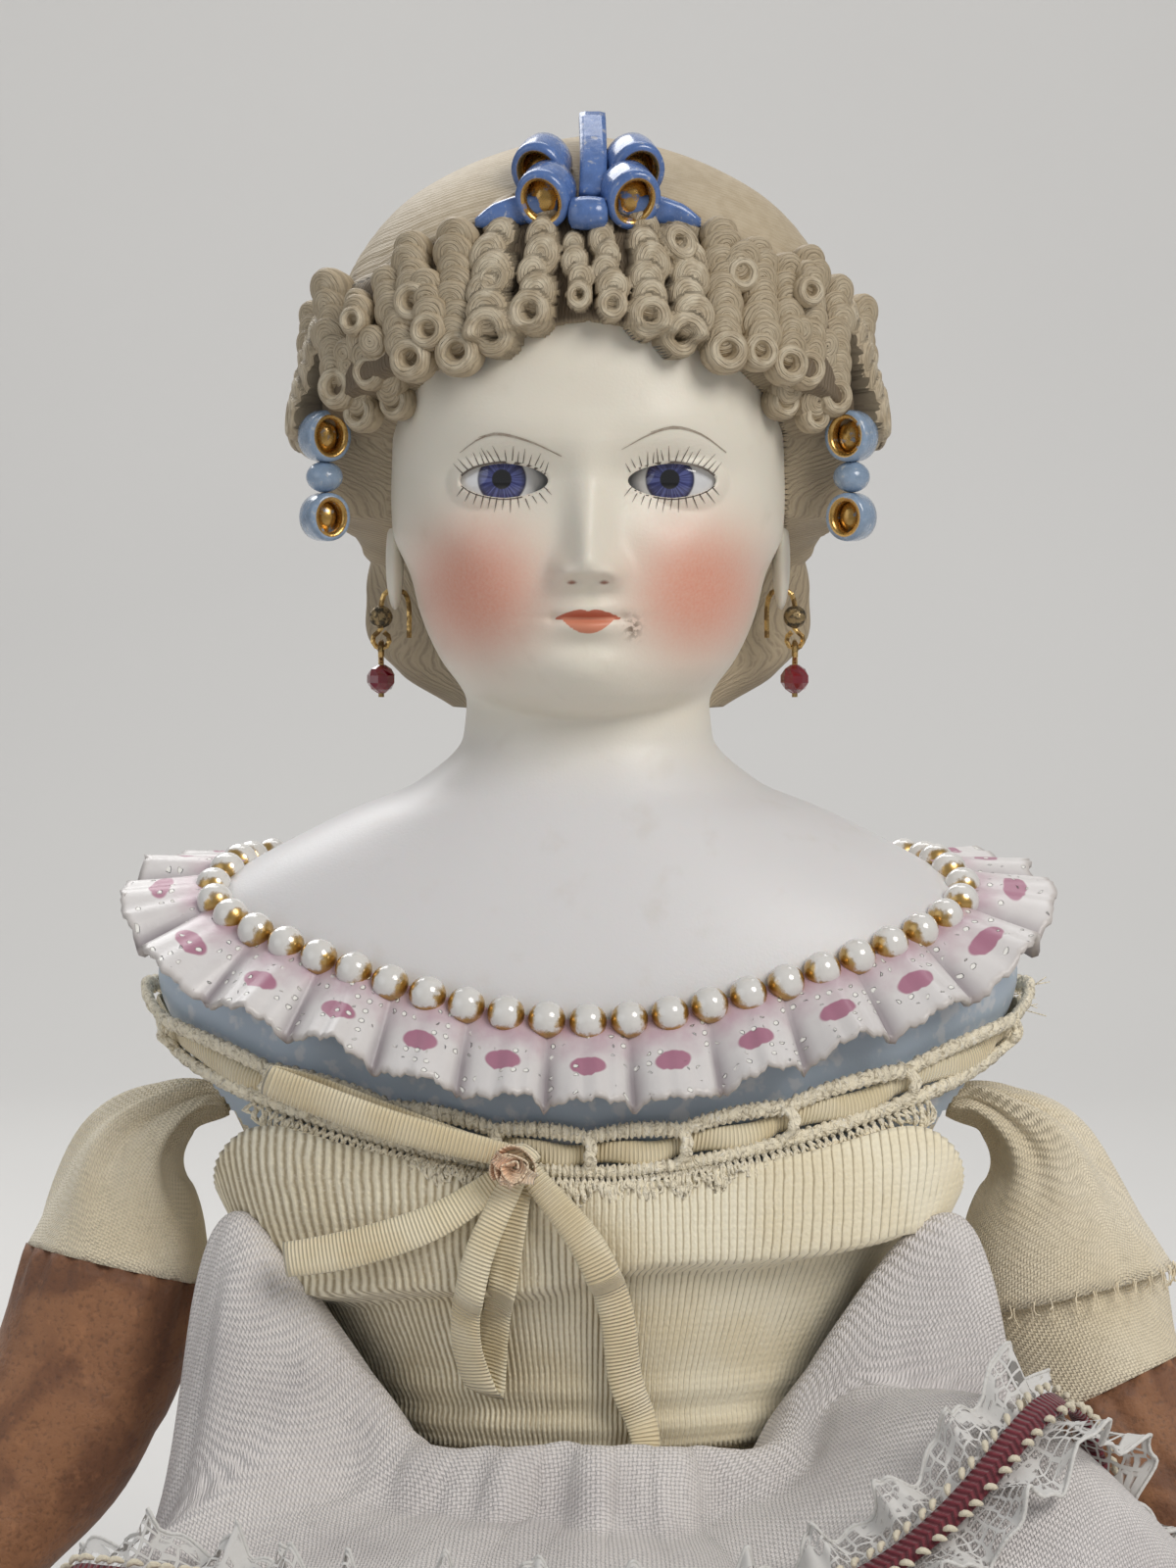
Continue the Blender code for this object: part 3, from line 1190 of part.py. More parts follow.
def dress_path(theta):
    """Waist, bunched roll, lap and hem of the dress at azimuth theta, as (radius, height) pairs."""
    front = np.clip(np.cos(theta), 0, 1) ** 1.5
    back = np.clip(-np.cos(theta), 0, 1)
    side = 1 - front - back
    lobes = bump(theta, LOBE_AZIMUTH_DEG, 15) + bump(theta, -LOBE_AZIMUTH_DEG, 15)
    top_z = WAIST_Z - 0.0050 + LOBE_RISE * lobes + 0.0030 * back
    waist = knit_radius(theta, np.maximum(top_z, KNIT_HEM_Z)) + KNIT_THICKNESS + WAIST_GAP
    hem = DRESS_FRONT_REACH * front + DRESS_BACK_REACH * back + DRESS_SIDE_REACH * side
    in_front = 1 - smooth_step(50, 68, np.abs(np.degrees(theta)))
    lap_z = between(SIDE_LAP_HEIGHT, LAP_HEIGHT, in_front) + LIFTED_FOLD_RISE * bump(theta, 46, 15)
    lap_r = np.minimum(LAP_REACH, 0.75 * hem)
    return (
        (waist, top_z),
        (waist + 0.0090 + 0.0010 * lobes, top_z + 0.0015),
        (waist + 0.0200 - 0.0020 * side, 0.5 * (top_z + lap_z) + 0.0040 * in_front - 0.0010),
        (lap_r, lap_z),
        (0.5 * (lap_r + hem) + 0.0060, 0.55 * lap_z),
        (hem, 0.0 * top_z),
    )


def dress_point(theta, share):
    """A point on the dress from its top, share 0, to its hem, share 1."""
    path = dress_path(theta)
    at = share * (len(path) - 1)
    i = int(min(math.floor(at), len(path) - 2))
    t = at - i
    knots = [path[max(i - 1, 0)], path[i], path[i + 1], path[min(i + 2, len(path) - 1)]]
    weights = (
        0.5 * (-t + 2 * t**2 - t**3),
        0.5 * (2 - 5 * t**2 + 3 * t**3),
        0.5 * (t + 4 * t**2 - 3 * t**3),
        0.5 * (-(t**2) + t**3),
    )
    radius = sum(w * k[0] for w, k in zip(weights, knots))
    z = sum(w * k[1] for w, k in zip(weights, knots))
    folds = DRESS_FOLD_DEPTH * np.sin(DRESS_FOLDS * theta) * min(1.0, 2 * share)
    point = at_radius(theta, z, radius + folds)
    over_legs = (2 * LEG_RADIUS + 0.0040) * (1 - smooth_step(0.0380, 0.0540, np.abs(point[..., 0])))
    point[..., 2] = np.maximum(point[..., 2], np.where(point[..., 1] < -0.04, over_legs, 0.0))
    return point


def dress_azimuths():
    """Columns of the dress, closer together in front, where the skirt reaches far out."""
    even = np.linspace(-math.pi, math.pi, DRESS_COLUMNS, endpoint=False)
    return even - 0.45 * np.sin(even)


def lowered_dress(doll):
    rings = [dress_point(dress_azimuths(), share) for share in np.linspace(1, 0, 11)]
    obj = place("lawn_dress", mesh_from_rings("lawn_dress", rings, False, False), "lawn", doll)
    thicken(obj, DRESS_THICKNESS)
    floor = rod_mesh("floor", (0, -0.06, -0.02), (0, -0.06, 0.0), 0.30, 24)
    cut(obj, "dress_floor", floor, bpy.data.collections["cutters"])


def eased(directions):
    """Directions round a closed line, each turned towards its neighbours."""
    for _ in range(3):
        directions = unit(np.roll(directions, 1, axis=0) + 2 * directions + np.roll(directions, -1, axis=0))
    return directions


def trim_line():
    """Centre line of the lace on the dress, with the way down the skirt and the way out of it."""
    theta = dress_azimuths()
    line = dress_point(theta, 0.6)
    down = unit(dress_point(theta, 0.7) - dress_point(theta, 0.5))
    along = unit(np.roll(line, -1, axis=0) - np.roll(line, 1, axis=0))
    out = unit(np.cross(along, down))
    out *= np.sign(out[:, 2])[:, None]
    out, down = eased(out), eased(down)
    down = unit(down - np.sum(down * out, axis=1, keepdims=True) * out)
    return line, down, out


def between_columns(values):
    """The values at each column of a closed line and halfway to the next."""
    halfway = 0.5 * (values + np.roll(values, -1, axis=0))
    return np.stack([values, halfway], axis=1).reshape(-1, 3)


def dress_trim(doll):
    """Gathered lace laid round the skirt, with the woven braid stitched along its middle."""
    line, down, out = (between_columns(values) for values in trim_line())
    out, down = unit(out), unit(down)
    wave = FLOUNCE_WAVE * np.sin(0.5 * math.pi * np.arange(len(line)))[:, None]
    base = line + out * (DRESS_THICKNESS + 4 * CLEARANCE)
    half_braid = 0.5 * BRAID_WIDTH + CLEARANCE
    inner = np.array(
        [
            base - down * 0.5 * FLOUNCE_WIDTH + out * (FLOUNCE_LIFT + wave),
            base - down * half_braid,
            base + down * half_braid,
            base + down * 0.5 * FLOUNCE_WIDTH + out * (FLOUNCE_LIFT - wave),
        ]
    )
    outer = inner + out * FLOUNCE_THICKNESS
    rings = np.swapaxes(np.concatenate([outer, inner[::-1]]), 0, 1)
    rings = np.concatenate([rings, rings[:1]])
    place("lace_flounce", weld(mesh_from_rings("lace_flounce", rings, False, False)), "flounce", doll)
    braid = base + out * (FLOUNCE_THICKNESS + CLEARANCE + 0.5 * BRAID_THICKNESS)
    mesh = strip_mesh("red_braid", braid, down, BRAID_WIDTH, BRAID_THICKNESS, closed=True)
    place("red_braid", mesh, "braid", doll)


def main():
    clear_scene()
    doll = collection("bisque_doll")
    cutters = collection("cutters")
    shoulder_head(doll, cutters)
    eyes(doll)
    earrings(doll)
    torso(doll)
    arms(doll)
    legs(doll)
    knit_bodice(doll)
    crochet_edging(doll)
    threaded_ribbon(doll)
    bow(doll, cutters)
    lowered_dress(doll)
    dress_trim(doll)


main()
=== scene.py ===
"""Looks of the antique bisque shoulder-head doll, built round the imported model.

Metres, +Z up, in the same frame as the CAD. The doll faces -Y and sits on z = 0.
"""

import math

import bmesh
import bpy
import numpy as np
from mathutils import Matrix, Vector

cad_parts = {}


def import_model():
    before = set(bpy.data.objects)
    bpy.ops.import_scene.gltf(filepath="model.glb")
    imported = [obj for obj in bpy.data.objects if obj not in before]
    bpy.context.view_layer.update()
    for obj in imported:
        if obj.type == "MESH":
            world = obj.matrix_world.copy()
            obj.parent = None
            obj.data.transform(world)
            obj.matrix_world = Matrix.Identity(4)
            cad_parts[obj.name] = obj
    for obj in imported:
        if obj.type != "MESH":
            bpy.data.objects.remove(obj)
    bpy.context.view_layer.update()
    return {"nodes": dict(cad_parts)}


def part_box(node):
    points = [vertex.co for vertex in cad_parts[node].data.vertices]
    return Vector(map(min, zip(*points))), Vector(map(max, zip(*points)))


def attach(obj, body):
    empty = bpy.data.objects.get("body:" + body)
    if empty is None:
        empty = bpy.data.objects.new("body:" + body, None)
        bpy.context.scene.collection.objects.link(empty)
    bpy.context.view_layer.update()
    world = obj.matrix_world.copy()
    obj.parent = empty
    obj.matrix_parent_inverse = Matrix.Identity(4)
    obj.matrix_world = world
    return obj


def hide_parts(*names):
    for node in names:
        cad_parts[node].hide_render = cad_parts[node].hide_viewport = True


# Heights of the CAD figure
HIP_Z = 0.0220
WAIST_Z = 0.0740
BUST_Z = 0.1240
SHOULDER_Z = 0.1380
NECK_Z = 0.1718
CHIN_Z = 0.1745
MOUTH_Z = 0.1893
EAR_HOLE_Z = 0.1927
NOSE_TIP_Z = 0.1968
EYE_Z = 0.2080
HAIRLINE_Z = 0.2298
CROWN_Z = 0.2565
PLATE_BOTTOM_Z = 0.1080
NECKLINE_FRONT_Z = 0.1345
NECKLINE_RISE = 0.0190
LACE_FRONT_Z = 0.1130
LACE_RISE = 0.0160
KNIT_HEM_Z = 0.0735

# Half-widths of the CAD figure
HEAD_HALF_WIDTH = 0.0282
HAIR_HALF_WIDTH = 0.0375
NECK_HALF_WIDTH = 0.0178
SHOULDER_HALF_WIDTH = 0.0615
WAIST_HALF_WIDTH = 0.0305
HIP_HALF_WIDTH = 0.0440
BISQUE_WALL = 0.0030
STUFFING_GAP = 0.0008

# Camera of the photograph
CAMERA_PLACE = (0.0, -0.630, 0.205)
CAMERA_PITCH_DEG = 86.35
SENSOR = 36.0
LENS = SENSOR * 4500 / 1600

# Backdrop: where its floor starts to bend, and the bend's radius
BACKDROP_Y = 0.90
BACKDROP_BEND = 0.50
BACKDROP_HALF_WIDTH = 3.5
BACKDROP_END = 3.0
FLOOR_DROP = 0.0002

# Lamps: name, place, what it is turned to, size, power, colour
FIGURE_MIDDLE = (0, 0, 0.13)
LAMPS = (
    ("key", (0.55, -0.70, 0.75), FIGURE_MIDDLE, 0.55, 6.0, (1.0, 0.97, 0.93)),
    ("fill", (-0.9, -0.7, 0.45), FIGURE_MIDDLE, 1.0, 1.9, (0.93, 0.96, 1.0)),
    ("back", (-0.3, 0.55, 0.75), FIGURE_MIDDLE, 0.5, 2.6, (1.0, 1.0, 1.0)),
    ("wall", (0.0, 0.5, 1.3), (0, BACKDROP_Y + BACKDROP_BEND, 0.5), 1.0, 9.0, (1.0, 1.0, 1.0)),
)
ROOM_COLOUR = (0.75, 0.76, 0.78, 1.0)
ROOM_STRENGTH = 0.42

# Casting
ARMHOLE_RADIUS = 0.0180
ARMHOLE_INNER_X = 0.0440
BEAD_RADIUS = 0.0025
BEAD_PITCH = 0.0054
RUFFLE_LENGTH = 0.0135
RUFFLE_THICKNESS = 0.0017
RUFFLE_DEPTH = 0.0026
FLUTE_PITCH = 0.0108
EYE_X = 0.0115
EYE_RADIUS = 0.0080
EYE_CENTRE_Y = -0.0172
LID_THICKNESS = 0.0011
EYE_OPENING_WIDTH = 0.0121
EYE_OPENING_HEIGHT = 0.0047
LOBE_X = 0.0276
LOBE_Y = 0.0010
LOBE_RADII = (0.0013, 0.0036, 0.0070)
FACE_FRONT_Y = -0.015
FACE_LOW_Z = 0.170
FACE_HIGH_Z = 0.2310
SKIN_TOP_Z = 0.240

# Paint of the face
CHEEK_X = 0.0155
CHEEK_Z = 0.1930
CHEEK_RADIUS = 0.0096
LIPS_HALF_WIDTH = 0.0045
UPPER_LIP_HEIGHT = 0.0013
LOWER_LIP_HEIGHT = 0.0021
LIP_EDGE_SOFTNESS = 0.0004
SCUFF_X = 0.0061
BROWS = (
    ((-0.0176, 0.2118), (-0.0150, 0.2136), (-0.0122, 0.2143), (-0.0080, 0.2133), (-0.0036, 0.2113)),
    ((0.0046, 0.2122), (0.0085, 0.2143), (0.0119, 0.2152), (0.0155, 0.2143), (0.0190, 0.2119)),
)
BROW_WIDTHS = (0.00006, 0.00022, 0.00034, 0.00024, 0.00008)
BESIDE_BROW_WIDTHS = (0.00005, 0.00014, 0.00012, 0.00005)
LASH_WIDTHS = (0.00015, 0.00011, 0.00003)

# Collar frill: a magenta dot on each flute, how far down it is, and the rows of raised dots
FRILL_DOT_RADIUS = 0.0023
FRILL_DOT_FALL = 0.56
PEARLS_PER_FLUTE = 7.0
PEARL_ROWS = 8.0


def between(low, high, share):
    return low + (high - low) * share


# Stations of the figure: height, half-width, depth in front of and behind the axis
BODY = (
    (0.0000, HIP_HALF_WIDTH - 0.0130, 0.0270, 0.0300),
    (HIP_Z, HIP_HALF_WIDTH, 0.0330, 0.0420),
    (between(HIP_Z, WAIST_Z, 0.46), between(HIP_HALF_WIDTH, WAIST_HALF_WIDTH, 0.5), 0.0290, 0.0350),
    (WAIST_Z, WAIST_HALF_WIDTH, 0.0235, 0.0235),
    (between(WAIST_Z, BUST_Z, 0.42), WAIST_HALF_WIDTH + 0.0085, 0.0290, 0.0255),
    (between(WAIST_Z, BUST_Z, 0.72), SHOULDER_HALF_WIDTH - 0.0130, 0.0325, 0.0275),
    (BUST_Z, SHOULDER_HALF_WIDTH - 0.0060, 0.0335, 0.0290),
    (SHOULDER_Z, SHOULDER_HALF_WIDTH, 0.0310, 0.0300),
    (between(SHOULDER_Z, NECK_Z, 0.192), SHOULDER_HALF_WIDTH - 0.0022, 0.0290, 0.0300),
    (between(SHOULDER_Z, NECK_Z, 0.325), SHOULDER_HALF_WIDTH - 0.0062, 0.0272, 0.0290),
    (between(SHOULDER_Z, NECK_Z, 0.453), SHOULDER_HALF_WIDTH - 0.0125, 0.0252, 0.0270),
    (between(SHOULDER_Z, NECK_Z, 0.577), NECK_HALF_WIDTH + 0.0235, 0.0230, 0.0248),
    (between(SHOULDER_Z, NECK_Z, 0.689), NECK_HALF_WIDTH + 0.0158, 0.0208, 0.0225),
    (between(SHOULDER_Z, NECK_Z, 0.800), NECK_HALF_WIDTH + 0.0068, 0.0185, 0.0198),
    (NECK_Z, NECK_HALF_WIDTH, 0.0160, 0.0172),
    (between(NECK_Z, EYE_Z, 0.50), NECK_HALF_WIDTH - 0.0015, 0.0150, 0.0165),
    (between(NECK_Z, EYE_Z, 0.92), 0.0100, 0.0100, 0.0100),
    (CROWN_Z, 0.0030, 0.0030, 0.0030),
)
HEAD = (
    (CHIN_Z - 0.0030, 0.0015, 0.0015, 0.0015),
    (CHIN_Z, 0.0060, 0.0120, 0.0080),
    (between(CHIN_Z, MOUTH_Z, 0.135), 0.0120, 0.0210, 0.0150),
    (between(CHIN_Z, MOUTH_Z, 0.304), 0.0168, 0.0247, 0.0200),
    (between(CHIN_Z, MOUTH_Z, 0.575), HEAD_HALF_WIDTH - 0.0074, 0.0268, 0.0240),
    (MOUTH_Z, HEAD_HALF_WIDTH - 0.0044, 0.0278, 0.0270),
    (between(MOUTH_Z, EYE_Z, 0.28), HEAD_HALF_WIDTH - 0.0030, 0.0282, 0.0290),
    (between(MOUTH_Z, EYE_Z, 0.63), HEAD_HALF_WIDTH - 0.0004, 0.0284, 0.0305),
    (EYE_Z, HEAD_HALF_WIDTH, 0.0284, 0.0315),
    (between(EYE_Z, HAIRLINE_Z, 0.275), HEAD_HALF_WIDTH, 0.0297, 0.0320),
    (between(EYE_Z, HAIRLINE_Z, 0.64), HEAD_HALF_WIDTH - 0.0004, 0.0293, 0.0320),
    (HAIRLINE_Z, HEAD_HALF_WIDTH - 0.0018, 0.0275, 0.0305),
    (between(HAIRLINE_Z, CROWN_Z, 0.307), HEAD_HALF_WIDTH - 0.0050, 0.0235, 0.0265),
    (between(HAIRLINE_Z, CROWN_Z, 0.57), HEAD_HALF_WIDTH - 0.0105, 0.0175, 0.0200),
    (between(HAIRLINE_Z, CROWN_Z, 0.757), 0.0120, 0.0110, 0.0130),
    (CROWN_Z, 0.0020, 0.0020, 0.0020),
)
HAIR = (
    (CHIN_Z - 0.0030, 0.0120, 0.0080, 0.0140),
    (between(CHIN_Z, MOUTH_Z, 0.10), 0.0200, 0.0100, 0.0270),
    (between(CHIN_Z, MOUTH_Z, 0.37), HAIR_HALF_WIDTH - 0.0092, 0.0120, 0.0350),
    (between(CHIN_Z, MOUTH_Z, 0.74), HAIR_HALF_WIDTH - 0.0050, 0.0120, 0.0400),
    (between(MOUTH_Z, EYE_Z, 0.144), HAIR_HALF_WIDTH - 0.0042, 0.0120, 0.0415),
    (between(MOUTH_Z, EYE_Z, 0.44), HAIR_HALF_WIDTH - 0.0054, 0.0120, 0.0400),
    (between(MOUTH_Z, EYE_Z, 0.65), HAIR_HALF_WIDTH - 0.0026, 0.0220, 0.0405),
    (EYE_Z, HAIR_HALF_WIDTH, 0.0300, 0.0405),
    (between(EYE_Z, HAIRLINE_Z, 0.32), HAIR_HALF_WIDTH + 0.0002, 0.0318, 0.0395),
    (between(EYE_Z, HAIRLINE_Z, 0.64), HAIR_HALF_WIDTH - 0.0005, 0.0316, 0.0385),
    (HAIRLINE_Z, HAIR_HALF_WIDTH - 0.0015, 0.0300, 0.0370),
    (between(HAIRLINE_Z, CROWN_Z, 0.27), HAIR_HALF_WIDTH - 0.0037, 0.0278, 0.0343),
    (between(HAIRLINE_Z, CROWN_Z, 0.476), HAIR_HALF_WIDTH - 0.0070, 0.0248, 0.0310),
    (between(HAIRLINE_Z, CROWN_Z, 0.663), HAIR_HALF_WIDTH - 0.0117, 0.0205, 0.0265),
    (between(HAIRLINE_Z, CROWN_Z, 0.83), HAIR_HALF_WIDTH - 0.0190, 0.0148, 0.0195),
    (between(HAIRLINE_Z, CROWN_Z, 0.955), 0.0095, 0.0085, 0.0110),
    (CROWN_Z, 0.0030, 0.0030, 0.0040),
)
# Where the hair starts, as the azimuth from the front at each height
HAIR_EDGE = (
    (CHIN_Z, 108.0),
    (between(MOUTH_Z, EYE_Z, 0.36), 108.0),
    (between(MOUTH_Z, EYE_Z, 0.545), 98.0),
    (between(MOUTH_Z, EYE_Z, 0.73), 84.0),
    (EYE_Z, 80.0),
    (between(EYE_Z, HAIRLINE_Z, 0.275), 76.0),
    (between(EYE_Z, HAIRLINE_Z, 0.505), 62.0),
    (between(EYE_Z, HAIRLINE_Z, 0.69), 48.0),
    (between(EYE_Z, HAIRLINE_Z, 0.85), 30.0),
    (between(EYE_Z, HAIRLINE_Z, 0.963), 12.0),
    (HAIRLINE_Z, 0.0),
    (HAIRLINE_Z + 0.0025, -14.0),
)
HAIR_BLEND_DEG = 9.0
FULLNESS = 2.25
JAW_BLEND = 9.0

# Soft forms of the face: distance from the middle, height, half-breadth, half-height, how far it stands out
FACE_FORMS = (
    (EYE_X, EYE_Z - 0.0005, 0.0070, 0.0048, -0.0022),
    (EYE_X, EYE_Z + 0.0078, 0.0085, 0.0034, 0.0006),
    (0.0145, between(MOUTH_Z, EYE_Z, 0.25), 0.0085, 0.0085, 0.0018),
    (0.0034, NOSE_TIP_Z - 0.0012, 0.0017, 0.0019, 0.0021),
    (0.0000, MOUTH_Z + 0.0010, 0.0075, 0.0060, 0.0016),
    (0.0000, MOUTH_Z - 0.0078, 0.0060, 0.0040, 0.0018),
    (0.0000, MOUTH_Z - 0.0038, 0.0050, 0.0014, -0.0007),
    (0.0000, MOUTH_Z + 0.0014, 0.0040, 0.0010, 0.0007),
    (0.0000, MOUTH_Z, 0.0046, 0.0004, -0.0010),
    (0.0000, MOUTH_Z - 0.0013, 0.0032, 0.0011, 0.0009),
    (0.0000, MOUTH_Z + 0.0045, 0.0011, 0.0022, -0.0004),
    (0.0048, MOUTH_Z, 0.0008, 0.0008, -0.0005),
    (0.0020, NOSE_TIP_Z - 0.0023, 0.0010, 0.0006, -0.0010),
)
NOSE_RIDGE = (
    (NOSE_TIP_Z - 0.0042, 0.0000, 0.0034),
    (NOSE_TIP_Z - 0.0026, 0.0022, 0.0034),
    (NOSE_TIP_Z - 0.0010, 0.0056, 0.0032),
    (NOSE_TIP_Z + 0.0005, 0.0062, 0.0030),
    (NOSE_TIP_Z + 0.0040, 0.0046, 0.0027),
    (EYE_Z, 0.0018, 0.0028),
    (EYE_Z + 0.0050, 0.0007, 0.0034),
    (EYE_Z + 0.0100, 0.0000, 0.0040),
)

# Body, clothes and trimmings of the CAD
CLEARANCE = 0.0003
KNIT_THICKNESS = 0.0014
KNIT_GAP = 0.0008
ARMHOLE_DIP = 0.0180
LACE_HEIGHT = 0.0070
EYELET_COUNT = 18
RIBBON_THICKNESS = 0.0005
RIBBON_WIDTH = 0.0036
BOW_TAIL_WIDTH = 0.0048
BOW_X = -0.0085
BOW_Z = 0.1158
BOW_KNOT_RADIUS = 0.0021
ROSEBUD_RADIUS = 0.0024
ARM_HALF_WIDTH = 0.0132
WRIST_HALF_WIDTH = 0.0072
LEG_RADIUS = 0.0150
LEG_SPREAD = 0.0200
LEG_LENGTH = 0.1950
HIP_Y = -0.0315
BOOT_LENGTH = 0.0330
BOOT_HEIGHT = 0.0360
WAIST_GAP = 0.0020
DRESS_THICKNESS = 0.0016
DRESS_SIDE_REACH = 0.1120
DRESS_BACK_REACH = 0.0800
DRESS_FRONT_REACH = 0.2000
DRESS_FOLDS = 12
DRESS_FOLD_DEPTH = 0.0025
LAP_HEIGHT = 0.0600
SIDE_LAP_HEIGHT = 0.0300
LAP_REACH = 0.0830
LIFTED_FOLD_RISE = 0.0230
LOBE_AZIMUTH_DEG = 65
LOBE_RISE = 0.0300
FLOUNCE_THICKNESS = 0.0010
FLOUNCE_WIDTH = 0.0170
FLOUNCE_LIFT = 0.0026
BRAID_WIDTH = 0.0042
BRAID_THICKNESS = 0.0007

# Finer detail of the clothes
STITCH_RADIUS = 0.00016
BOOT_BUTTONS = 5
BOOT_BUTTON_PITCH = 0.0042
RIB_COUNT = 236
RIB_DEPTH = 0.00022
COURSE_PITCH = 0.0011
KNIT_FOLD_Z = 0.0985
DRESS_CROWDING = 0.45
FLOUNCE_RUFFLE_PITCH = 0.0135
SCALLOP_PITCH = 0.0072
LACE_CELL = 0.00150
LACE_FLOWER = 0.0048
PICOT_PITCH = 0.0023
PICOT_RADII = (0.00018, 0.0004, 0.00046, 0.00046, 0.0004, 0.00018)
LACE_POST_RADII = (0.00062, 0.00045)
LACE_LOOP_RADIUS = 0.00024
LOOPS_PER_EYELET = 30

# Rows of a garnet's facets, as shares of its radius: height, size; and how far each row is turned
FACETS = 9
FACET_ROWS = (
    (1.0, 0.30, 0.35), (0.72, 0.72, 0.0), (0.26, 1.0, 0.35),
    (-0.26, 1.0, 0.35), (-0.72, 0.72, 0.0), (-1.0, 0.30, 0.35),
)

# How much a full share of width counts for as length along a route
ROUTE_WIDTH_SCALE = 0.004
# Routes of the bow's ribbon from its knot: across, up, height over the knit, share of the ribbon's width
BOW_ROUTES = {
    "loop_up": (
        (-0.0012, 0.0012, 0.0034, 0.7),
        (-0.0140, 0.0048, 0.0050, 0.9),
        (-0.0270, 0.0092, 0.0050, 1.0),
        (-0.0325, 0.0110, 0.0036, 1.0),
        (-0.0270, 0.0091, 0.0018, 0.9),
        (-0.0140, 0.0046, 0.0016, 0.8),
        (-0.0012, 0.0006, 0.0016, 0.6),
    ),
    "tail_out": (
        (-0.0008, -0.0008, 0.0024, 0.7),
        (-0.0100, -0.0075, 0.0034, 1.0),
        (-0.0200, -0.0118, 0.0044, 1.1),
        (-0.0280, -0.0140, 0.0062, 1.0),
    ),
    "loop_down": (
        (-0.0004, -0.0012, 0.0034, 0.7),
        (-0.0050, -0.0130, 0.0042, 0.9),
        (-0.0062, -0.0250, 0.0044, 1.0),
        (-0.0040, -0.0335, 0.0032, 1.0),
        (-0.0036, -0.0240, 0.0018, 0.9),
        (-0.0018, -0.0120, 0.0016, 0.8),
        (0.0002, -0.0014, 0.0016, 0.6),
    ),
    "tail_down": (
        (0.0008, -0.0008, 0.0024, 0.7),
        (0.0085, -0.0110, 0.0034, 1.0),
        (0.0120, -0.0210, 0.0026, 1.0),
        (0.0132, -0.0310, 0.0024, 1.0),
        (0.0155, -0.0390, 0.0030, 0.9),
        (0.0140, -0.0445, 0.0090, 0.8),
    ),
}

# Section of a ribbon with rounded edges: share of its half-width, share of its half-thickness
RIBBON_SECTION = (
    (-1.0, 0.0), (-0.94, -0.8), (-0.5, -1.0), (0.0, -1.0), (0.5, -1.0), (0.94, -0.8),
    (1.0, 0.0), (0.94, 0.8), (0.5, 1.0), (0.0, 1.0), (-0.5, 1.0), (-0.94, 0.8),
)

# Moulded curls of the front in millimetres: across and height of the top and of the end, radius
FRONT_CURLS = (
    (-11.6, 244, -12.7, 228.2, 2.9),
    (-5.6, 244, -7.0, 230.8, 2.6),
    (-2.0, 240, -0.8, 233.0, 2.0),
    (1.8, 243, 3.1, 231.8, 2.2),
    (7.2, 245, 7.6, 230.2, 2.6),
    (12.6, 243, 12.7, 227.8, 2.7),
)
# Open curl ends that show above the others, in millimetres: across, height, radius
LONE_RINGS = (
    (-11.8, 235.5, 2.3),
    (11.5, 240.5, 2.5),
)
# Free ringlets in millimetres: across, depth and height of the top and of the end, radius
FREE_RINGLETS = (
    (-18.3, -24.2, 241.0, -17.8, -28.6, 225.4, 3.0),
    (-22.0, -25.5, 234.5, -21.4, -27.6, 228.4, 2.6),
    (-24.5, -21.4, 239.5, -23.6, -25.0, 232.4, 2.8),
    (-27.7, -20.6, 235.0, -24.4, -26.0, 224.6, 3.0),
    (18.2, -24.2, 241.5, 18.5, -28.4, 225.6, 2.9),
    (20.8, -24.9, 238.0, 20.7, -25.6, 236.2, 2.7),
    (23.4, -22.2, 239.0, 23.7, -26.2, 225.6, 2.9),
    (27.0, -20.6, 236.5, 27.6, -23.6, 224.0, 2.8),
    (-36.2, -11.5, 234.5, -34.6, -15.0, 221.0, 3.1),
    (-38.8, -2.0, 231.0, -38.9, -4.5, 214.5, 3.0),
    (-31.8, -19.0, 232.5, -32.0, -21.0, 230.0, 2.2),
    (-31.3, -18.5, 229.0, -30.3, -19.5, 223.0, 2.6),
    (-29.3, -22.0, 227.0, -26.8, -17.6, 218.9, 2.3),
    (-33.4, -17.0, 225.5, -31.6, -15.5, 217.5, 2.5),
    (30.8, -17.5, 238.0, 30.3, -19.5, 223.5, 2.9),
    (34.6, -12.0, 234.0, 33.9, -15.0, 219.8, 3.0),
    (38.6, -2.0, 231.5, 38.9, -4.5, 214.5, 3.0),
    (30.3, -20.5, 236.5, 30.6, -22.0, 234.0, 2.1),
    (32.6, -17.0, 226.5, 31.4, -15.5, 217.0, 2.5),
    (28.9, -22.0, 228.5, 27.2, -17.6, 219.0, 2.4),
)
# Sections of a ringlet's turn and of its open end, from the middle out: shares of its radius out and up
TURN_SECTION = (
    (0.04, 0.40), (0.30, 0.39), (0.60, 0.36), (0.84, 0.24),
    (0.97, 0.0), (1.0, -0.35), (0.90, -0.9),
)
OPEN_END_SECTION = (
    (0.10, -0.30), (0.24, -0.28), (0.30, 0.05), (0.40, 0.34),
    (0.62, 0.50), (0.84, 0.34), (1.0, -0.05), (0.95, -0.7),
)
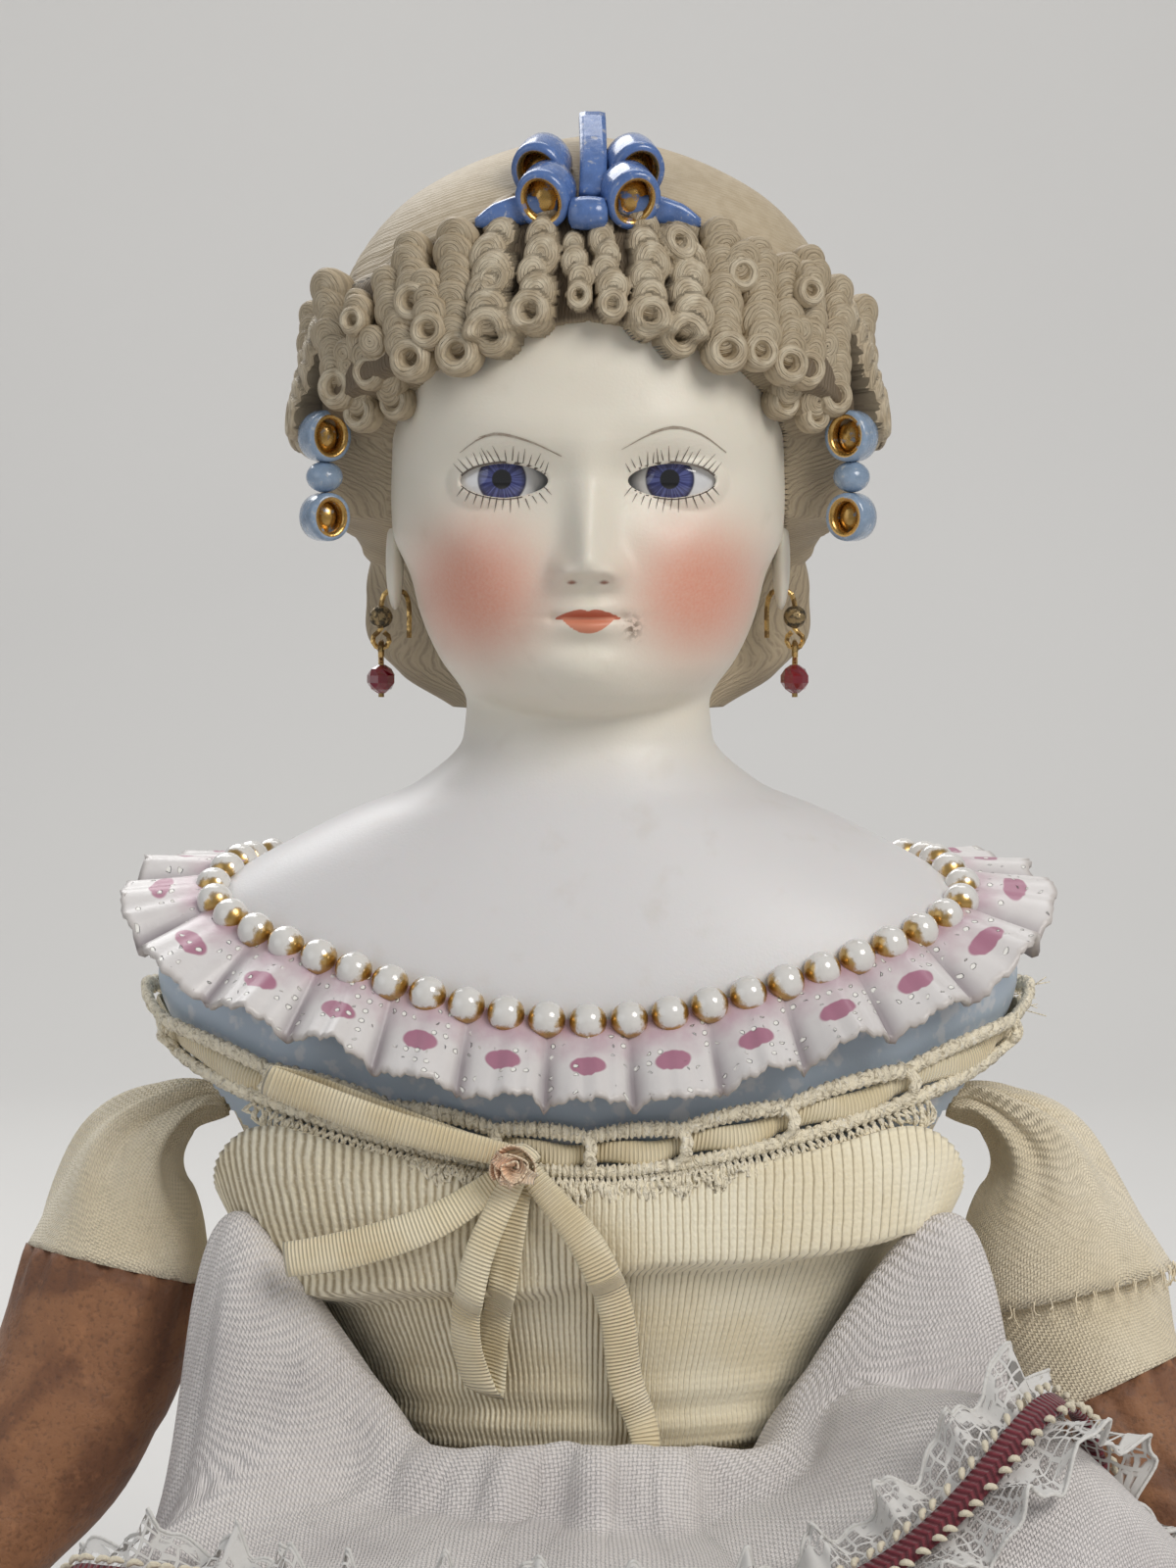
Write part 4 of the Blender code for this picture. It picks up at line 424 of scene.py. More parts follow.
# Upper edge of the curls and of the locks under them: azimuth from the front in degrees, height
BAND_TOP = (
    (0, 0.2440), (20, 0.2455), (45, 0.2405), (62, 0.2360),
    (85, 0.2335), (110, 0.2230), (180, 0.2210),
)
LOCKS_TOP = ((0, 0.2145), (80, 0.2145), (104, 0.2150), (116, 0.2215), (180, 0.2215))
HAIR_CAP_Z = 0.2520
CURL_SIZE = 1.28
RINGLET_SIZE = 0.00112
TURN_SPACING = 0.66
HAIR_ARC_RADIUS = 0.0365
CURL_STRANDS = 4.4
PLAIN_CURL_RADIUS = 0.0026
LOCK_BREADTH = 0.0062
LOCK_WAVE_LENGTH = 0.0155
ROLL_Z = 0.2075
ROLL_PITCH = 0.0110
CURL_LIFT = 0.0026
SIDE_BULGE = 0.0016
COMB_LINES = 30


# Materials


class Look:
    """A procedural material that is put together node by node."""

    def __init__(self, name, roughness, **constants):
        self.material = bpy.data.materials.new(name)
        self.material.use_nodes = True
        self.tree = self.material.node_tree
        self.shader = self.tree.nodes["Principled BSDF"]
        self.shader.inputs["Roughness"].default_value = roughness
        self.normal = None
        for socket, value in constants.items():
            self.shader.inputs[socket.replace("_", " ")].default_value = value

    def node(self, kind, **settings):
        made = self.tree.nodes.new("ShaderNode" + kind)
        for setting, value in settings.items():
            setattr(made, setting, value)
        return made

    def feed(self, socket, value):
        if isinstance(value, bpy.types.NodeSocket):
            self.tree.links.new(value, socket)
        elif socket.type == "RGBA":
            socket.default_value = (*value, 1.0)
        else:
            socket.default_value = value

    def maths(self, operation, *values):
        made = self.node("Math", operation=operation)
        for socket, value in zip(made.inputs, values):
            self.feed(socket, value)
        return made.outputs[0]

    def field(self, name):
        return self.node("Attribute", attribute_name=name).outputs["Fac"]

    def times(self, first, second):
        return self.maths("MULTIPLY", first, second)

    def length(self, across, up):
        """How far a point is from the middle."""
        return self.maths("SQRT", self.maths("ADD", self.times(across, across), self.times(up, up)))

    def from_middle(self, value):
        """-0.5 to 0.5 over each whole step of a value."""
        return self.maths("SUBTRACT", self.maths("FRACT", value), 0.5)

    def place(self):
        return self.node("TexCoord").outputs["Object"]

    def noise(self, size, detail=2.0, warp=0.0):
        """Cloudy variation with features of the given size in metres, from 0 to 1."""
        made = self.node("TexNoise")
        made.inputs["Scale"].default_value = 1.0 / size
        made.inputs["Detail"].default_value = detail
        made.inputs["Distortion"].default_value = warp
        self.feed(made.inputs["Vector"], self.place())
        return made.outputs["Fac"]

    def step(self, value, low, high):
        """0 below low, 1 above high and smooth between them; low may be the larger."""
        made = self.node("MapRange", interpolation_type="SMOOTHSTEP")
        for socket, number in (("From Min", low), ("From Max", high)):
            made.inputs[socket].default_value = number
        self.feed(made.inputs["Value"], value)
        return made.outputs[0]

    def wave(self, value, per_unit):
        """A wave from 0 to 1 along a value."""
        turned = self.maths("SINE", self.times(value, 2 * math.pi * per_unit))
        return self.maths("MULTIPLY_ADD", turned, 0.5, 0.5)

    def mix(self, share, under, over):
        """The colour under, with the colour over it as far as the share goes."""
        made = self.node("Mix", data_type="RGBA")
        self.feed(made.inputs[0], share)
        self.feed(made.inputs[6], under)
        self.feed(made.inputs[7], over)
        return made.outputs[2]

    def stain(self, base, where, strength, over):
        """The base with another colour over it, at the strength where the value is 1."""
        return self.mix(self.times(where, strength), base, over)

    def colour(self, value):
        self.feed(self.shader.inputs["Base Color"], value)
        return self

    def rough(self, value):
        self.feed(self.shader.inputs["Roughness"], value)
        return self

    def bump(self, height, depth):
        """Adds relief of the given depth in metres."""
        made = self.node("Bump")
        made.inputs["Strength"].default_value = 1.0
        made.inputs["Distance"].default_value = depth
        self.feed(made.inputs["Height"], height)
        if self.normal is not None:
            self.feed(made.inputs["Normal"], self.normal)
        self.normal = made.outputs[0]
        self.feed(self.shader.inputs["Normal"], self.normal)
        return self


def share_between(look, value, low, high):
    """The value, squeezed to lie between two numbers."""
    return look.maths("MULTIPLY_ADD", value, high - low, low)


# Smooth curves and sections of the CAD


def curve_through(knots, at, column=1):
    """A smooth curve through the knots that never overshoots them, read at one or more heights."""
    rows = np.array(knots, float)
    x, y = rows[:, 0], rows[:, column]
    step = np.diff(x)
    slope = np.diff(y) / step
    tangent = np.zeros_like(y)
    tangent[0], tangent[-1] = slope[0], slope[-1]
    same = slope[:-1] * slope[1:] > 0
    safe = np.where(same, slope[:-1] + slope[1:], 1.0)
    tangent[1:-1] = np.where(same, 2 * slope[:-1] * slope[1:] / safe, 0.0)
    at = np.clip(np.asarray(at, float), x[0], x[-1])
    i = np.clip(np.searchsorted(x, at) - 1, 0, len(x) - 2)
    t = (at - x[i]) / step[i]
    return (
        (2 * t**3 - 3 * t**2 + 1) * y[i]
        + (t**3 - 2 * t**2 + t) * step[i] * tangent[i]
        + (3 * t**2 - 2 * t**3) * y[i + 1]
        + (t**3 - t**2) * step[i] * tangent[i + 1]
    )


def section_radius(stations, theta, z):
    """Distance from the axis to the outline at azimuth theta, where 0 is the front and +X is positive."""
    width = curve_through(stations, z, 1)
    depth = np.where(np.cos(theta) > 0, curve_through(stations, z, 2), curve_through(stations, z, 3))
    across = np.abs(np.sin(theta)) / width
    along = np.abs(np.cos(theta)) / depth
    return (across**FULLNESS + along**FULLNESS) ** (-1 / FULLNESS)


def body_radius(theta, z):
    return section_radius(BODY, theta, z)


def lining_radius(theta, z, wall):
    return body_radius(theta, z + wall) - wall


def skin_radius(theta, z):
    head = section_radius(HEAD, theta, z)
    return (head**JAW_BLEND + body_radius(theta, z) ** JAW_BLEND) ** (1 / JAW_BLEND)


def smooth_step(low, high, value):
    t = np.clip((value - low) / (high - low), 0, 1)
    return t * t * (3 - 2 * t)


def hair_cover(theta, z):
    """1 where hair covers the head, 0 on bare skin."""
    rows = np.array(HAIR_EDGE)
    edge = np.interp(z, rows[:, 0], rows[:, 1])
    t = np.clip((np.degrees(np.abs(theta)) - edge) / HAIR_BLEND_DEG + 0.5, 0, 1)
    return t * t * (3 - 2 * t) * (z > CHIN_Z - 0.003)


def at_radius(theta, z, radius):
    theta, z = np.asarray(theta, float), np.asarray(z, float)
    return np.stack([radius * np.sin(theta), -radius * np.cos(theta), z + 0 * theta], axis=-1)


def spot(x, z, across, height, breadth, tall):
    """A soft spot, 1 in its middle."""
    return np.exp(-(((x - across) / breadth) ** 2) - ((z - height) / tall) ** 2)


def hump(value, centre, breadth):
    """A soft rise along one value, 1 at its centre."""
    return np.exp(-(((value - centre) / breadth) ** 2))


def face_relief(x, z):
    """How far the modelled face stands out in front of the plain head."""
    relief = np.zeros_like(x)
    for across, height, breadth, tall, out in FACE_FORMS:
        for side in (-1, 1) if across else (1,):
            relief += out * spot(x, z, side * across, height, breadth, tall)
    ridge = curve_through(NOSE_RIDGE, z, 1)
    return relief + ridge * np.exp(-((x / curve_through(NOSE_RIDGE, z, 2)) ** 2))


def lid_front(x, z):
    """How far forward the lids lie over the eyeballs, and where they do."""
    ball = EYE_RADIUS + LID_THICKNESS
    flat = (np.abs(x) - EYE_X) ** 2 + (z - EYE_Z) ** 2
    return EYE_CENTRE_Y - np.sqrt(np.maximum(ball**2 - flat, 0)), flat < ball**2


def with_face(points):
    """Moves the front of the head forward into the face, and rounds the lids over the eyes."""
    points = points.copy()
    front = np.clip((-points[..., 1] - 0.008) / 0.008, 0, 1)
    x, z = points[..., 0], points[..., 2]
    points[..., 1] -= front * face_relief(x, z)
    lid, over_eye = lid_front(x, z)
    lidded = over_eye & (points[..., 1] < 0)
    points[..., 1] = np.where(lidded, np.minimum(points[..., 1], lid), points[..., 1])
    return points


def on_face(x, z, lift=0.0):
    """Points of the face at the given places across and up, lifted a little forward."""
    theta = np.radians(np.linspace(-85, 85, 681))
    made = []
    for across, height in zip(np.atleast_1d(x), np.atleast_1d(z)):
        row = with_face(at_radius(theta, np.full_like(theta, height), skin_radius(theta, height)))
        depth = np.interp(across, row[:, 0], row[:, 1])
        made.append((across, depth - lift, height))
    return np.array(made)


# Mesh makers


def unit(vectors):
    vectors = np.asarray(vectors, float)
    return vectors / np.maximum(np.linalg.norm(vectors, axis=-1, keepdims=True), 1e-12)


def spline_through(rows, steps):
    """The rows with more put smoothly between them, so that each is steps from the next."""
    rows = np.asarray(rows, float)
    ends = np.vstack([2 * rows[0] - rows[1], rows, 2 * rows[-1] - rows[-2]])
    line = []
    for a, b, c, d in zip(ends, ends[1:], ends[2:], ends[3:]):
        for t in np.linspace(0, 1, steps, endpoint=False):
            bend = (2 * a - 5 * b + 4 * c - d) * t**2 + (3 * b - a - 3 * c + d) * t**3
            line.append(0.5 * (2 * b + (c - a) * t + bend))
    return np.array(line + [rows[-1]])


def smooth_route(points, count):
    """A smooth line through a few points, sampled evenly along its length."""
    line = spline_through(points, 24)
    along = np.concatenate([[0], np.cumsum(np.linalg.norm(np.diff(line, axis=0), axis=1))])
    at = np.linspace(0, along[-1], count)
    return np.stack([np.interp(at, along, column) for column in line.T], axis=-1)


def grid_faces(rows, columns, wrap):
    """Quads of a grid; with wrap its last column meets its first."""
    i = np.arange(rows - 1)[:, None]
    j = np.arange(columns if wrap else columns - 1)[None, :]
    k = (j + 1) % columns
    low, high = i * columns, (i + 1) * columns
    return np.stack([low + j, low + k, high + k, high + j], axis=-1)


def add_field(mesh, field, values):
    made = mesh.attributes.new(field, "FLOAT", "POINT")
    made.data.foreach_set("value", np.ravel(values).astype(np.float32))


def mesh_of(name, points, faces, fields=None):
    """A smooth mesh with named numbers on its points."""
    mesh = bpy.data.meshes.new(name)
    mesh.from_pydata(np.reshape(points, (-1, 3)).tolist(), [], np.reshape(faces, (-1, 4)).tolist())
    for field, values in (fields or {}).items():
        add_field(mesh, field, values)
    mesh.shade_smooth()
    return mesh


def grid_mesh(name, points, wrap=False, keep=None, fields=None, flip=False):
    """A mesh on a grid of points, of which only the quads in keep are made."""
    faces = grid_faces(points.shape[0], points.shape[1], wrap)
    if flip:
        faces = faces[..., ::-1]
    if keep is not None:
        faces = faces[keep[: faces.shape[0], : faces.shape[1]]]
    return without_loose_points(mesh_of(name, points, faces, fields))


def without_loose_points(mesh):
    work = bmesh.new()
    work.from_mesh(mesh)
    bmesh.ops.delete(work, geom=[v for v in work.verts if not v.link_faces], context="VERTS")
    work.to_mesh(mesh)
    work.free()
    return mesh


def joined(name, meshes):
    work = bmesh.new()
    for mesh in meshes:
        work.from_mesh(mesh)
        bpy.data.meshes.remove(mesh)
    made = bpy.data.meshes.new(name)
    work.to_mesh(made)
    work.free()
    return made


def ball_mesh(name, centre, radii, segments=24, rings=16, fields=None):
    work = bmesh.new()
    bmesh.ops.create_uvsphere(work, u_segments=segments, v_segments=rings, radius=1.0)
    bmesh.ops.scale(work, vec=Vector(radii), verts=work.verts)
    bmesh.ops.translate(work, vec=Vector(centre), verts=work.verts)
    mesh = bpy.data.meshes.new(name)
    work.to_mesh(mesh)
    work.free()
    mesh.shade_smooth()
    for field, value in (fields or {}).items():
        add_field(mesh, field, np.full(len(mesh.vertices), value))
    return mesh


def ribbon_mesh(name, centres, across, width, thickness, closed=False, rise=0.0):
    """A ribbon with rounded edges, with the fields side, 1 on its front and 0 behind, along and rim."""
    centres = np.asarray(centres, float)
    if closed:
        along = np.roll(centres, -1, axis=0) - np.roll(centres, 1, axis=0)
    else:
        along = np.gradient(centres, axis=0)
    across = unit(np.broadcast_to(across, centres.shape))
    through = unit(np.cross(unit(along), across))
    width = np.broadcast_to(np.asarray(width, float), (len(centres),))
    section, side, rim = [], [], []
    for across_share, through_share in RIBBON_SECTION:
        bowed = rise * (1 - across_share**2)
        offset = (0.5 * thickness * through_share + bowed) * through
        section.append(centres + 0.5 * width[:, None] * across_share * across + offset)
        side.append(np.full(len(centres), 0.5 + 0.5 * through_share))
        rim.append(np.full(len(centres), abs(across_share)))
    points = np.stack(section, axis=1)
    run = np.concatenate([[0], np.cumsum(np.linalg.norm(np.diff(centres, axis=0), axis=1))])
    run = np.broadcast_to(run[:, None], points.shape[:2])
    fields = {"side": np.stack(side, axis=1), "rim": np.stack(rim, axis=1), "along": run}
    if closed:
        points = np.concatenate([points, points[:1]])
        fields = {field: np.concatenate([values, values[:1]]) for field, values in fields.items()}
    return capped(grid_mesh(name, points, wrap=True, fields=fields))


def capped(mesh):
    """Closes the open ends of a tube or ribbon and turns its faces outwards."""
    work = bmesh.new()
    work.from_mesh(mesh)
    bmesh.ops.remove_doubles(work, verts=work.verts, dist=1e-7)
    bmesh.ops.holes_fill(work, edges=[e for e in work.edges if e.is_boundary])
    bmesh.ops.recalc_face_normals(work, faces=work.faces)
    work.to_mesh(mesh)
    work.free()
    mesh.shade_smooth()
    return mesh


def tube_mesh(name, points, radius, sides=10):
    """A round wire or thread along a line of points."""
    points = np.asarray(points, float)
    along = unit(np.gradient(points, axis=0))
    side = unit(np.cross(along[0], (0.31, 0.83, 0.47)))
    turn = np.linspace(0, 2 * math.pi, sides, endpoint=False)
    radius = np.broadcast_to(np.asarray(radius, float), (len(points),))
    rings = []
    for point, way, size in zip(points, along, radius):
        side = unit(side - np.dot(side, way) * way)
        other = np.cross(way, side)
        rings.append(point + size * (np.cos(turn)[:, None] * side + np.sin(turn)[:, None] * other))
    return capped(grid_mesh(name, np.array(rings), wrap=True))


def piece(name, mesh, look, replaces=(), body="doll"):
    """A finished piece that rides on its CAD body."""
    mesh.name = name
    obj = bpy.data.objects.new(name, mesh)
    if not mesh.materials:
        mesh.materials.append(look.material)
    bpy.context.scene.collection.objects.link(obj)
    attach(obj, body)
    if replaces:
        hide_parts(*replaces)
    return obj


# Bisque: face, neck and shoulders


def bisque_look():
    """Matt tinted bisque with painted cheeks and lips, a pale blue painted yoke, and a painted bluish light
    on the neck and shoulders.
    """
    look = Look("bisque", 0.42, Subsurface_Weight=0.06, Subsurface_Scale=0.0012)
    cloud = look.noise(0.018, 3.0)
    speckle = look.noise(0.0004, 1.0)
    base = look.mix(cloud, (0.74, 0.69, 0.585), (0.79, 0.745, 0.645))
    # Painted light: a lilac tint of the light laid over the neck and shoulders.
    base = look.mix(look.field("painted_cool_light"), base, (0.68, 0.675, 0.70))
    grime = look.step(look.noise(0.006, 5.0), 0.56, 0.80)
    base = look.stain(base, grime, 0.22, (0.52, 0.45, 0.36))
    blush = look.times(look.field("blush"), share_between(look, speckle, 0.75, 1.1))
    base = look.mix(blush, base, (0.70, 0.245, 0.155))
    base = look.mix(look.step(look.field("upper_lip"), 0.35, 0.65), base, (0.50, 0.135, 0.075))
    base = look.mix(look.step(look.field("lower_lip"), 0.35, 0.65), base, (0.66, 0.25, 0.15))
    base = look.mix(look.step(look.field("nostril"), 0.35, 0.95), base, (0.33, 0.15, 0.10))
    scuff = look.times(look.field("scuff"), look.step(look.noise(0.0007, 4.0), 0.44, 0.56))
    base = look.mix(scuff, base, (0.16, 0.10, 0.06))
    worn = look.step(look.noise(0.003, 4.0), 0.36, 0.46)
    blue = look.times(look.step(look.field("yoke"), 0.4, 0.6), share_between(look, worn, 0.5, 1.0))
    base = look.mix(blue, base, (0.42, 0.495, 0.58))
    look.colour(base)
    look.rough(share_between(look, speckle, 0.36, 0.50))
    look.bump(speckle, 0.00002)
    return look


def skin_grid():
    """Azimuths and heights of the skin, closest together on the face."""
    front = np.radians(np.linspace(-96, 96, 272))
    back = np.radians(np.linspace(96, 264, 46)[1:-1])
    heights = [
        np.arange(PLATE_BOTTOM_Z, FACE_LOW_Z, 0.0009),
        np.arange(FACE_LOW_Z, FACE_HIGH_Z, 0.00035),
        np.arange(FACE_HIGH_Z, SKIN_TOP_Z, 0.001),
    ]
    return np.meshgrid(np.concatenate([front, back]), np.concatenate(heights))


def eye_measure(x, z):
    """Below 1 inside an eye opening, 1 on its edge."""
    across = np.abs(np.abs(x) - EYE_X) / (0.5 * EYE_OPENING_WIDTH)
    up = np.abs(z - EYE_Z) / (0.5 * EYE_OPENING_HEIGHT)
    return across**1.6 + up**2


def face_fields(points):
    """Where the cheeks, lips, nostrils and yoke are painted, a scuff beside the mouth, and where a bluish
    light is painted on the neck and shoulders.
    """
    x, y, z = points[..., 0], points[..., 1], points[..., 2]
    front = np.clip(-y / 0.012, 0, 1)
    cheek = ((np.abs(x) - CHEEK_X) / CHEEK_RADIUS) ** 2 + ((z - CHEEK_Z) / CHEEK_RADIUS) ** 2
    blush = 0.84 * np.exp(-(cheek**1.35)) * front
    bow = np.clip(1 - (np.abs(x) / LIPS_HALF_WIDTH) ** 2, 0, 1)
    upper_edge = MOUTH_Z + UPPER_LIP_HEIGHT * bow * (1 - 0.25 * hump(x, 0, 0.0006))
    pout = np.clip(1 - (np.abs(x) / (0.82 * LIPS_HALF_WIDTH)) ** 2, 0, 1)
    lower_edge = MOUTH_Z - LOWER_LIP_HEIGHT * pout
    beside = np.abs(x) < LIPS_HALF_WIDTH
    upper = np.clip((upper_edge - z) / LIP_EDGE_SOFTNESS + 0.5, 0, 1) * (z > MOUTH_Z - 0.0001) * beside
    lower = np.clip((z - lower_edge) / LIP_EDGE_SOFTNESS + 0.5, 0, 1) * (z <= MOUTH_Z) * beside
    nostril = spot(np.abs(x), z, 0.0022, NOSE_TIP_Z - 0.0026, 0.0009, 0.00042)
    theta = np.arctan2(x, -y)
    return {
        "blush": blush,
        "upper_lip": upper * front,
        "lower_lip": lower * front,
        "nostril": nostril * front,
        "scuff": 0.9 * spot(x, z, SCUFF_X, MOUTH_Z - 0.0013, 0.0010, 0.0014) * front,
        "yoke": np.clip((neckline_z(theta) - 0.001 - z) / 0.001, 0, 1),
        # Painted bluish light, fading in below the chin.
        "painted_cool_light": smooth_step(0.178, 0.162, z) * 0.8,
    }


def shaped_eye_opening(mesh):
    """Opens the lids, moves the rim onto the almond outline and turns it in to the eyeball."""
    work = bmesh.new()
    work.from_mesh(mesh)

    def near_eye(vert, reach):
        return vert.co.y < FACE_FRONT_Y and eye_measure(vert.co.x, vert.co.z) < reach

    bmesh.ops.delete(work, geom=[v for v in work.verts if near_eye(v, 1)], context="VERTS")
    rim = [e for e in work.edges if e.is_boundary and near_eye(e.verts[0], 2.2)]
    for vert in {v for e in rim for v in e.verts}:
        side = 1 if vert.co.x > 0 else -1
        across, up = vert.co.x - side * EYE_X, vert.co.z - EYE_Z
        share = 1.0
        for _ in range(12):
            share *= eye_measure(side * EYE_X + across * share, EYE_Z + up * share) ** -0.5
        vert.co.x, vert.co.z = side * EYE_X + across * share, EYE_Z + up * share
        depth, _ = lid_front(np.array(vert.co.x), np.array(vert.co.z))
        vert.co.y = min(vert.co.y, float(depth))
    for inwards in (0.00015, 0.0022):
        made = bmesh.ops.extrude_edge_only(work, edges=rim)["geom"]
        rim = [e for e in made if isinstance(e, bmesh.types.BMEdge)]
        for vert in {v for e in rim for v in e.verts}:
            vert.co.y += inwards
    work.to_mesh(mesh)
    work.free()
    mesh.shade_smooth()
    return mesh


def bisque_skin():
    theta, z = skin_grid()
    points = with_face(at_radius(theta, z, skin_radius(theta, z)))
    x, y = points[..., 0], points[..., 1]
    armhole = (np.abs(x) > ARMHOLE_INNER_X) & (y**2 + (z - PLATE_BOTTOM_Z) ** 2 < ARMHOLE_RADIUS**2)
    hidden = hair_cover(theta, z) > 0.97
    keep = ~(armhole | hidden)
    mesh = grid_mesh("bisque_skin", points, wrap=True, keep=keep, fields=face_fields(points))
    mesh = shaped_eye_opening(mesh)
    lobes = []
    for side in (-1, 1):
        lobes.append(ball_mesh("lobe", (side * LOBE_X, LOBE_Y, EAR_HOLE_Z + 0.0040), LOBE_RADII, 24, 20))
    look = bisque_look()
    piece("bisque_skin", mesh, look, ["shoulder_head"])
    piece("ear_lobes", joined("ear_lobes", lobes), look, ["shoulder_head"])


# Painted brows and lashes


def paint_look(name, colour, faded_share):
    look = Look(name, 0.5)
    faded = look.step(look.noise(0.0012, 3.0), 0.25, 0.75)
    lighter = tuple(between(c, base, faded_share) for c, base in zip(colour, (0.62, 0.58, 0.50)))
    look.colour(look.mix(faded, colour, lighter))
    return look


def face_stroke(points, widths, lift=0.00010):
    """A painted stroke laid on the face: across and height of its points, in metres."""
    route = smooth_route(points, 12)
    widths = np.interp(np.linspace(0, 1, 12), np.linspace(0, 1, len(widths)), widths)
    along = unit(np.gradient(route, axis=0))
    normal = np.stack([-along[:, 1], along[:, 0]], axis=-1)
    rows = []
    for share in (-0.5, 0.0, 0.5):
        line = route + share * widths[:, None] * normal
        rows.append(on_face(line[:, 0], line[:, 1], lift))
    return grid_mesh("stroke", np.array(rows))


def brows():
    meshes = []
    for knots in BROWS:
        meshes.append(face_stroke(knots, BROW_WIDTHS))
        beside = tuple((x, z + 0.0004 - 0.00012 * k) for k, (x, z) in enumerate(knots))
        meshes.append(face_stroke(beside[1:], BESIDE_BROW_WIDTHS))
    paint = paint_look("brow_paint", (0.27, 0.21, 0.155), 0.45)
    piece("painted_brows", joined("painted_brows", meshes), paint)


def lid_edge(side, sign, share, beyond):
    """A point beyond the edge of an eye opening: over it where sign is 1, under it where sign is -1."""
    up = 0.5 * EYE_OPENING_HEIGHT * (1 - np.abs(share) ** 1.6) ** 0.5
    return side * EYE_X + share * 0.5 * EYE_OPENING_WIDTH, EYE_Z + sign * (up + beyond)


def lash_strokes(side):
    """The painted lashes of one eye, fanned out from its middle."""
    strokes = []
    for sign, count, length in ((1, 16, 0.0021), (-1, 13, 0.0018)):
        for k in range(count):
            share = -0.92 + 1.84 * k / (count - 1)
            x, z = lid_edge(side, sign, share, 0.00005)
            sweep = (side * 0.22 + 0.16 * math.sin(5 * k)) * (sign > 0)
            lean = 0.85 * share + sweep + 0.16 * math.sin(7 * k)
            reach = length * (1 - 0.35 * share * share) * (1 + 0.15 * math.sin(3 * k))
            end = (x + lean * reach, z + sign * reach)
            middle = ((x + end[0]) / 2, (z + end[1]) / 2)
            strokes.append(face_stroke(((x, z), middle, end), LASH_WIDTHS))
    return strokes


def lashes():
    meshes = lash_strokes(-1) + lash_strokes(1)
    for side in (-1, 1):
        for sign, width in ((1, 0.00030), (-1, 0.00014)):
            knots = np.stack(lid_edge(side, sign, np.linspace(-0.97, 0.97, 11), 0.00018), axis=-1)
            meshes.append(face_stroke(knots, (width, width)))
    paint = paint_look("lash_paint", (0.075, 0.055, 0.042), 0.08)
    piece("painted_lashes", joined("painted_lashes", meshes), paint)


# Glass eyes


def eye_look():
    """A blown eye: white glass, a threaded violet-blue iris and a black pupil under clear gloss."""
    look = Look("blown_eye", 0.06, Coat_Weight=1.0, Coat_Roughness=0.03)
    split = look.node("SeparateXYZ")
    look.feed(split.inputs[0], look.place())
    x, z = split.outputs[0], split.outputs[2]
    radius = look.length(x, z)
    turn = look.maths("ARCTAN2", z, x)
    ray = look.node("CombineXYZ")
    look.feed(ray.inputs[0], look.times(look.maths("COSINE", turn), 9.0))
    look.feed(ray.inputs[1], look.times(look.maths("SINE", turn), 9.0))
    look.feed(ray.inputs[2], look.times(radius, 160.0))
    thread = look.node("TexNoise")
    thread.inputs["Scale"].default_value = 1.0
    thread.inputs["Detail"].default_value = 3.0
    look.feed(thread.inputs["Vector"], ray.outputs[0])
    threads = look.step(thread.outputs["Fac"], 0.40, 0.62)
    iris = look.mix(threads, (0.022, 0.026, 0.115), (0.080, 0.095, 0.27))
    iris = look.mix(look.step(radius, 0.0025, 0.0034), iris, (0.010, 0.010, 0.045))
    pupil = look.mix(look.step(radius, 0.00125, 0.00145), (0.003, 0.003, 0.004), iris)
    look.colour(look.mix(look.step(radius, 0.0032, 0.0035), pupil, (0.66, 0.665, 0.68)))
    return look


def eyes():
    look = eye_look()
    for side, word in ((-1, "right"), (1, "left")):
        mesh = ball_mesh("eye", (0, 0, 0), (1.12 * EYE_RADIUS, EYE_RADIUS, EYE_RADIUS), 64, 48)
        mesh.materials.append(look.material)
        obj = bpy.data.objects.new(f"blown_eye_{word}", mesh)
        obj.location = (side * EYE_X, EYE_CENTRE_Y, EYE_Z)
        obj.rotation_euler = (math.radians(-1.5), 0.0, math.radians(-2.2))
        bpy.context.scene.collection.objects.link(obj)
        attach(obj, "doll")
        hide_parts(f"glass_eye_{word}")


# Moulded hair


def hair_look():
    """Matt painted hair with fine combed lines, painted shade in their grooves and in the hollows, and pale
    rubbed wear with a painted highlight on the crests.
    """
    look = Look("moulded_hair", 0.55)
    strand = look.field("strand")
    wobble = look.maths("MULTIPLY_ADD", look.noise(0.004, 2.0), 0.9, strand)
    fine = look.wave(wobble, 1.0)
    finer = look.wave(look.maths("MULTIPLY_ADD", look.noise(0.0022, 2.0), 1.3, strand), 2.3)
    lines = look.maths("MULTIPLY_ADD", finer, 0.4, look.times(fine, 0.6))
    hollow = look.field("hollow")
    cloud = look.noise(0.010, 3.0)
    base = look.mix(cloud, (0.39, 0.31, 0.20), (0.51, 0.42, 0.29))
    # Painted shade: the grooves of the combed lines darker.
    combed = look.times(look.step(lines, 0.55, 0.1), share_between(look, look.field("band"), 0.16, 0.50))
    base = look.mix(combed, base, (0.22, 0.17, 0.115))
    # Painted shade: darker in the hollows between curls and locks.
    base = look.stain(base, hollow, 0.85, (0.115, 0.08, 0.047))
    # Rubbed wear and painted highlight: paler on the crests, and a little over the cap.
    rubbed = look.times(look.field("crest"), look.step(look.noise(0.002, 4.0), 0.35, 0.65))
    look.colour(look.mix(look.times(rubbed, 0.6), base, (0.76, 0.68, 0.52)))
    look.bump(look.times(lines, share_between(look, look.field("band"), 0.35, 1.0)), 0.00016)
    look.bump(look.noise(0.0004, 1.0), 0.00002)
    return look


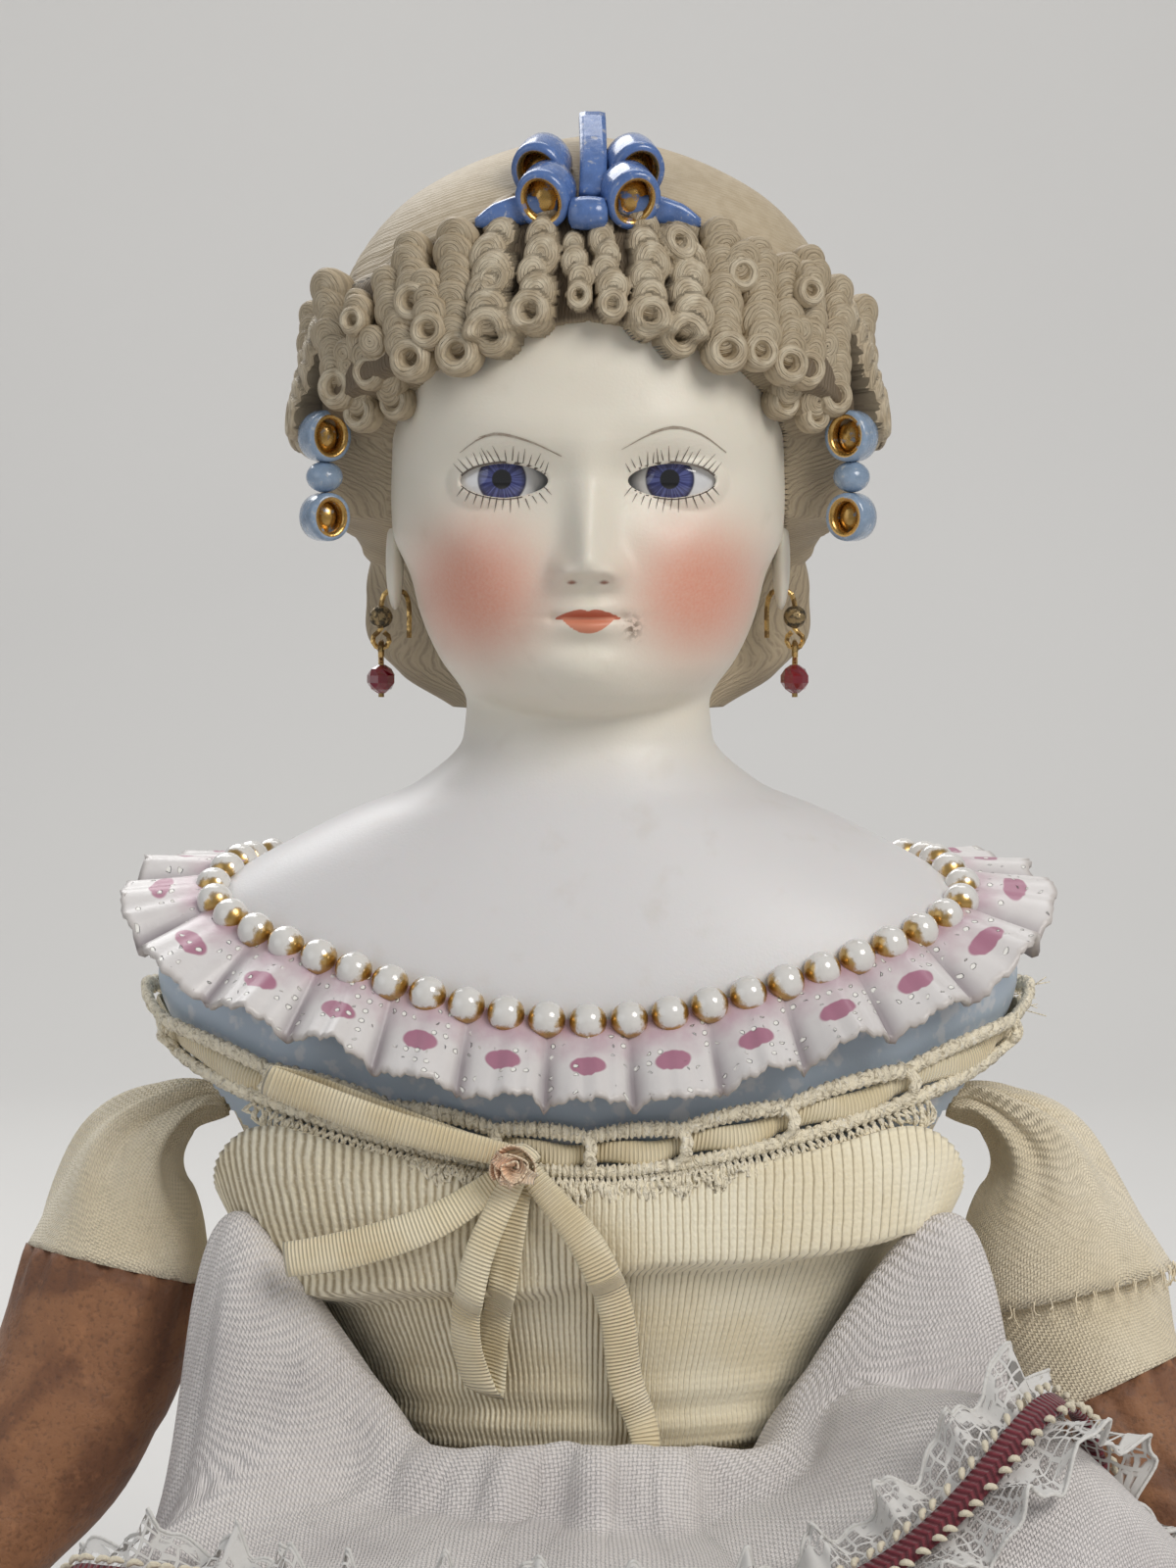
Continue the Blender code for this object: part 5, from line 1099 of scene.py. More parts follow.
def hair_grid():
    front = np.radians(np.linspace(-118, 118, 400))
    back = np.radians(np.linspace(118, 242, 84)[1:-1])
    lower = np.arange(CHIN_Z + 0.0010, HAIR_CAP_Z, 0.00037)
    heights = np.concatenate([lower, np.linspace(HAIR_CAP_Z, CROWN_Z, 14)])
    return np.meshgrid(np.concatenate([front, back]), heights)


def all_curls():
    """Centre line and size of every curl: those of the front, then a row round each side."""
    curls = [tuple(0.001 * value for value in row) for row in FRONT_CURLS]
    made = []
    for x0, z0, x1, z1, radius in curls:
        made.append((azimuth_on_hair(x0, z0), z0, azimuth_on_hair(x1, z1), z1, radius))
    for side in (-1, 1):
        for k, degrees in enumerate((78, 86, 94, 103)):
            high = 0.2330 - 0.0015 * k
            low = 0.2170 + 0.0020 * math.sin(2.1 * k)
            start, end = (side * math.radians(degrees + lean) for lean in (-3, 3))
            made.append((start, high, end, low, 0.0027))
    return made


def azimuth_on_hair(across, z):
    """The azimuth at which the hair stands at a distance across from the middle."""
    theta = np.radians(np.linspace(-84, 84, 169))
    reach = section_radius(HAIR, theta, np.full_like(theta, z)) * np.sin(theta)
    return float(np.interp(across, reach, theta))


def curl_relief(theta, z):
    """Height of the curls over the plain hair, the strand numbers of their combed lines, their crests."""
    u = HAIR_ARC_RADIUS * theta
    height = np.zeros_like(u)
    strand = np.full_like(u, -1.0)
    crest = np.zeros_like(u)

    def lay(centre_u, centre_z, radius, base, ring):
        near = (np.abs(u - centre_u) < radius) & (np.abs(z - centre_z) < radius)
        up = (z[near] - centre_z) / radius
        d = np.hypot((u[near] - centre_u) / radius, up)
        if ring:
            rim = np.sqrt(np.clip(1 - ((d - 0.62) / 0.38) ** 2, 0, 1))
            profile = 0.52 * radius * np.where(d > 0.30, rim, -0.55 + 0.8 * d)
        else:
            profile = 0.46 * radius * np.sqrt(np.clip(1 - d**5, 0, 1)) * (1 + 0.50 * up)
        made = np.where(d < 1, base + profile, 0)
        over = made > height[near]
        height[near] = np.where(over, made, height[near])
        strand[near] = np.where(over, CURL_STRANDS * d * radius / PLAIN_CURL_RADIUS, strand[near])
        # Crest mask for rubbed wear and painted highlight.
        crest[near] = np.where(over, np.clip(profile / (0.55 * radius), 0, 1) ** 3, crest[near])

    for theta0, z0, theta1, z1, radius in all_curls():
        length = math.hypot(HAIR_ARC_RADIUS * (theta1 - theta0), z1 - z0)
        radius = CURL_SIZE * radius
        turns = max(3, round(length / (TURN_SPACING * radius)))
        for turn in range(turns):
            share = turn / (turns - 1)
            sway = 0.16 * radius * math.sin(2.6 * turn + 40 * theta0)
            size = radius * (0.88 + 0.08 * math.sin(1.9 * turn + 7 * theta0) + 0.06 * share)
            base = between(0.0004, CURL_LIFT, share)
            across = HAIR_ARC_RADIUS * between(theta0, theta1, share) + sway
            lay(across, between(z0, z1, share), size, base, turn == turns - 1)
    for across, up, radius in LONE_RINGS:
        theta0 = azimuth_on_hair(0.001 * across, 0.001 * up)
        lay(HAIR_ARC_RADIUS * theta0, 0.001 * up, 0.0011 * radius, 0.0024, True)
    return height, strand, crest


def band_top_z(theta):
    """Where the smooth cap gives way to the curls."""
    degrees = np.degrees(np.abs(theta))
    return np.interp(degrees, *zip(*BAND_TOP))


def waved_locks(theta, z):
    """Soft upright locks below the curls, rolled at the nape: share, relief and strand number."""
    degrees = np.degrees(np.abs(theta))
    top = np.interp(degrees, *zip(*LOCKS_TOP))
    share = 1 - smooth_step(top - 0.0020, top + 0.0005, z)
    sway = 0.0011 * np.sin(2 * math.pi * z / LOCK_WAVE_LENGTH)
    across = (0.037 * np.abs(theta) + sway) / LOCK_BREADTH
    crest = 0.5 + 0.5 * np.cos(2 * math.pi * across)
    rolls = 0.5 + 0.5 * np.cos(2 * math.pi * (z - ROLL_Z) / ROLL_PITCH)
    relief = 0.0009 * crest + 0.0010 * rolls * smooth_step(84, 100, degrees)
    return share, relief, 8.0 * across + 1.2 * rolls


def with_neighbours(shown):
    """True on the points that are shown and on those beside them."""
    near = shown.copy()
    for axis in (0, 1):
        for way in (1, -1):
            near |= np.roll(shown, way, axis=axis)
    return near


def skin_reach(theta, z):
    """Distance from the axis to the modelled skin."""
    skin = with_face(at_radius(theta, z, skin_radius(theta, z)))
    return np.hypot(skin[..., 0], skin[..., 1])


def side_fullness(theta, z):
    """1 at the temples, where the curls stand fullest."""
    degrees = np.degrees(np.abs(theta))
    beside = smooth_step(34, 64, degrees) * (1 - smooth_step(98, 118, degrees))
    return beside * smooth_step(0.2080, 0.2150, z)


def hair_surface(theta, z):
    """Radius of the hair, where the head is bare of it, and the fields of its paint, its painted shade and
    its painted highlight.
    """
    cover = hair_cover(theta, z)
    curls, strand, crest = curl_relief(theta, z)
    waved, waves, wave_strand = waved_locks(theta, z)
    skin = skin_reach(theta, z)
    hair = np.maximum(section_radius(HAIR, theta, z), skin)
    top = band_top_z(theta)
    band = 1 - smooth_step(top - 0.0015, top + 0.0020, z)
    in_band = band * cover
    over_cap = (z - top) / (CROWN_Z - top)
    flow = over_cap * COMB_LINES + 0.8 * np.sin(3.1 * np.abs(theta) + 5 * over_cap) + 1.2 * np.abs(theta)
    locks = 0.00009 * np.sin(2 * math.pi * flow / 3.0) * (1 - band) * np.clip(1 - 1.6 * over_cap, 0, 1)
    shown = (curls > 0) & (cover + (curls > 0.0003) > 0.02)
    relief = np.maximum(np.where(shown, curls, 0), waves * waved * cover)
    plain = skin * (1 - cover) + hair * cover - 0.0006 * in_band
    radius = plain + SIDE_BULGE * in_band * side_fullness(theta, z) + relief + locks
    bare = (cover < 0.05) & ~shown
    radius = np.where(bare, skin - 0.0008, radius)
    combed = np.where(z < top, wave_strand, flow)
    strand = np.where((strand >= 0) & (curls > waves * waved), strand, combed)
    # Painted shade, deepest where the relief is lowest.
    hollow = np.clip(1 - curls / 0.0013, 0, 1) * in_band
    hollow = hollow * (1 - waved) + waved * in_band * (0.45 - 240 * waves)
    # Crests: rubbed wear and painted highlight, with a little on the whole cap above the curls.
    crest = np.where(curls > 0, crest, 0.25 * (1 - band))
    return radius, bare, {"strand": strand, "hollow": hollow, "crest": crest, "band": band}


def moulded_hair():
    """The cap of curls and locks, closed above and turned in below, and the free ringlets."""
    theta, z = hair_grid()
    radius, bare, fields = hair_surface(theta, z)
    keep = with_neighbours(~bare)
    points = at_radius(theta, z, radius)
    under = points[:1] * [0.35, 0.35, 1.0] + [0, 0, 0.0008]
    top = points[-1:] * [0.02, 0.02, 1.0] + [0, 0, 0.0005]
    points = np.concatenate([under, points, top])
    keep = np.concatenate([keep[:1], keep, keep[-1:]])
    for field, values in fields.items():
        fields[field] = np.concatenate([values[:1], values, values[-1:]])
    mesh = grid_mesh("moulded_hair", points, wrap=True, keep=keep, fields=fields)
    look = hair_look()
    piece("moulded_hair", mesh, look, ["shoulder_head"])
    ringlets = [ringlet(*row) for row in FREE_RINGLETS]
    piece("free_ringlets", joined("free_ringlets", ringlets), look, ["shoulder_head"])


def ringlet(x0, y0, z0, x1, y1, z1, radius):
    """A hanging ringlet of overlapping turns that ends in an open ring."""
    start, end = 0.001 * np.array([x0, y0, z0]), 0.001 * np.array([x1, y1, z1])
    radius *= RINGLET_SIZE
    turns = max(2, round(float(np.linalg.norm(end - start)) / (TURN_SPACING * radius)))
    meshes = []
    for k in range(turns + 1):
        share = k / turns
        centre = between(start, end, share)
        out = unit(unit(centre * [1, 1, 0]) * 0.8 + np.array([0.0, -0.8, 0.12]))
        side = unit(np.cross((0, 0, 1), out))
        up = np.cross(out, side)
        size = radius * (0.86 + 0.08 * math.sin(1.9 * k + x0) + 0.08 * share)
        centre = centre + 0.10 * radius * math.sin(2.6 * k + x1) * side
        around = np.linspace(0, 2 * math.pi, 29)
        profile = OPEN_END_SECTION if k == turns else TURN_SECTION
        rows = []
        for reach, rise in profile:
            tilt = 0.30 * reach * np.sin(around) * (k < turns)
            ring = centre + size * reach * (np.cos(around)[:, None] * side + np.sin(around)[:, None] * up)
            rows.append(ring + (size * (rise + tilt))[:, None] * out)
        shape = np.array(rows)
        reach = np.broadcast_to(np.array([row[0] for row in profile])[:, None], shape.shape[:2])
        rise = np.broadcast_to(np.array([row[1] for row in profile])[:, None], shape.shape[:2])
        fields = {
            "strand": CURL_STRANDS * reach * size / PLAIN_CURL_RADIUS,
            # Crest: rubbed wear and painted highlight on the outward side of each turn.
            "crest": np.clip(rise * 2, 0, 1) ** 3,
            "band": 0 * reach + 1,
        }
        meshes.append(grid_mesh("turn", shape, fields=fields))
    return joined("ringlet", meshes)


# Glazed bows in the hair


def bow_glaze(name, blue, gold_from):
    """Blue glaze with gold lustre on the face and edges that the field side picks out."""
    look = Look(name, 0.22, Coat_Weight=0.6, Coat_Roughness=0.08)
    side = look.field("side")
    gilt = look.step(side, gold_from, gold_from + 0.12)
    worn = look.step(look.noise(0.0016, 5.0), 0.30, 0.42)
    gilt = look.times(gilt, worn)
    deeper = tuple(0.45 * c for c in blue)
    paint = look.mix(look.noise(0.0018, 4.0), deeper, blue)
    rubbed = look.step(look.noise(0.0009, 5.0), 0.60, 0.72)
    paint = look.stain(paint, rubbed, 0.5, (0.66, 0.62, 0.52))
    look.colour(look.mix(gilt, paint, (0.50, 0.30, 0.08)))
    look.feed(look.shader.inputs["Metallic"], look.times(gilt, 0.9))
    look.rough(share_between(look, look.noise(0.0008, 3.0), 0.15, 0.38))
    look.bump(look.noise(0.0010, 3.0), 0.00007)
    return look


def on_hair(across, z, lift):
    """A point on the front or side of the hair at a distance across from the middle."""
    theta = 0.0
    for _ in range(8):
        theta = math.asin(max(-0.99, min(0.99, across / float(section_radius(HAIR, theta, z)))))
    return at_radius(np.float64(theta), z, float(section_radius(HAIR, theta, z)) + lift)


def ring_ribbon(centre, axis, up, radius_across, radius_up, width, thickness):
    """A closed loop of ribbon seen through its eye along axis."""
    axis = unit(axis)
    up = unit(np.asarray(up, float) - np.dot(up, axis) * axis)
    side = np.cross(up, axis)
    turn = np.linspace(2 * math.pi, 0, 32, endpoint=False)[:, None]
    centres = np.asarray(centre) + radius_across * np.cos(turn) * side + radius_up * np.sin(turn) * up
    return ribbon_mesh("loop", centres, np.broadcast_to(axis, centres.shape), width, thickness, closed=True)


def top_bow():
    low = between(HAIRLINE_Z, CROWN_Z, 0.56)
    high = between(HAIRLINE_Z, CROWN_Z, 0.80)
    blue = bow_glaze("blue_glaze", (0.12, 0.23, 0.55), 0.56)
    meshes = []
    for side in (-1, 1):
        for z, across, lift in ((between(low, high, 0.35), 0.0050, 0.0030), (high, 0.0054, 0.0028)):
            centre = on_hair(side * across, z, lift)
            way, up = (side * 0.25, -1, -0.40), (side * 0.25, 0, 1)
            meshes.append(ring_ribbon(centre, way, up, 0.0030, 0.0035, 0.0062, 0.0015))
            inside, radii = centre + [0, 0.0008, 0], (0.0026, 0.0020, 0.0030)
            meshes.append(ball_mesh("inside", inside, radii, fields={"side": 1.0}))
        route = ((0.004, 0.001), (0.010, 0), (0.0148, -0.0014))
        knots = [on_hair(side * x, low + rise, 0.0012) for x, rise in route]
        widths = np.interp(np.linspace(0, 1, 14), (0, 0.45, 0.8, 1), (0.0026, 0.0042, 0.0034, 0.0010))
        across = np.array([0, 0.35, -1]) * side
        meshes.append(ribbon_mesh("tail", smooth_route(knots, 14), across, widths, 0.0022))
    knot = on_hair(0, low - 0.0004, 0.0022)
    roll = [knot + [x, 0, 0] for x in (-0.0027, -0.0022, -0.001, 0, 0.001, 0.0022, 0.0027)]
    meshes.append(tube_mesh("knot", roll, (0.0012, 0.0021, 0.0023, 0.00235, 0.0023, 0.0021, 0.0012), 20))
    crest = [
        on_hair(0.0006, low + 0.002, 0.0015),
        on_hair(0.0006, high + 0.001, 0.0040),
        (0.0006, -0.0110, CROWN_Z + 0.0020),
    ]
    meshes.append(ribbon_mesh("crest", smooth_route(crest, 16), (1, 0, 0), 0.0038, 0.0022))
    piece("top_bow", joined("top_bow", meshes), blue, ["shoulder_head"])


def side_bows():
    depth = -0.0088
    look = bow_glaze("pale_blue_glaze", (0.33, 0.45, 0.62), 0.42)
    meshes = []
    for side in (-1, 1):
        x = side * (HAIR_HALF_WIDTH - 0.0020)
        for rise, radius in ((0.0063, 0.0026), (-0.0050, 0.0024)):
            centre = (x + side * 0.0014, depth - 0.0022, EYE_Z + rise)
            way = (-side * 0.55, -1, 0)
            meshes.append(ring_ribbon(centre, way, (0, 0, 1), radius, 1.15 * radius, 0.0046, 0.0013))
            inside = (centre[0] + side * 0.0003, centre[1] + 0.0006, centre[2])
            meshes.append(ball_mesh("inside", inside, (0.8 * radius, 0.0014, radius), fields={"side": 1.0}))
        knot = (x + side * 0.0014, depth - 0.0022, EYE_Z + 0.0006)
        meshes.append(ball_mesh("knot", knot, (0.0026, 0.0028, 0.0022)))
    piece("side_bows", joined("side_bows", meshes), look, ["shoulder_head"])


# Necklace and collar of the casting


def neckline_z(theta):
    return NECKLINE_FRONT_Z + NECKLINE_RISE * np.clip(1 - np.cos(theta), 0, 1)


def shoulder_point(theta, z, lift=0.0):
    return at_radius(theta, z, body_radius(theta, z) + lift)


def neckline_azimuths(pitch):
    """Azimuths evenly spaced along the neckline, as many as the pitch allows."""
    theta = np.linspace(-math.pi, math.pi, 721)
    line = shoulder_point(theta, neckline_z(theta))
    along = np.concatenate([[0], np.cumsum(np.linalg.norm(np.diff(line, axis=0), axis=1))])
    count = max(8, round(along[-1] / pitch))
    return np.interp(np.arange(count) * along[-1] / count, along, theta), count


def necklace_look():
    look = Look("glazed_beads", 0.12, Coat_Weight=0.8, Coat_Roughness=0.05)
    worn = look.maths("MULTIPLY_ADD", look.noise(0.0012, 3.0), 0.5, look.field("gilt"))
    gilt = look.step(worn, 0.66, 0.86)
    white = look.mix(look.noise(0.002, 3.0), (0.68, 0.66, 0.62), (0.76, 0.75, 0.73))
    look.colour(look.mix(gilt, white, (0.52, 0.33, 0.10)))
    look.feed(look.shader.inputs["Metallic"], look.times(gilt, 0.9))
    look.rough(share_between(look, gilt, 0.12, 0.32))
    return look


def necklace():
    theta, _ = neckline_azimuths(BEAD_PITCH)
    centres = shoulder_point(theta, neckline_z(theta), 0.60 * BEAD_RADIUS)
    ways = unit(np.roll(centres, -1, axis=0) - np.roll(centres, 1, axis=0))
    meshes = []
    for centre, way in zip(centres, ways):
        mesh = ball_mesh("bead", centre, (1.04 * BEAD_RADIUS,) * 3, 20, 14)
        co = np.array([v.co for v in mesh.vertices]) - centre
        along = np.abs(co @ way) / BEAD_RADIUS
        below = np.clip(-co[:, 2] / BEAD_RADIUS, 0, 1)
        add_field(mesh, "gilt", np.maximum(0.75 * along, 0.85 * below))
        meshes.append(mesh)
    piece("bead_necklace", joined("bead_necklace", meshes), necklace_look(), ["shoulder_head"])


def ruffle_look():
    """White bisque frill: pink lustre at the top, painted shade deep in each fold, a magenta dot on each
    flute and rows of raised dots.
    """
    look = Look("collar_frill", 0.35)
    u, v = look.field("flute"), look.field("fall")
    base = look.mix(look.noise(0.004, 3.0), (0.66, 0.63, 0.62), (0.76, 0.74, 0.73))
    lustre = look.step(look.maths("MULTIPLY_ADD", look.noise(0.003, 3.0), 0.5, v), 0.88, 0.20)
    base = look.stain(base, lustre, 0.85, (0.46, 0.255, 0.335))
    # Painted shade: darker deep between the flutes.
    painted_valley_shade = look.times(look.field("painted_valley_shade"), 0.75)
    base = look.mix(painted_valley_shade, base, (0.20, 0.155, 0.185))
    base = look.stain(base, look.step(v, 0.90, 1.0), 0.35, (0.40, 0.33, 0.27))
    across = look.times(look.from_middle(u), FLUTE_PITCH)
    down = look.times(look.maths("SUBTRACT", v, FRILL_DOT_FALL), 1.45 * RUFFLE_LENGTH)
    painted_dot = look.step(look.length(across, down), FRILL_DOT_RADIUS + 0.0002, FRILL_DOT_RADIUS - 0.0002)
    base = look.stain(base, painted_dot, 0.85, (0.36, 0.10, 0.19))
    across = look.from_middle(look.times(u, PEARLS_PER_FLUTE))
    down = look.from_middle(look.times(v, PEARL_ROWS))
    some = look.step(look.noise(0.0030, 1.0), 0.56, 0.60)
    raised = look.times(look.step(look.length(across, down), 0.26, 0.16), some)
    look.colour(look.mix(raised, base, (0.88, 0.87, 0.82)))
    look.bump(raised, 0.00030)
    look.bump(look.noise(0.0006, 2.0), 0.00003)
    return look


def ruffle():
    """A band of flutes that hangs from the beads and stands away from the shoulders."""
    steps, rows = 24, 16
    _, flutes = neckline_azimuths(FLUTE_PITCH)
    around = flutes * steps
    dense, _ = neckline_azimuths(FLUTE_PITCH / steps)
    theta = np.interp(np.linspace(0, len(dense), around, endpoint=False), np.arange(len(dense)), dense)
    z = neckline_z(theta)
    base = shoulder_point(theta, z)
    down = unit(shoulder_point(theta, z - 0.004) - base)
    along = unit(np.roll(base, -1, axis=0) - np.roll(base, 1, axis=0))
    out = unit(np.cross(down, along))
    out *= np.sign(np.sum(out * base * [1, 1, 0], axis=1))[:, None]
    fall = unit(down + 0.38 * out)
    phase = np.arange(around) / steps
    skewed = np.mod(phase, 1.0) ** 1.35
    wave = np.sin(math.pi * skewed) ** 0.7 + 0.16 * np.abs(np.sin(3 * math.pi * skewed))
    # Where painted shade falls between the flutes.
    hollow = np.clip(1 - 1.7 * wave, 0, 1)
    uneven = 0.35 * np.sin(2.17 * phase) + 0.25 * np.sin(5.3 * phase + 1)
    outer = []
    for v in np.linspace(0, 1, rows):
        ragged = 0.02 * np.sin(23.0 * phase) + 0.015 * np.sin(61.0 * phase)
        reach = RUFFLE_LENGTH * v * (1.04 - v * (0.13 * wave * (1 + uneven) + ragged))
        lift = 0.3 * RUFFLE_THICKNESS + 1.6 * RUFFLE_DEPTH * wave * v**0.8 * (1 + 0.5 * uneven)
        outer.append(base + fall * reach[:, None] + out * lift[:, None])
    outer = np.array(outer)
    inner = outer - out * RUFFLE_THICKNESS
    edge = 0.5 * (outer[-1] + inner[-1]) + 0.0004 * fall
    points = np.concatenate([outer, edge[None], inner[::-1]])
    shares = np.concatenate([np.linspace(0, 1, rows), [1.0], np.linspace(1, 0, rows)])
    fields = {
        "flute": np.broadcast_to(phase, points.shape[:2]),
        "fall": np.broadcast_to(shares[:, None], points.shape[:2]),
        # Painted shade between the flutes, growing down the frill.
        "painted_valley_shade": hollow * np.clip(1.5 * shares[:, None], 0, 1),
    }
    mesh = grid_mesh("collar_frill", points, wrap=True, fields=fields)
    piece("collar_frill", mesh, ruffle_look(), ["shoulder_head"])


# Cloth, thread and leather


def thread_fields(points):
    """Metres along each row from its middle, and down each column: the two ways that the threads run."""
    across = np.linalg.norm(np.diff(points, axis=1), axis=2)
    warp = np.concatenate([np.zeros((len(points), 1)), np.cumsum(across, axis=1)], axis=1)
    middle = warp.shape[1] // 2
    warp -= warp[:, middle : middle + 1]
    down = np.linalg.norm(np.diff(points, axis=0), axis=2)
    weft = np.concatenate([np.zeros((1, points.shape[1])), np.cumsum(down, axis=0)])
    return {"warp": warp, "weft": weft}


def cloth_look(name, pale, shaded, pitch, pinhole_shade, drift=4.0):
    """Plain weave along the fields warp and weft, with painted shade in the gaps between the threads."""
    look = Look(name, 0.85, Sheen_Weight=0.3, Sheen_Roughness=0.5)
    wander = look.times(look.noise(0.007, 2.0), drift)
    turns = []
    for way in ("warp", "weft"):
        along = look.maths("MULTIPLY_ADD", look.field(way), math.pi / pitch, wander)
        turns.append(look.maths("SINE", along))
    warp, weft = (look.maths("ABSOLUTE", turn) for turn in turns)
    over = look.step(look.times(*turns), -0.15, 0.15)
    height = look.maths("MULTIPLY_ADD", over, look.maths("SUBTRACT", warp, weft), weft)
    gaps = look.step(look.maths("MAXIMUM", warp, weft), 0.66, 0.36)
    base = look.mix(look.step(look.noise(0.016, 4.0), 0.35, 0.70), pale, shaded)
    thin = look.times(look.step(look.noise(0.0010, 3.0), 0.50, 0.75), 0.22)
    base = look.mix(thin, base, tuple(0.55 * c for c in shaded))
    # Painted shade: the gaps between the threads darkened.
    base = look.mix(look.times(gaps, pinhole_shade), base, tuple(0.28 * c for c in shaded))
    look.colour(base)
    look.bump(height, 0.38 * pitch)
    look.bump(look.noise(0.0022, 4.0), 0.00018)
    return look


def muslin_look():
    return cloth_look("muslin", (0.98, 0.875, 0.67), (0.88, 0.76, 0.54), 0.00048, 0.22)


def leather_look(name, pale, dark, grain=0.0007):
    """Old suede-like leather: mottled, scuffed pale on the grain."""
    look = Look(name, 0.62, Sheen_Weight=0.15, Sheen_Roughness=0.5)
    mottle = look.step(look.noise(0.009, 5.0, warp=0.6), 0.36, 0.66)
    base = look.mix(mottle, dark, pale)
    scuff = look.step(look.noise(0.0024, 6.0), 0.56, 0.72)
    base = look.stain(base, scuff, 0.35, tuple(1.5 * c for c in pale))
    pore = look.noise(grain, 3.0)
    base = look.stain(base, look.step(pore, 0.50, 0.30), 0.4, tuple(0.4 * c for c in dark))
    look.colour(base)
    look.rough(share_between(look, pore, 0.50, 0.78))
    look.bump(pore, 0.00016)
    look.bump(look.noise(0.0040, 4.0), 0.00045)
    return look


def closed_ends(points):
    """The rows of a limb with a shallow dome added at each end."""
    rows = [*points]
    for end, order in ((points[0], 1), (points[-1], -1)):
        centre = end.mean(axis=0)
        dome = [centre + share * (end - centre) for share in (0.02, 0.35, 0.70)]
        rows = dome + rows if order > 0 else rows + dome[::-1]
    return np.array(rows)


def limb_points(stations, first=0, last=None, steps=8, around=65, relief=None):
    """Rows of points round a stuffed limb. Each station is x, y, z, half-width and half-depth."""
    line = spline_through(stations, steps)
    along = unit(np.gradient(line[:, :3], axis=0))
    deep = unit(np.cross(along, (1.0, 0.0, 0.0)))
    wide = np.cross(deep, along)
    last = len(stations) - 1 if last is None else last
    part = slice(first * steps, last * steps + 1)
    turn = np.linspace(0, 2 * math.pi, around)
    share = np.linspace(0, 1, part.stop - part.start)[:, None]
    out = relief(share, turn) if relief else 0.0
    across = (line[part, 3:4] + out) * np.cos(turn)
    through = (line[part, 4:5] + out) * np.sin(turn)
    sideways = wide[part, None] * across[..., None]
    return line[part, None, :3] + sideways + deep[part, None] * through[..., None]


def stuffed(name, points, look, node):
    """A stuffed piece with threads that follow its rows and columns."""
    points = closed_ends(points)
    obj = piece(name, grid_mesh(name, points, fields=thread_fields(points)), look, [node])
    return obj


def fringe(name, line, way, length, radius=0.00009, each=3):
    """Frayed threads that stand off a line of points."""
    meshes = []
    for k in range(len(line) * each):
        at = k / each
        start = line[min(int(at), len(line) - 1)]
        lean = np.array([math.sin(5.1 * k), math.cos(3.7 * k), math.sin(2.3 * k + 1)])
        reach = length * (0.45 + 0.55 * abs(math.sin(7.3 * k)))
        middle = start + 0.5 * reach * (way + 0.25 * lean)
        end = start + reach * (way + 0.55 * lean)
        start = start + 0.0004 * lean - 0.0005 * way
        meshes.append(tube_mesh("thread", smooth_route([start, middle, end], 5), radius, 5))
    return joined(name, meshes)


# Stuffed body, arms and legs


def muslin_torso(look):
    theta = np.linspace(-math.pi, math.pi, 145)
    rows = []
    for z in np.linspace(0.0, PLATE_BOTTOM_Z - 0.0003, 40):
        rows.append(at_radius(theta, np.full_like(theta, z), body_radius(theta, z)))
    for z in np.linspace(PLATE_BOTTOM_Z + 0.0004, between(SHOULDER_Z, NECK_Z, 0.53), 22):
        lining = lining_radius(theta, z, BISQUE_WALL + STUFFING_GAP)
        rows.append(at_radius(theta, np.full_like(theta, z), lining))
    stuffed("muslin_torso", np.array(rows), look, "torso")


def arm_stations():
    root_z = BUST_Z - 0.0045
    body_side = float(lining_radius(np.pi / 2, root_z, BISQUE_WALL + STUFFING_GAP))
    elbow = SHOULDER_HALF_WIDTH + 0.0060
    return [
        (body_side + 2 * CLEARANCE, 0.0, root_z, 0.0016, 0.0060),
        (SHOULDER_HALF_WIDTH - 0.0025, -0.0003, root_z - 0.0016, 0.0030, 0.0080),
        (SHOULDER_HALF_WIDTH + 0.0038, -0.0012, BUST_Z - 0.0130, 0.0080, 0.0104),
        (elbow, -0.0030, BUST_Z - 0.0280, ARM_HALF_WIDTH, 0.0115),
        (elbow + 0.0060, -0.0060, BUST_Z - 0.0460, ARM_HALF_WIDTH, 0.0115),
        (elbow + 0.0180, -0.0120, BUST_Z - 0.0640, 0.0112, 0.0100),
        (elbow + 0.0300, -0.0190, BUST_Z - 0.0770, WRIST_HALF_WIDTH, 0.0062),
        (elbow + 0.0360, -0.0270, BUST_Z - 0.0840, 0.0085, 0.0050),
        (elbow + 0.0385, -0.0370, BUST_Z - 0.0900, 0.0080, 0.0042),
        (elbow + 0.0390, -0.0450, BUST_Z - 0.0940, 0.0045, 0.0028),
    ]


def pleats(share, turn):
    """Soft gathers that fan out from the pinched top of a sleeve."""
    depth = 0.0013 * np.sin(math.pi * np.clip(share + 0.12, 0, 1)) ** 0.6
    return depth * (np.sin(6 * turn + 0.8) + 0.45 * np.sin(11 * turn + 2.0 + 2 * share))


def loose_end(share, turn):
    """The same gathers, and a raw edge that stands off the sleeve under it."""
    return pleats(share, turn) * (1 - 0.6 * share) + 0.0014 * smooth_step(0.65, 1.0, share)


def sleeve_tucks(share, turn):
    """A few soft tucks that die out down the cuff."""
    return 0.0006 * np.sin(5 * turn + 1.2) * (1 - share) + 0.0004 * np.sin(3 * turn + 5 * share)


def leg_gathers(share, turn):
    return 0.0005 * np.sin(7 * turn + 6 * share) * np.sin(math.pi * share)


def boot_creases(share, turn):
    return 0.0004 * np.sin(26 * share + np.cos(turn)) * np.sin(math.pi * share)


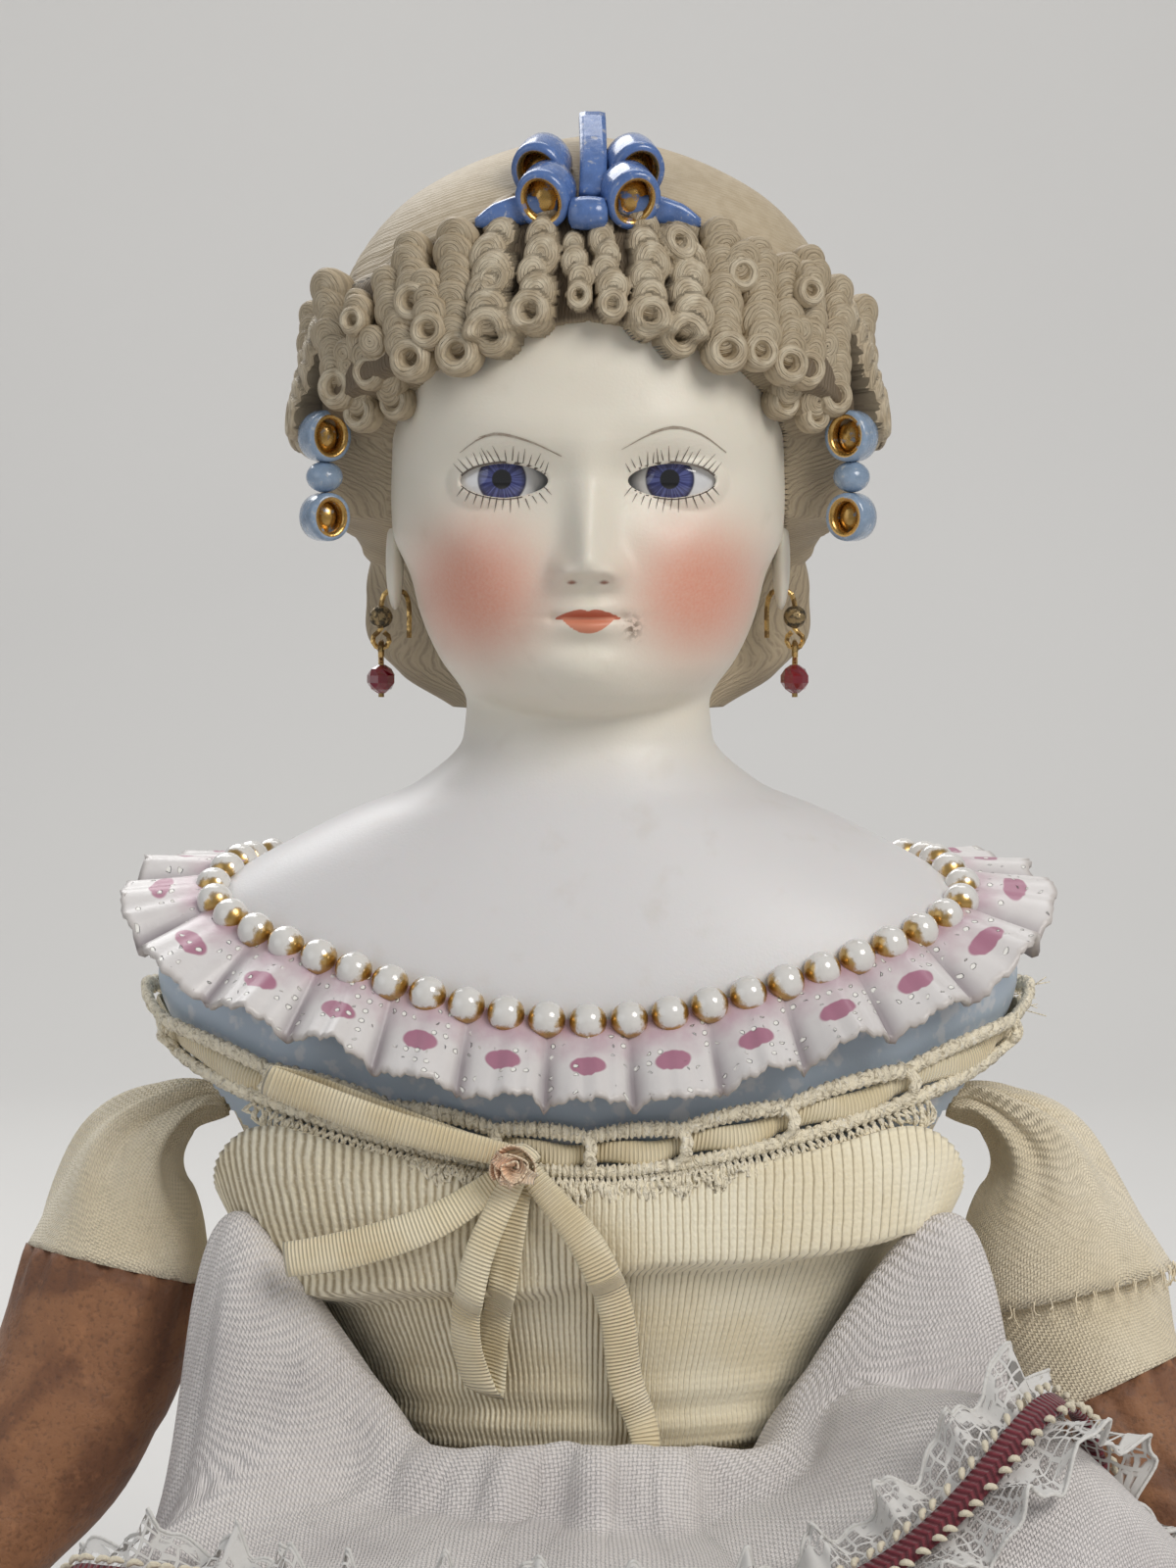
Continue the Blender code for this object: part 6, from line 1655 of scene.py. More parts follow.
def leather_relief(share, turn):
    """A puckered seam at the top, a sewn seam down the side and creases across the forearm."""
    pucker = 0.0005 * np.sin(18 * turn) * hump(share, 0, 0.06)
    seam = -0.0006 * hump(turn, 0.5 * math.pi, 0.10) * (share < 0.7)
    wrinkle = 0.0004 * np.sin(34 * share + 1.5 * np.sin(turn)) * (share > 0.15) * (share < 0.75)
    return pucker + seam + wrinkle


def arms(muslin):
    leather = leather_look("arm_leather", (0.30, 0.135, 0.060), (0.17, 0.070, 0.032))
    for side, word in ((-1, "right"), (1, "left")):
        stations = [(side * x, y, z, w, d) for x, y, z, w, d in arm_stations()]
        relief = pleats if side < 0 else loose_end
        sleeve = limb_points(stations, last=3, steps=12, around=97, relief=relief)
        if side > 0:
            down = unit(sleeve[-1] - sleeve[-4])
            sleeve = np.concatenate([sleeve, sleeve[-1:] + 0.0022 * down, sleeve[-1:] + 0.0044 * down])
        stuffed(f"muslin_sleeve_{word}", sleeve, muslin, f"upper_arm_{word}")
        start = 3
        if side > 0:
            frayed = fringe("frayed_edge", sleeve[-1][::3], np.array([0.15, 0.0, -1.0]), 0.0022)
            piece("frayed_edge", frayed, muslin, ["upper_arm_left"])
            lower = limb_points(stations, 3, 4, steps=16, relief=sleeve_tucks)
            stuffed("muslin_cuff_left", lower, muslin, "lower_sleeve_left")
            start = 4
        hand = limb_points(stations, start, steps=9, relief=leather_relief)
        stuffed(f"leather_forearm_{word}", hand, leather, f"leather_arm_{word}")
    line = limb_points(stations, 3, 4, steps=22, around=9)[:, 5]
    stitches = []
    for k, (start, end) in enumerate(zip(line[:-1:2], line[1::2])):
        outwards = np.array([0.0, -0.0004, 0.0])
        sideways = np.array([0.0005 * (-1) ** k, 0.0, 0.0])
        knots = [start + outwards - sideways, start + 2 * outwards, end + outwards]
        stitches.append(tube_mesh("stitch", knots, STITCH_RADIUS, 6))
    piece("sleeve_stitches", joined("sleeve_stitches", stitches), muslin, ["lower_sleeve_left"])


def leg_stations(side):
    hip_radius = LEG_RADIUS - 0.0020
    x = side * LEG_SPREAD
    ankle_y = HIP_Y - LEG_LENGTH
    return [
        (x * 0.80, HIP_Y, LEG_RADIUS + 0.0005, hip_radius, hip_radius),
        (x * 0.90, HIP_Y - 0.3 * LEG_LENGTH, LEG_RADIUS + 0.0005, LEG_RADIUS, LEG_RADIUS),
        (x, HIP_Y - 0.6 * LEG_LENGTH, LEG_RADIUS - 0.0005, LEG_RADIUS - 0.0022, LEG_RADIUS - 0.0022),
        (x, ankle_y, LEG_RADIUS - 0.0010, LEG_RADIUS - 0.0050, LEG_RADIUS - 0.0050),
    ]


def boot_meshes(x, ankle_y):
    """Shaft and foot, a welt and sole, a stacked heel and a row of buttons."""
    shaft = [
        (x, ankle_y, LEG_RADIUS - 0.0010, LEG_RADIUS - 0.0045, LEG_RADIUS - 0.0045),
        (x, ankle_y - 0.5 * BOOT_LENGTH, LEG_RADIUS - 0.0015, LEG_RADIUS - 0.0055, LEG_RADIUS - 0.0050),
        (x, ankle_y - 0.8 * BOOT_LENGTH, LEG_RADIUS - 0.0010, LEG_RADIUS - 0.0050, LEG_RADIUS - 0.0035),
        (x, ankle_y - BOOT_LENGTH, LEG_RADIUS, LEG_RADIUS - 0.0060, LEG_RADIUS - 0.0055),
    ]
    foot_y = ankle_y - 0.78 * BOOT_LENGTH
    foot = [
        (x, foot_y, 0.0095, 0.0080, 0.0070),
        (x, foot_y, 0.5 * BOOT_HEIGHT, 0.0088, 0.0078),
        (x, foot_y - 0.0005, 0.8 * BOOT_HEIGHT, 0.0078, 0.0062),
        (x, foot_y - 0.0015, BOOT_HEIGHT, 0.0030, 0.0030),
    ]
    upper = []
    for rows in (shaft, foot):
        points = closed_ends(limb_points(rows, steps=12, around=49, relief=boot_creases))
        upper.append(grid_mesh("upper", points, fields=thread_fields(points)))
    for k in range(BOOT_BUTTONS):
        centre = (x + 0.0075, ankle_y - 0.005 - BOOT_BUTTON_PITCH * k, LEG_RADIUS + 0.0065)
        upper.append(ball_mesh("button", centre, (0.0012, 0.0012, 0.0010), 16, 10))
    sole_y = ankle_y - BOOT_LENGTH - 0.0005
    outline = []
    for z in np.linspace(0.0012, BOOT_HEIGHT - 0.0008, 22):
        share = (z - 0.0012) / BOOT_HEIGHT
        half = 0.0078 * (1 - 0.25 * math.exp(-(((share - 0.40) / 0.16) ** 2)))
        outline.append((x, sole_y, z, half * min(1.0, 4.2 * (1.02 - share)) ** 0.5, 0.0011))
    points = closed_ends(limb_points(outline, steps=2, around=25))
    lower = [grid_mesh("sole", points)]
    heel = [(x, sole_y - depth, 0.0064, 0.0060, 0.0056) for depth in (0.0, 0.0014, 0.0030)]
    points = closed_ends(limb_points(heel, steps=3, around=33))
    lower.append(grid_mesh("heel", points))
    return upper, lower


def legs(muslin):
    boots = leather_look("boot_leather", (0.075, 0.045, 0.030), (0.035, 0.021, 0.014), 0.0005)
    for side, word in ((-1, "right"), (1, "left")):
        rows = limb_points(leg_stations(side), steps=14, relief=leg_gathers)
        stuffed(f"stuffed_leg_{word}", rows, muslin, f"leg_{word}")
        upper, lower = boot_meshes(side * LEG_SPREAD, HIP_Y - LEG_LENGTH - CLEARANCE)
        piece(f"ankle_boot_{word}", joined("boot", upper + lower), boots, [f"boot_{word}"])


# Knitted bodice


def lace_z(theta):
    """Height of the lower edge of the crochet edging."""
    return LACE_FRONT_Z + LACE_RISE * np.clip(1 - np.cos(theta), 0, 1)


def knit_top_z(theta):
    """Height of the upper edge of the knit, which dips under the arms."""
    dip = np.exp(-(((np.degrees(np.abs(theta)) - 92) / 26) ** 4))
    return (lace_z(theta) - CLEARANCE) * (1 - dip) + (BUST_Z - ARMHOLE_DIP) * dip


def knit_radius(theta, z):
    drape = 0.0020 * np.clip((BUST_Z - z) / 0.030, 0, 1) * np.clip((z - KNIT_HEM_Z) / 0.010, 0.3, 1)
    crease = 0.0012 * hump(z, between(WAIST_Z, BUST_Z, 0.49), 0.0035)
    return body_radius(theta, z) + KNIT_GAP + drape - crease * (np.cos(theta) > 0) * np.cos(theta)


def knit_surface(theta, z):
    """Outside of the knit: full at the sides, bloused over a fold above the waist, with a ridged hem."""
    front = np.clip(np.cos(theta) + 0.35, 0, 1)
    fold_z = KNIT_FOLD_Z + 0.0040 * np.sin(1.2 * theta) * (np.cos(theta) > 0) + 0.0007 * np.sin(7 * theta)
    above = z - fold_z
    over = smooth_step(-0.0010, 0.0014, above)
    blouse = 0.0034 * np.exp(-(np.clip(above, 0, 1) / 0.0100)) * over
    full = 0.0045 * over * hump(np.degrees(np.abs(theta)), 62, 22) * smooth_step(0.1300, 0.1120, z)
    ridge = 0.0009 * hump(z - KNIT_HEM_Z, 0.0035, 0.0016) + 0.0006 * hump(z - KNIT_HEM_Z, 0.0085, 0.0018)
    slack = 0.0004 * np.sin(9 * theta + 120 * z) * np.clip((BUST_Z - z) / 0.02, 0, 1)
    snug = body_radius(theta, z) + 0.0018
    plain = knit_radius(theta, z) + KNIT_THICKNESS
    return plain + (snug - plain) * (1 - over) * front + (blouse + ridge) * front + full + slack * over


def knit_look():
    """Fine rib knit: columns of slanted stitches with painted shade in the furrows between them and faintly
    between the stitches, and a little fuzz.
    """
    look = Look("knit", 0.92, Sheen_Weight=0.35, Sheen_Roughness=0.5)
    rib, course = look.field("rib"), look.field("course")
    wobble = look.maths("MULTIPLY_ADD", look.noise(0.003, 2.0), 0.35, rib)
    off = look.times(look.maths("ABSOLUTE", look.from_middle(wobble)), 2.0)
    stitch = look.wave(look.maths("MULTIPLY_ADD", off, 0.5, course), 1.0)
    base = look.mix(look.step(look.noise(0.014, 3.0), 0.35, 0.7), (1.0, 0.93, 0.73), (0.93, 0.83, 0.60))
    # Painted shade: the furrows between the ribs darkened.
    furrow = look.times(look.step(off, 0.42, 1.0), 0.88)
    base = look.mix(furrow, base, (0.33, 0.26, 0.155))
    # Painted shade: faintly darker between the stitches.
    base = look.stain(base, look.step(stitch, 0.35, 0.0), 0.05, (0.36, 0.30, 0.20))
    fuzz = look.step(look.noise(0.0005, 2.0), 0.5, 0.8)
    look.colour(look.mix(look.times(fuzz, 0.3), base, (0.98, 0.93, 0.80)))
    look.bump(stitch, 0.00003)
    look.bump(look.noise(0.0004, 2.0), 0.00012)
    return look


def knit_bodice():
    count = RIB_COUNT * 4
    theta = np.linspace(-math.pi, math.pi, count + 1)
    top = knit_top_z(theta)
    rib = RIB_COUNT * (theta / math.pi + 1) * 0.5
    ridges = RIB_DEPTH * np.cos(2 * math.pi * (rib - 0.5))
    rows, course = [], []
    for share in np.linspace(0, 1, 44):
        z = KNIT_HEM_Z + (top - KNIT_HEM_Z) * share
        rows.append(at_radius(theta, z, knit_surface(theta, z) + ridges))
        course.append((z - KNIT_HEM_Z) / COURSE_PITCH)
    inwards, edge = [0.96, 0.96, 1.0], [0, 0, 0.0006]
    points = np.array([rows[0] * inwards + edge, *rows, rows[-1] * inwards - np.array(edge)])
    course = [course[0], *course, course[-1]]
    fields = {"rib": np.broadcast_to(rib, points.shape[:2]), "course": np.array(course)}
    mesh = grid_mesh("rib_bodice", points, fields=fields)
    obj = piece("rib_bodice", mesh, knit_look(), ["knit_bodice"])


# Crochet edging and its ribbon


def crochet_look():
    look = Look("crochet", 0.9, Sheen_Weight=0.3, Sheen_Roughness=0.5)
    loops = look.noise(0.0011, 3.0, warp=1.5)
    base = look.mix(look.noise(0.008, 3.0), (1.0, 0.92, 0.73), (0.90, 0.81, 0.61))
    # Painted shade where the loops sink, painted highlight where they rise.
    base = look.stain(base, look.step(loops, 0.46, 0.34), 0.65, (0.40, 0.33, 0.22))
    base = look.mix(look.step(loops, 0.58, 0.72), base, (1.0, 0.95, 0.82))
    look.colour(base)
    look.bump(loops, 0.00075)
    return look


def edging_point(theta, z, lift):
    return at_radius(theta, z, body_radius(theta, z) + RIBBON_THICKNESS + 3 * CLEARANCE + lift)


def crochet_band(low, high, thickness, scallop, theta):
    """A rope of crochet stitches round the shoulders, between two heights over the lace line."""
    eyelet = EYELET_COUNT * (theta + math.pi) / (2 * math.pi)
    wide = 0.5 * (high - low)
    middle = lace_z(theta) + 0.5 * (low + high) + scallop * np.abs(np.sin(math.pi * eyelet)) ** 0.7
    stitch = 0.00022 * np.sin(2 * math.pi * 15 * eyelet) + 0.00014 * np.sin(2 * math.pi * 37 * eyelet + 1.0)
    rows = []
    for turn in np.linspace(0, 2 * math.pi, 15):
        z = middle + (wide + stitch) * math.sin(turn)
        lift = 0.5 * thickness * (1 + math.cos(turn)) + stitch * math.cos(turn)
        rows.append(edging_point(theta, z, lift))
    return grid_mesh("band", np.array(rows))


def crochet_post(at):
    """A knotted post between two eyelets, worked of a thick thread up and a thin one down."""
    low = float(lace_z(at))
    knots = [
        edging_point(at - 0.012, low + 0.0012, 0.0008),
        edging_point(at + 0.006, low + 0.0028, 0.0018),
        edging_point(at - 0.004, low + 0.5 * LACE_HEIGHT, 0.0022),
        edging_point(at + 0.008, low + LACE_HEIGHT - 0.0026, 0.0018),
        edging_point(at - 0.006, low + LACE_HEIGHT - 0.0010, 0.0008),
    ]
    beside = [point + [0.0006, 0, 0] for point in knots[::-1]]
    thick, thin = LACE_POST_RADII
    return [
        tube_mesh("post", smooth_route(knots, 16), thick, 8),
        tube_mesh("post", smooth_route(beside, 16), thin, 8),
    ]


def crochet_loops():
    """Curly loops of thread that hang from the edging onto the knit."""
    meshes = []
    count = EYELET_COUNT * LOOPS_PER_EYELET
    for k in range(count):
        at = -math.pi + 2 * math.pi * (k + 0.4 * math.sin(3.1 * k)) / count
        low = float(lace_z(at)) - 0.0004
        if low - float(knit_top_z(at)) > 0.004:
            continue
        drop = 0.0017 + 0.0013 * math.sin(5.7 * k)
        step = 0.016 + 0.014 * math.sin(2.9 * k)
        knots = [
            edging_point(at, low + 0.0008, 0.0016),
            edging_point(at + step, low - 0.5 * drop, 0.0030),
            edging_point(at + 0.4 * step, low - drop, 0.0026),
            edging_point(at - 0.5 * step, low - 0.3 * drop, 0.0030),
            edging_point(at + 0.2 * step, low + 0.0007, 0.0018),
        ]
        meshes.append(tube_mesh("loop", smooth_route(knots, 11), LACE_LOOP_RADIUS, 5))
    return meshes


def crochet_edging():
    """Two rows of crochet joined by knotted posts, with curly loops below them."""
    theta = np.linspace(-math.pi, math.pi, EYELET_COUNT * 60 + 1)
    meshes = [
        crochet_band(0.0, 0.0021, 0.0015, 0.0, theta),
        crochet_band(LACE_HEIGHT - 0.0023, LACE_HEIGHT - 0.0002, 0.0013, 0.0010, theta),
    ]
    for k in range(EYELET_COUNT):
        meshes.extend(crochet_post(-math.pi + 2 * math.pi * k / EYELET_COUNT))
    meshes.extend(crochet_loops())
    look = crochet_look()
    piece("crochet_trim", joined("crochet_trim", meshes), look, ["crochet_edging"])
    at = math.radians(98)
    end = edging_point(at, float(lace_z(at)) + 0.5 * LACE_HEIGHT, 0.0012)
    line = np.array([end + [0, 0, 0.0006 * k] for k in range(-3, 4)])
    tuft = fringe("loose_threads", line, np.array([0.9, -0.1, 0.2]), 0.0042)
    piece("loose_threads", tuft, look, ["crochet_edging"])


def grosgrain_look(name, pale, deep):
    """Ribbed silk ribbon: fine cords across it with painted shade between them, and a silky sheen."""
    look = Look(name, 0.48, Sheen_Weight=0.4, Sheen_Roughness=0.35)
    cord = look.wave(look.field("along"), 1.0 / 0.00056)
    base = look.mix(look.step(look.noise(0.009, 3.0), 0.3, 0.7), pale, deep)
    # Painted shade: darker between the cords.
    base = look.stain(base, look.step(cord, 0.55, 0.05), 0.3, tuple(0.45 * c for c in deep))
    selvedge = look.step(look.field("rim"), 0.80, 0.92)
    base = look.stain(base, selvedge, 0.35, (0.84, 0.77, 0.56))
    look.colour(base)
    look.bump(cord, 0.00022)
    return look


def threaded_ribbon(look):
    """The ribbon in the edging: it puffs out in each eyelet and narrows behind each post."""
    theta = np.linspace(-math.pi, math.pi, EYELET_COUNT * 24, endpoint=False)
    eyelet = EYELET_COUNT * (theta + math.pi) / (2 * math.pi)
    puff = np.abs(np.sin(math.pi * eyelet)) ** 0.8
    z = lace_z(theta) + 0.5 * LACE_HEIGHT + 0.0003 * np.sin(2 * math.pi * eyelet)
    line = at_radius(theta, z, body_radius(theta, z) + 0.0006 + 0.0009 * puff)
    up = np.array([0.0, 0.0, 1.0]) + 0.30 * np.sin(2 * math.pi * eyelet)[:, None] * unit(line * [1, 1, 0])
    width = RIBBON_WIDTH * (0.72 + 0.22 * puff)
    mesh = ribbon_mesh("ribbon", line, up, width, RIBBON_THICKNESS, closed=True, rise=0.0004)
    piece("woven_ribbon", mesh, look, ["threaded_ribbon"])


def front_of_bodice(x, z, lift):
    """A point lift in front of the knit at x, z."""
    theta = 0.0
    outer = 0.035
    for _ in range(8):
        outer = float(knit_surface(theta, z))
        theta = math.asin(max(-0.99, min(0.99, x / outer)))
    outwards = np.array([math.sin(theta), -math.cos(theta), 0])
    return np.array([x, -outer * math.cos(theta), z]) + lift * outwards


def laid_ribbon(name, route):
    """A ribbon on the bodice through places across, up and over the knit, each with its share of width."""
    knots = [(BOW_X + x, BOW_Z + z, lift, ROUTE_WIDTH_SCALE * width) for x, z, lift, width in route]
    rows = smooth_route(knots, 44)
    line = np.array([front_of_bodice(x, z, lift) for x, z, lift, _ in rows])
    outwards = unit(line * [1, 1, 0])
    along = unit(np.gradient(line, axis=0))
    across = np.cross(outwards, along)
    for k in range(1, len(across)):
        across[k] *= 1 if np.dot(across[k], across[k - 1]) > 0 else -1
    for _ in range(4):
        across[1:-1] = unit(across[:-2] + 2 * across[1:-1] + across[2:])
    width = BOW_TAIL_WIDTH * rows[:, 3] / ROUTE_WIDTH_SCALE
    return ribbon_mesh(name, line, across, width, RIBBON_THICKNESS, rise=0.0003)


def rosebud():
    """A rosebud rolled from folded ribbon, with two outer petals."""
    look = grosgrain_look("rosebud", (1.0, 0.80, 0.58), (1.0, 0.52, 0.30))
    centre = front_of_bodice(BOW_X, BOW_Z, 2 * BOW_KNOT_RADIUS + 3 * CLEARANCE + 0.6 * ROSEBUD_RADIUS)
    out = unit(centre * [1, 1, 0])
    right, up = np.array([1.0, 0, 0]), np.array([0, 0, 1.0])
    turn = np.linspace(0, 5.2 * math.pi, 90)
    radius = 0.0005 + 0.0026 * (turn / turn[-1]) ** 0.8
    wave = 0.0003 * np.sin(2.3 * turn)
    across, height = radius * np.cos(turn), 0.85 * radius * np.sin(turn) + wave
    line = centre + across[:, None] * right + height[:, None] * up
    line = line - out * (0.0003 * turn / math.pi)[:, None]
    lean = unit(line - centre + 1e-9)
    mesh = ribbon_mesh("bud", line, out + 0.35 * lean, 0.0022, 0.0003)
    petals = [mesh]
    for angle, reach in ((-0.5, 0.0034), (2.6, 0.0032), (-2.0, 0.0030)):
        way = math.cos(angle) * right + math.sin(angle) * up
        side = np.cross(way, out)
        middle, tip = centre + 0.6 * reach * way, centre + reach * way
        petal = smooth_route([centre - out * 0.0010, middle + out * 0.0006, tip - out * 0.0004], 12)
        width = np.linspace(0.0030, 0.0016, 12)
        petals.append(ribbon_mesh("petal", petal, side, width, 0.0004, rise=0.0006))
    piece("ribbon_rosebud", joined("ribbon_rosebud", petals), look, ["rosebud"])


def bow():
    look = grosgrain_look("ribbon", (1.0, 0.89, 0.64), (0.88, 0.735, 0.46))
    threaded_ribbon(look)
    meshes = [laid_ribbon(name, route) for name, route in BOW_ROUTES.items()]
    knot = front_of_bodice(BOW_X, BOW_Z, BOW_KNOT_RADIUS + 2 * CLEARANCE)
    for tilt in (-0.5, 0.6):
        turn = np.linspace(0, 2 * math.pi, 40, endpoint=False)[:, None]
        out = unit(knot * [1, 1, 0])
        up = np.array([math.sin(tilt), 0, math.cos(tilt)])
        line = knot + 1.05 * BOW_KNOT_RADIUS * (np.cos(turn) * up + 0.8 * np.sin(turn) * out)
        across = np.cross(up, out)
        meshes.append(ribbon_mesh("wrap", line, across, 0.0034, 0.0006, closed=True, rise=0.0003))
    meshes.append(ball_mesh("knot", knot, (0.9 * BOW_KNOT_RADIUS,) * 3))
    piece("silk_bow", joined("silk_bow", meshes), look, ["ribbon_bow"])
    rosebud()


# Lowered dress, its lace and its braid


def bump_at(theta, centre_deg, breadth_deg):
    return hump(np.degrees(theta), centre_deg, breadth_deg)


def crowded_in_front(even):
    """Azimuths that crowd together in front, where most of the dress is."""
    return even - DRESS_CROWDING * np.sin(even)


def dress_path(theta):
    """Waist, bunched roll, lap and hem of the dress at azimuth theta, as (radius, height) pairs."""
    front = np.clip(np.cos(theta), 0, 1) ** 1.5
    back = np.clip(-np.cos(theta), 0, 1)
    side = 1 - front - back
    lobes = bump_at(theta, LOBE_AZIMUTH_DEG, 15) + bump_at(theta, -LOBE_AZIMUTH_DEG, 15)
    top_z = WAIST_Z - 0.0050 + LOBE_RISE * lobes + 0.0030 * back
    waist = knit_radius(theta, np.maximum(top_z, KNIT_HEM_Z)) + KNIT_THICKNESS + WAIST_GAP
    hem = DRESS_FRONT_REACH * front + DRESS_BACK_REACH * back + DRESS_SIDE_REACH * side
    in_front = 1 - smooth_step(50, 68, np.abs(np.degrees(theta)))
    lap_z = between(SIDE_LAP_HEIGHT, LAP_HEIGHT, in_front) + LIFTED_FOLD_RISE * bump_at(theta, 46, 15)
    lap_r = np.minimum(LAP_REACH, 0.75 * hem)
    return (
        (waist, top_z),
        (waist + 0.0090 + 0.0010 * lobes, top_z + 0.0015),
        (waist + 0.0200 - 0.0020 * side, 0.5 * (top_z + lap_z) + 0.0040 * in_front - 0.0010),
        (lap_r, lap_z),
        (0.5 * (lap_r + hem) + 0.0060, 0.55 * lap_z),
        (hem, 0.0 * top_z),
    )


def dress_point(theta, share):
    """A point on the dress of the CAD, from its top, share 0, to its hem, share 1."""
    path = dress_path(theta)
    at = share * (len(path) - 1)
    i = int(min(math.floor(at), len(path) - 2))
    t = at - i
    knots = [path[max(i - 1, 0)], path[i], path[i + 1], path[min(i + 2, len(path) - 1)]]
    weights = (
        0.5 * (-t + 2 * t**2 - t**3),
        0.5 * (2 - 5 * t**2 + 3 * t**3),
        0.5 * (t + 4 * t**2 - 3 * t**3),
        0.5 * (-(t**2) + t**3),
    )
    radius = sum(w * k[0] for w, k in zip(weights, knots))
    z = sum(w * k[1] for w, k in zip(weights, knots))
    folds = DRESS_FOLD_DEPTH * np.sin(DRESS_FOLDS * theta) * min(1.0, 2 * share)
    point = at_radius(theta, z, radius + folds)
    over_legs = (2 * LEG_RADIUS + 0.0040) * (1 - smooth_step(0.0380, 0.0540, np.abs(point[..., 0])))
    point[..., 2] = np.maximum(point[..., 2], np.where(point[..., 1] < -0.04, over_legs, 0.0))
    return point


def gathered(theta, share):
    """Soft gathers over the plain form of the dress: how far it stands out, and up."""
    shown = min(1.0, 4 * share) * (1 - 0.5 * share)
    front = np.clip(np.cos(theta), 0, 1) ** 2
    deep = np.sin(17 * theta + 2.2 * np.sin(3 * theta) + 5 * share)
    fine = np.sin(37 * theta + 3.0 * np.sin(2 * theta + 1) - 7 * share)
    finest = np.sin(83 * theta + 4.0 * np.sin(5 * theta) + 11 * share)
    sharp = np.sign(deep) * np.abs(deep) ** 0.7
    out = shown * (0.0016 * sharp + (0.0007 * fine + 0.0002 * finest) * (1 - 0.7 * front))
    lobes = bump_at(theta, LOBE_AZIMUTH_DEG, 24) + bump_at(theta, -LOBE_AZIMUTH_DEG, 24)
    roll = (0.0072 * front + 0.0030 * lobes) * hump(share, 0.15, 0.10)
    crease = -0.0032 * front * hump(share - 0.34, 0.03 * np.sin(5 * theta), 0.06)
    return out, roll + crease + 0.25 * np.abs(out)


def lowered_dress():
    theta = crowded_in_front(np.linspace(-math.pi, math.pi, 641))
    rows = []
    for share in np.concatenate([np.linspace(0, 0.5, 38), np.linspace(0.5, 1, 28)[1:]]):
        point = dress_point(theta, share)
        out, up = gathered(theta, share)
        lift = out + DRESS_THICKNESS
        point[..., 0] += lift * np.sin(theta)
        point[..., 1] -= lift * np.cos(theta)
        point[..., 2] = np.maximum(point[..., 2] + up * (1 - share), 0.0008)
        rows.append(point)
    inner = rows[0] * [0.965, 0.965, 1.0] - [0, 0, 0.0030]
    points = np.array([inner, *rows])
    look = cloth_look("lawn", (0.88, 0.835, 0.81), (0.75, 0.705, 0.69), 0.00062, 0.42, drift=2.0)
    mesh = grid_mesh("gauze_dress", points, fields=thread_fields(points))
    obj = piece("gauze_dress", mesh, look, ["lawn_dress"])
    solid = obj.modifiers.new("thickness", "SOLIDIFY")
    solid.thickness = 0.0004
    solid.offset = -1.0


def eased(directions):
    for _ in range(3):
        directions = unit(np.roll(directions, 1, axis=0) + 2 * directions + np.roll(directions, -1, axis=0))
    return directions


def trim_line(count):
    """Centre line of the lace on the dress, with the way down the skirt and the way out of it."""
    theta = crowded_in_front(np.linspace(-math.pi, math.pi, 84, endpoint=False))
    line = dress_point(theta, 0.6)
    down = unit(dress_point(theta, 0.7) - dress_point(theta, 0.5))
    along = unit(np.roll(line, -1, axis=0) - np.roll(line, 1, axis=0))
    out = unit(np.cross(along, down))
    out *= np.sign(out[:, 2])[:, None]
    out, down = eased(out), eased(down)
    down = unit(down - np.sum(down * out, axis=1, keepdims=True) * out)
    rows = np.concatenate([line, 0.001 * down, 0.001 * out], axis=1)
    rows = smooth_route(np.concatenate([rows, rows[:1]]), count + 1)
    length = float(np.linalg.norm(np.diff(rows[:, :3], axis=0), axis=1).sum())
    return rows[:, :3], unit(rows[:, 3:6]), unit(rows[:, 6:9]), length


def lace_look():
    """Net lace: thread round open cells, closer-worked flowers, and a corded edge."""
    look = Look("lace", 0.85, Sheen_Weight=0.25, Sheen_Roughness=0.5)
    place_on = look.node("CombineXYZ")
    look.feed(place_on.inputs[0], look.field("warp"))
    look.feed(place_on.inputs[1], look.field("weft"))
    cells = look.node("TexVoronoi", feature="DISTANCE_TO_EDGE")
    cells.inputs["Scale"].default_value = 1.0 / LACE_CELL
    cells.inputs["Randomness"].default_value = 0.45
    look.feed(cells.inputs["Vector"], place_on.outputs[0])
    thread = look.step(cells.outputs["Distance"], 0.15, 0.09)
    flowers = look.node("TexNoise")
    flowers.inputs["Scale"].default_value = 1.0 / LACE_FLOWER
    flowers.inputs["Detail"].default_value = 1.0
    look.feed(flowers.inputs["Vector"], place_on.outputs[0])
    dense = look.step(flowers.outputs["Fac"], 0.52, 0.56)
    dense = look.times(dense, look.step(cells.outputs["Distance"], 0.40, 0.25))
    edge = look.step(look.field("rim"), 0.93, 0.96)
    cover = look.maths("MAXIMUM", look.maths("MAXIMUM", thread, dense), edge)
    look.feed(look.shader.inputs["Alpha"], cover)
    base = look.mix(look.noise(0.010, 3.0), (0.76, 0.755, 0.745), (0.64, 0.62, 0.585))
    base = look.stain(base, look.noise(0.0004, 2.0), 0.35, (0.50, 0.48, 0.44))
    look.colour(base)
    look.bump(cover, 0.00025)
    return look


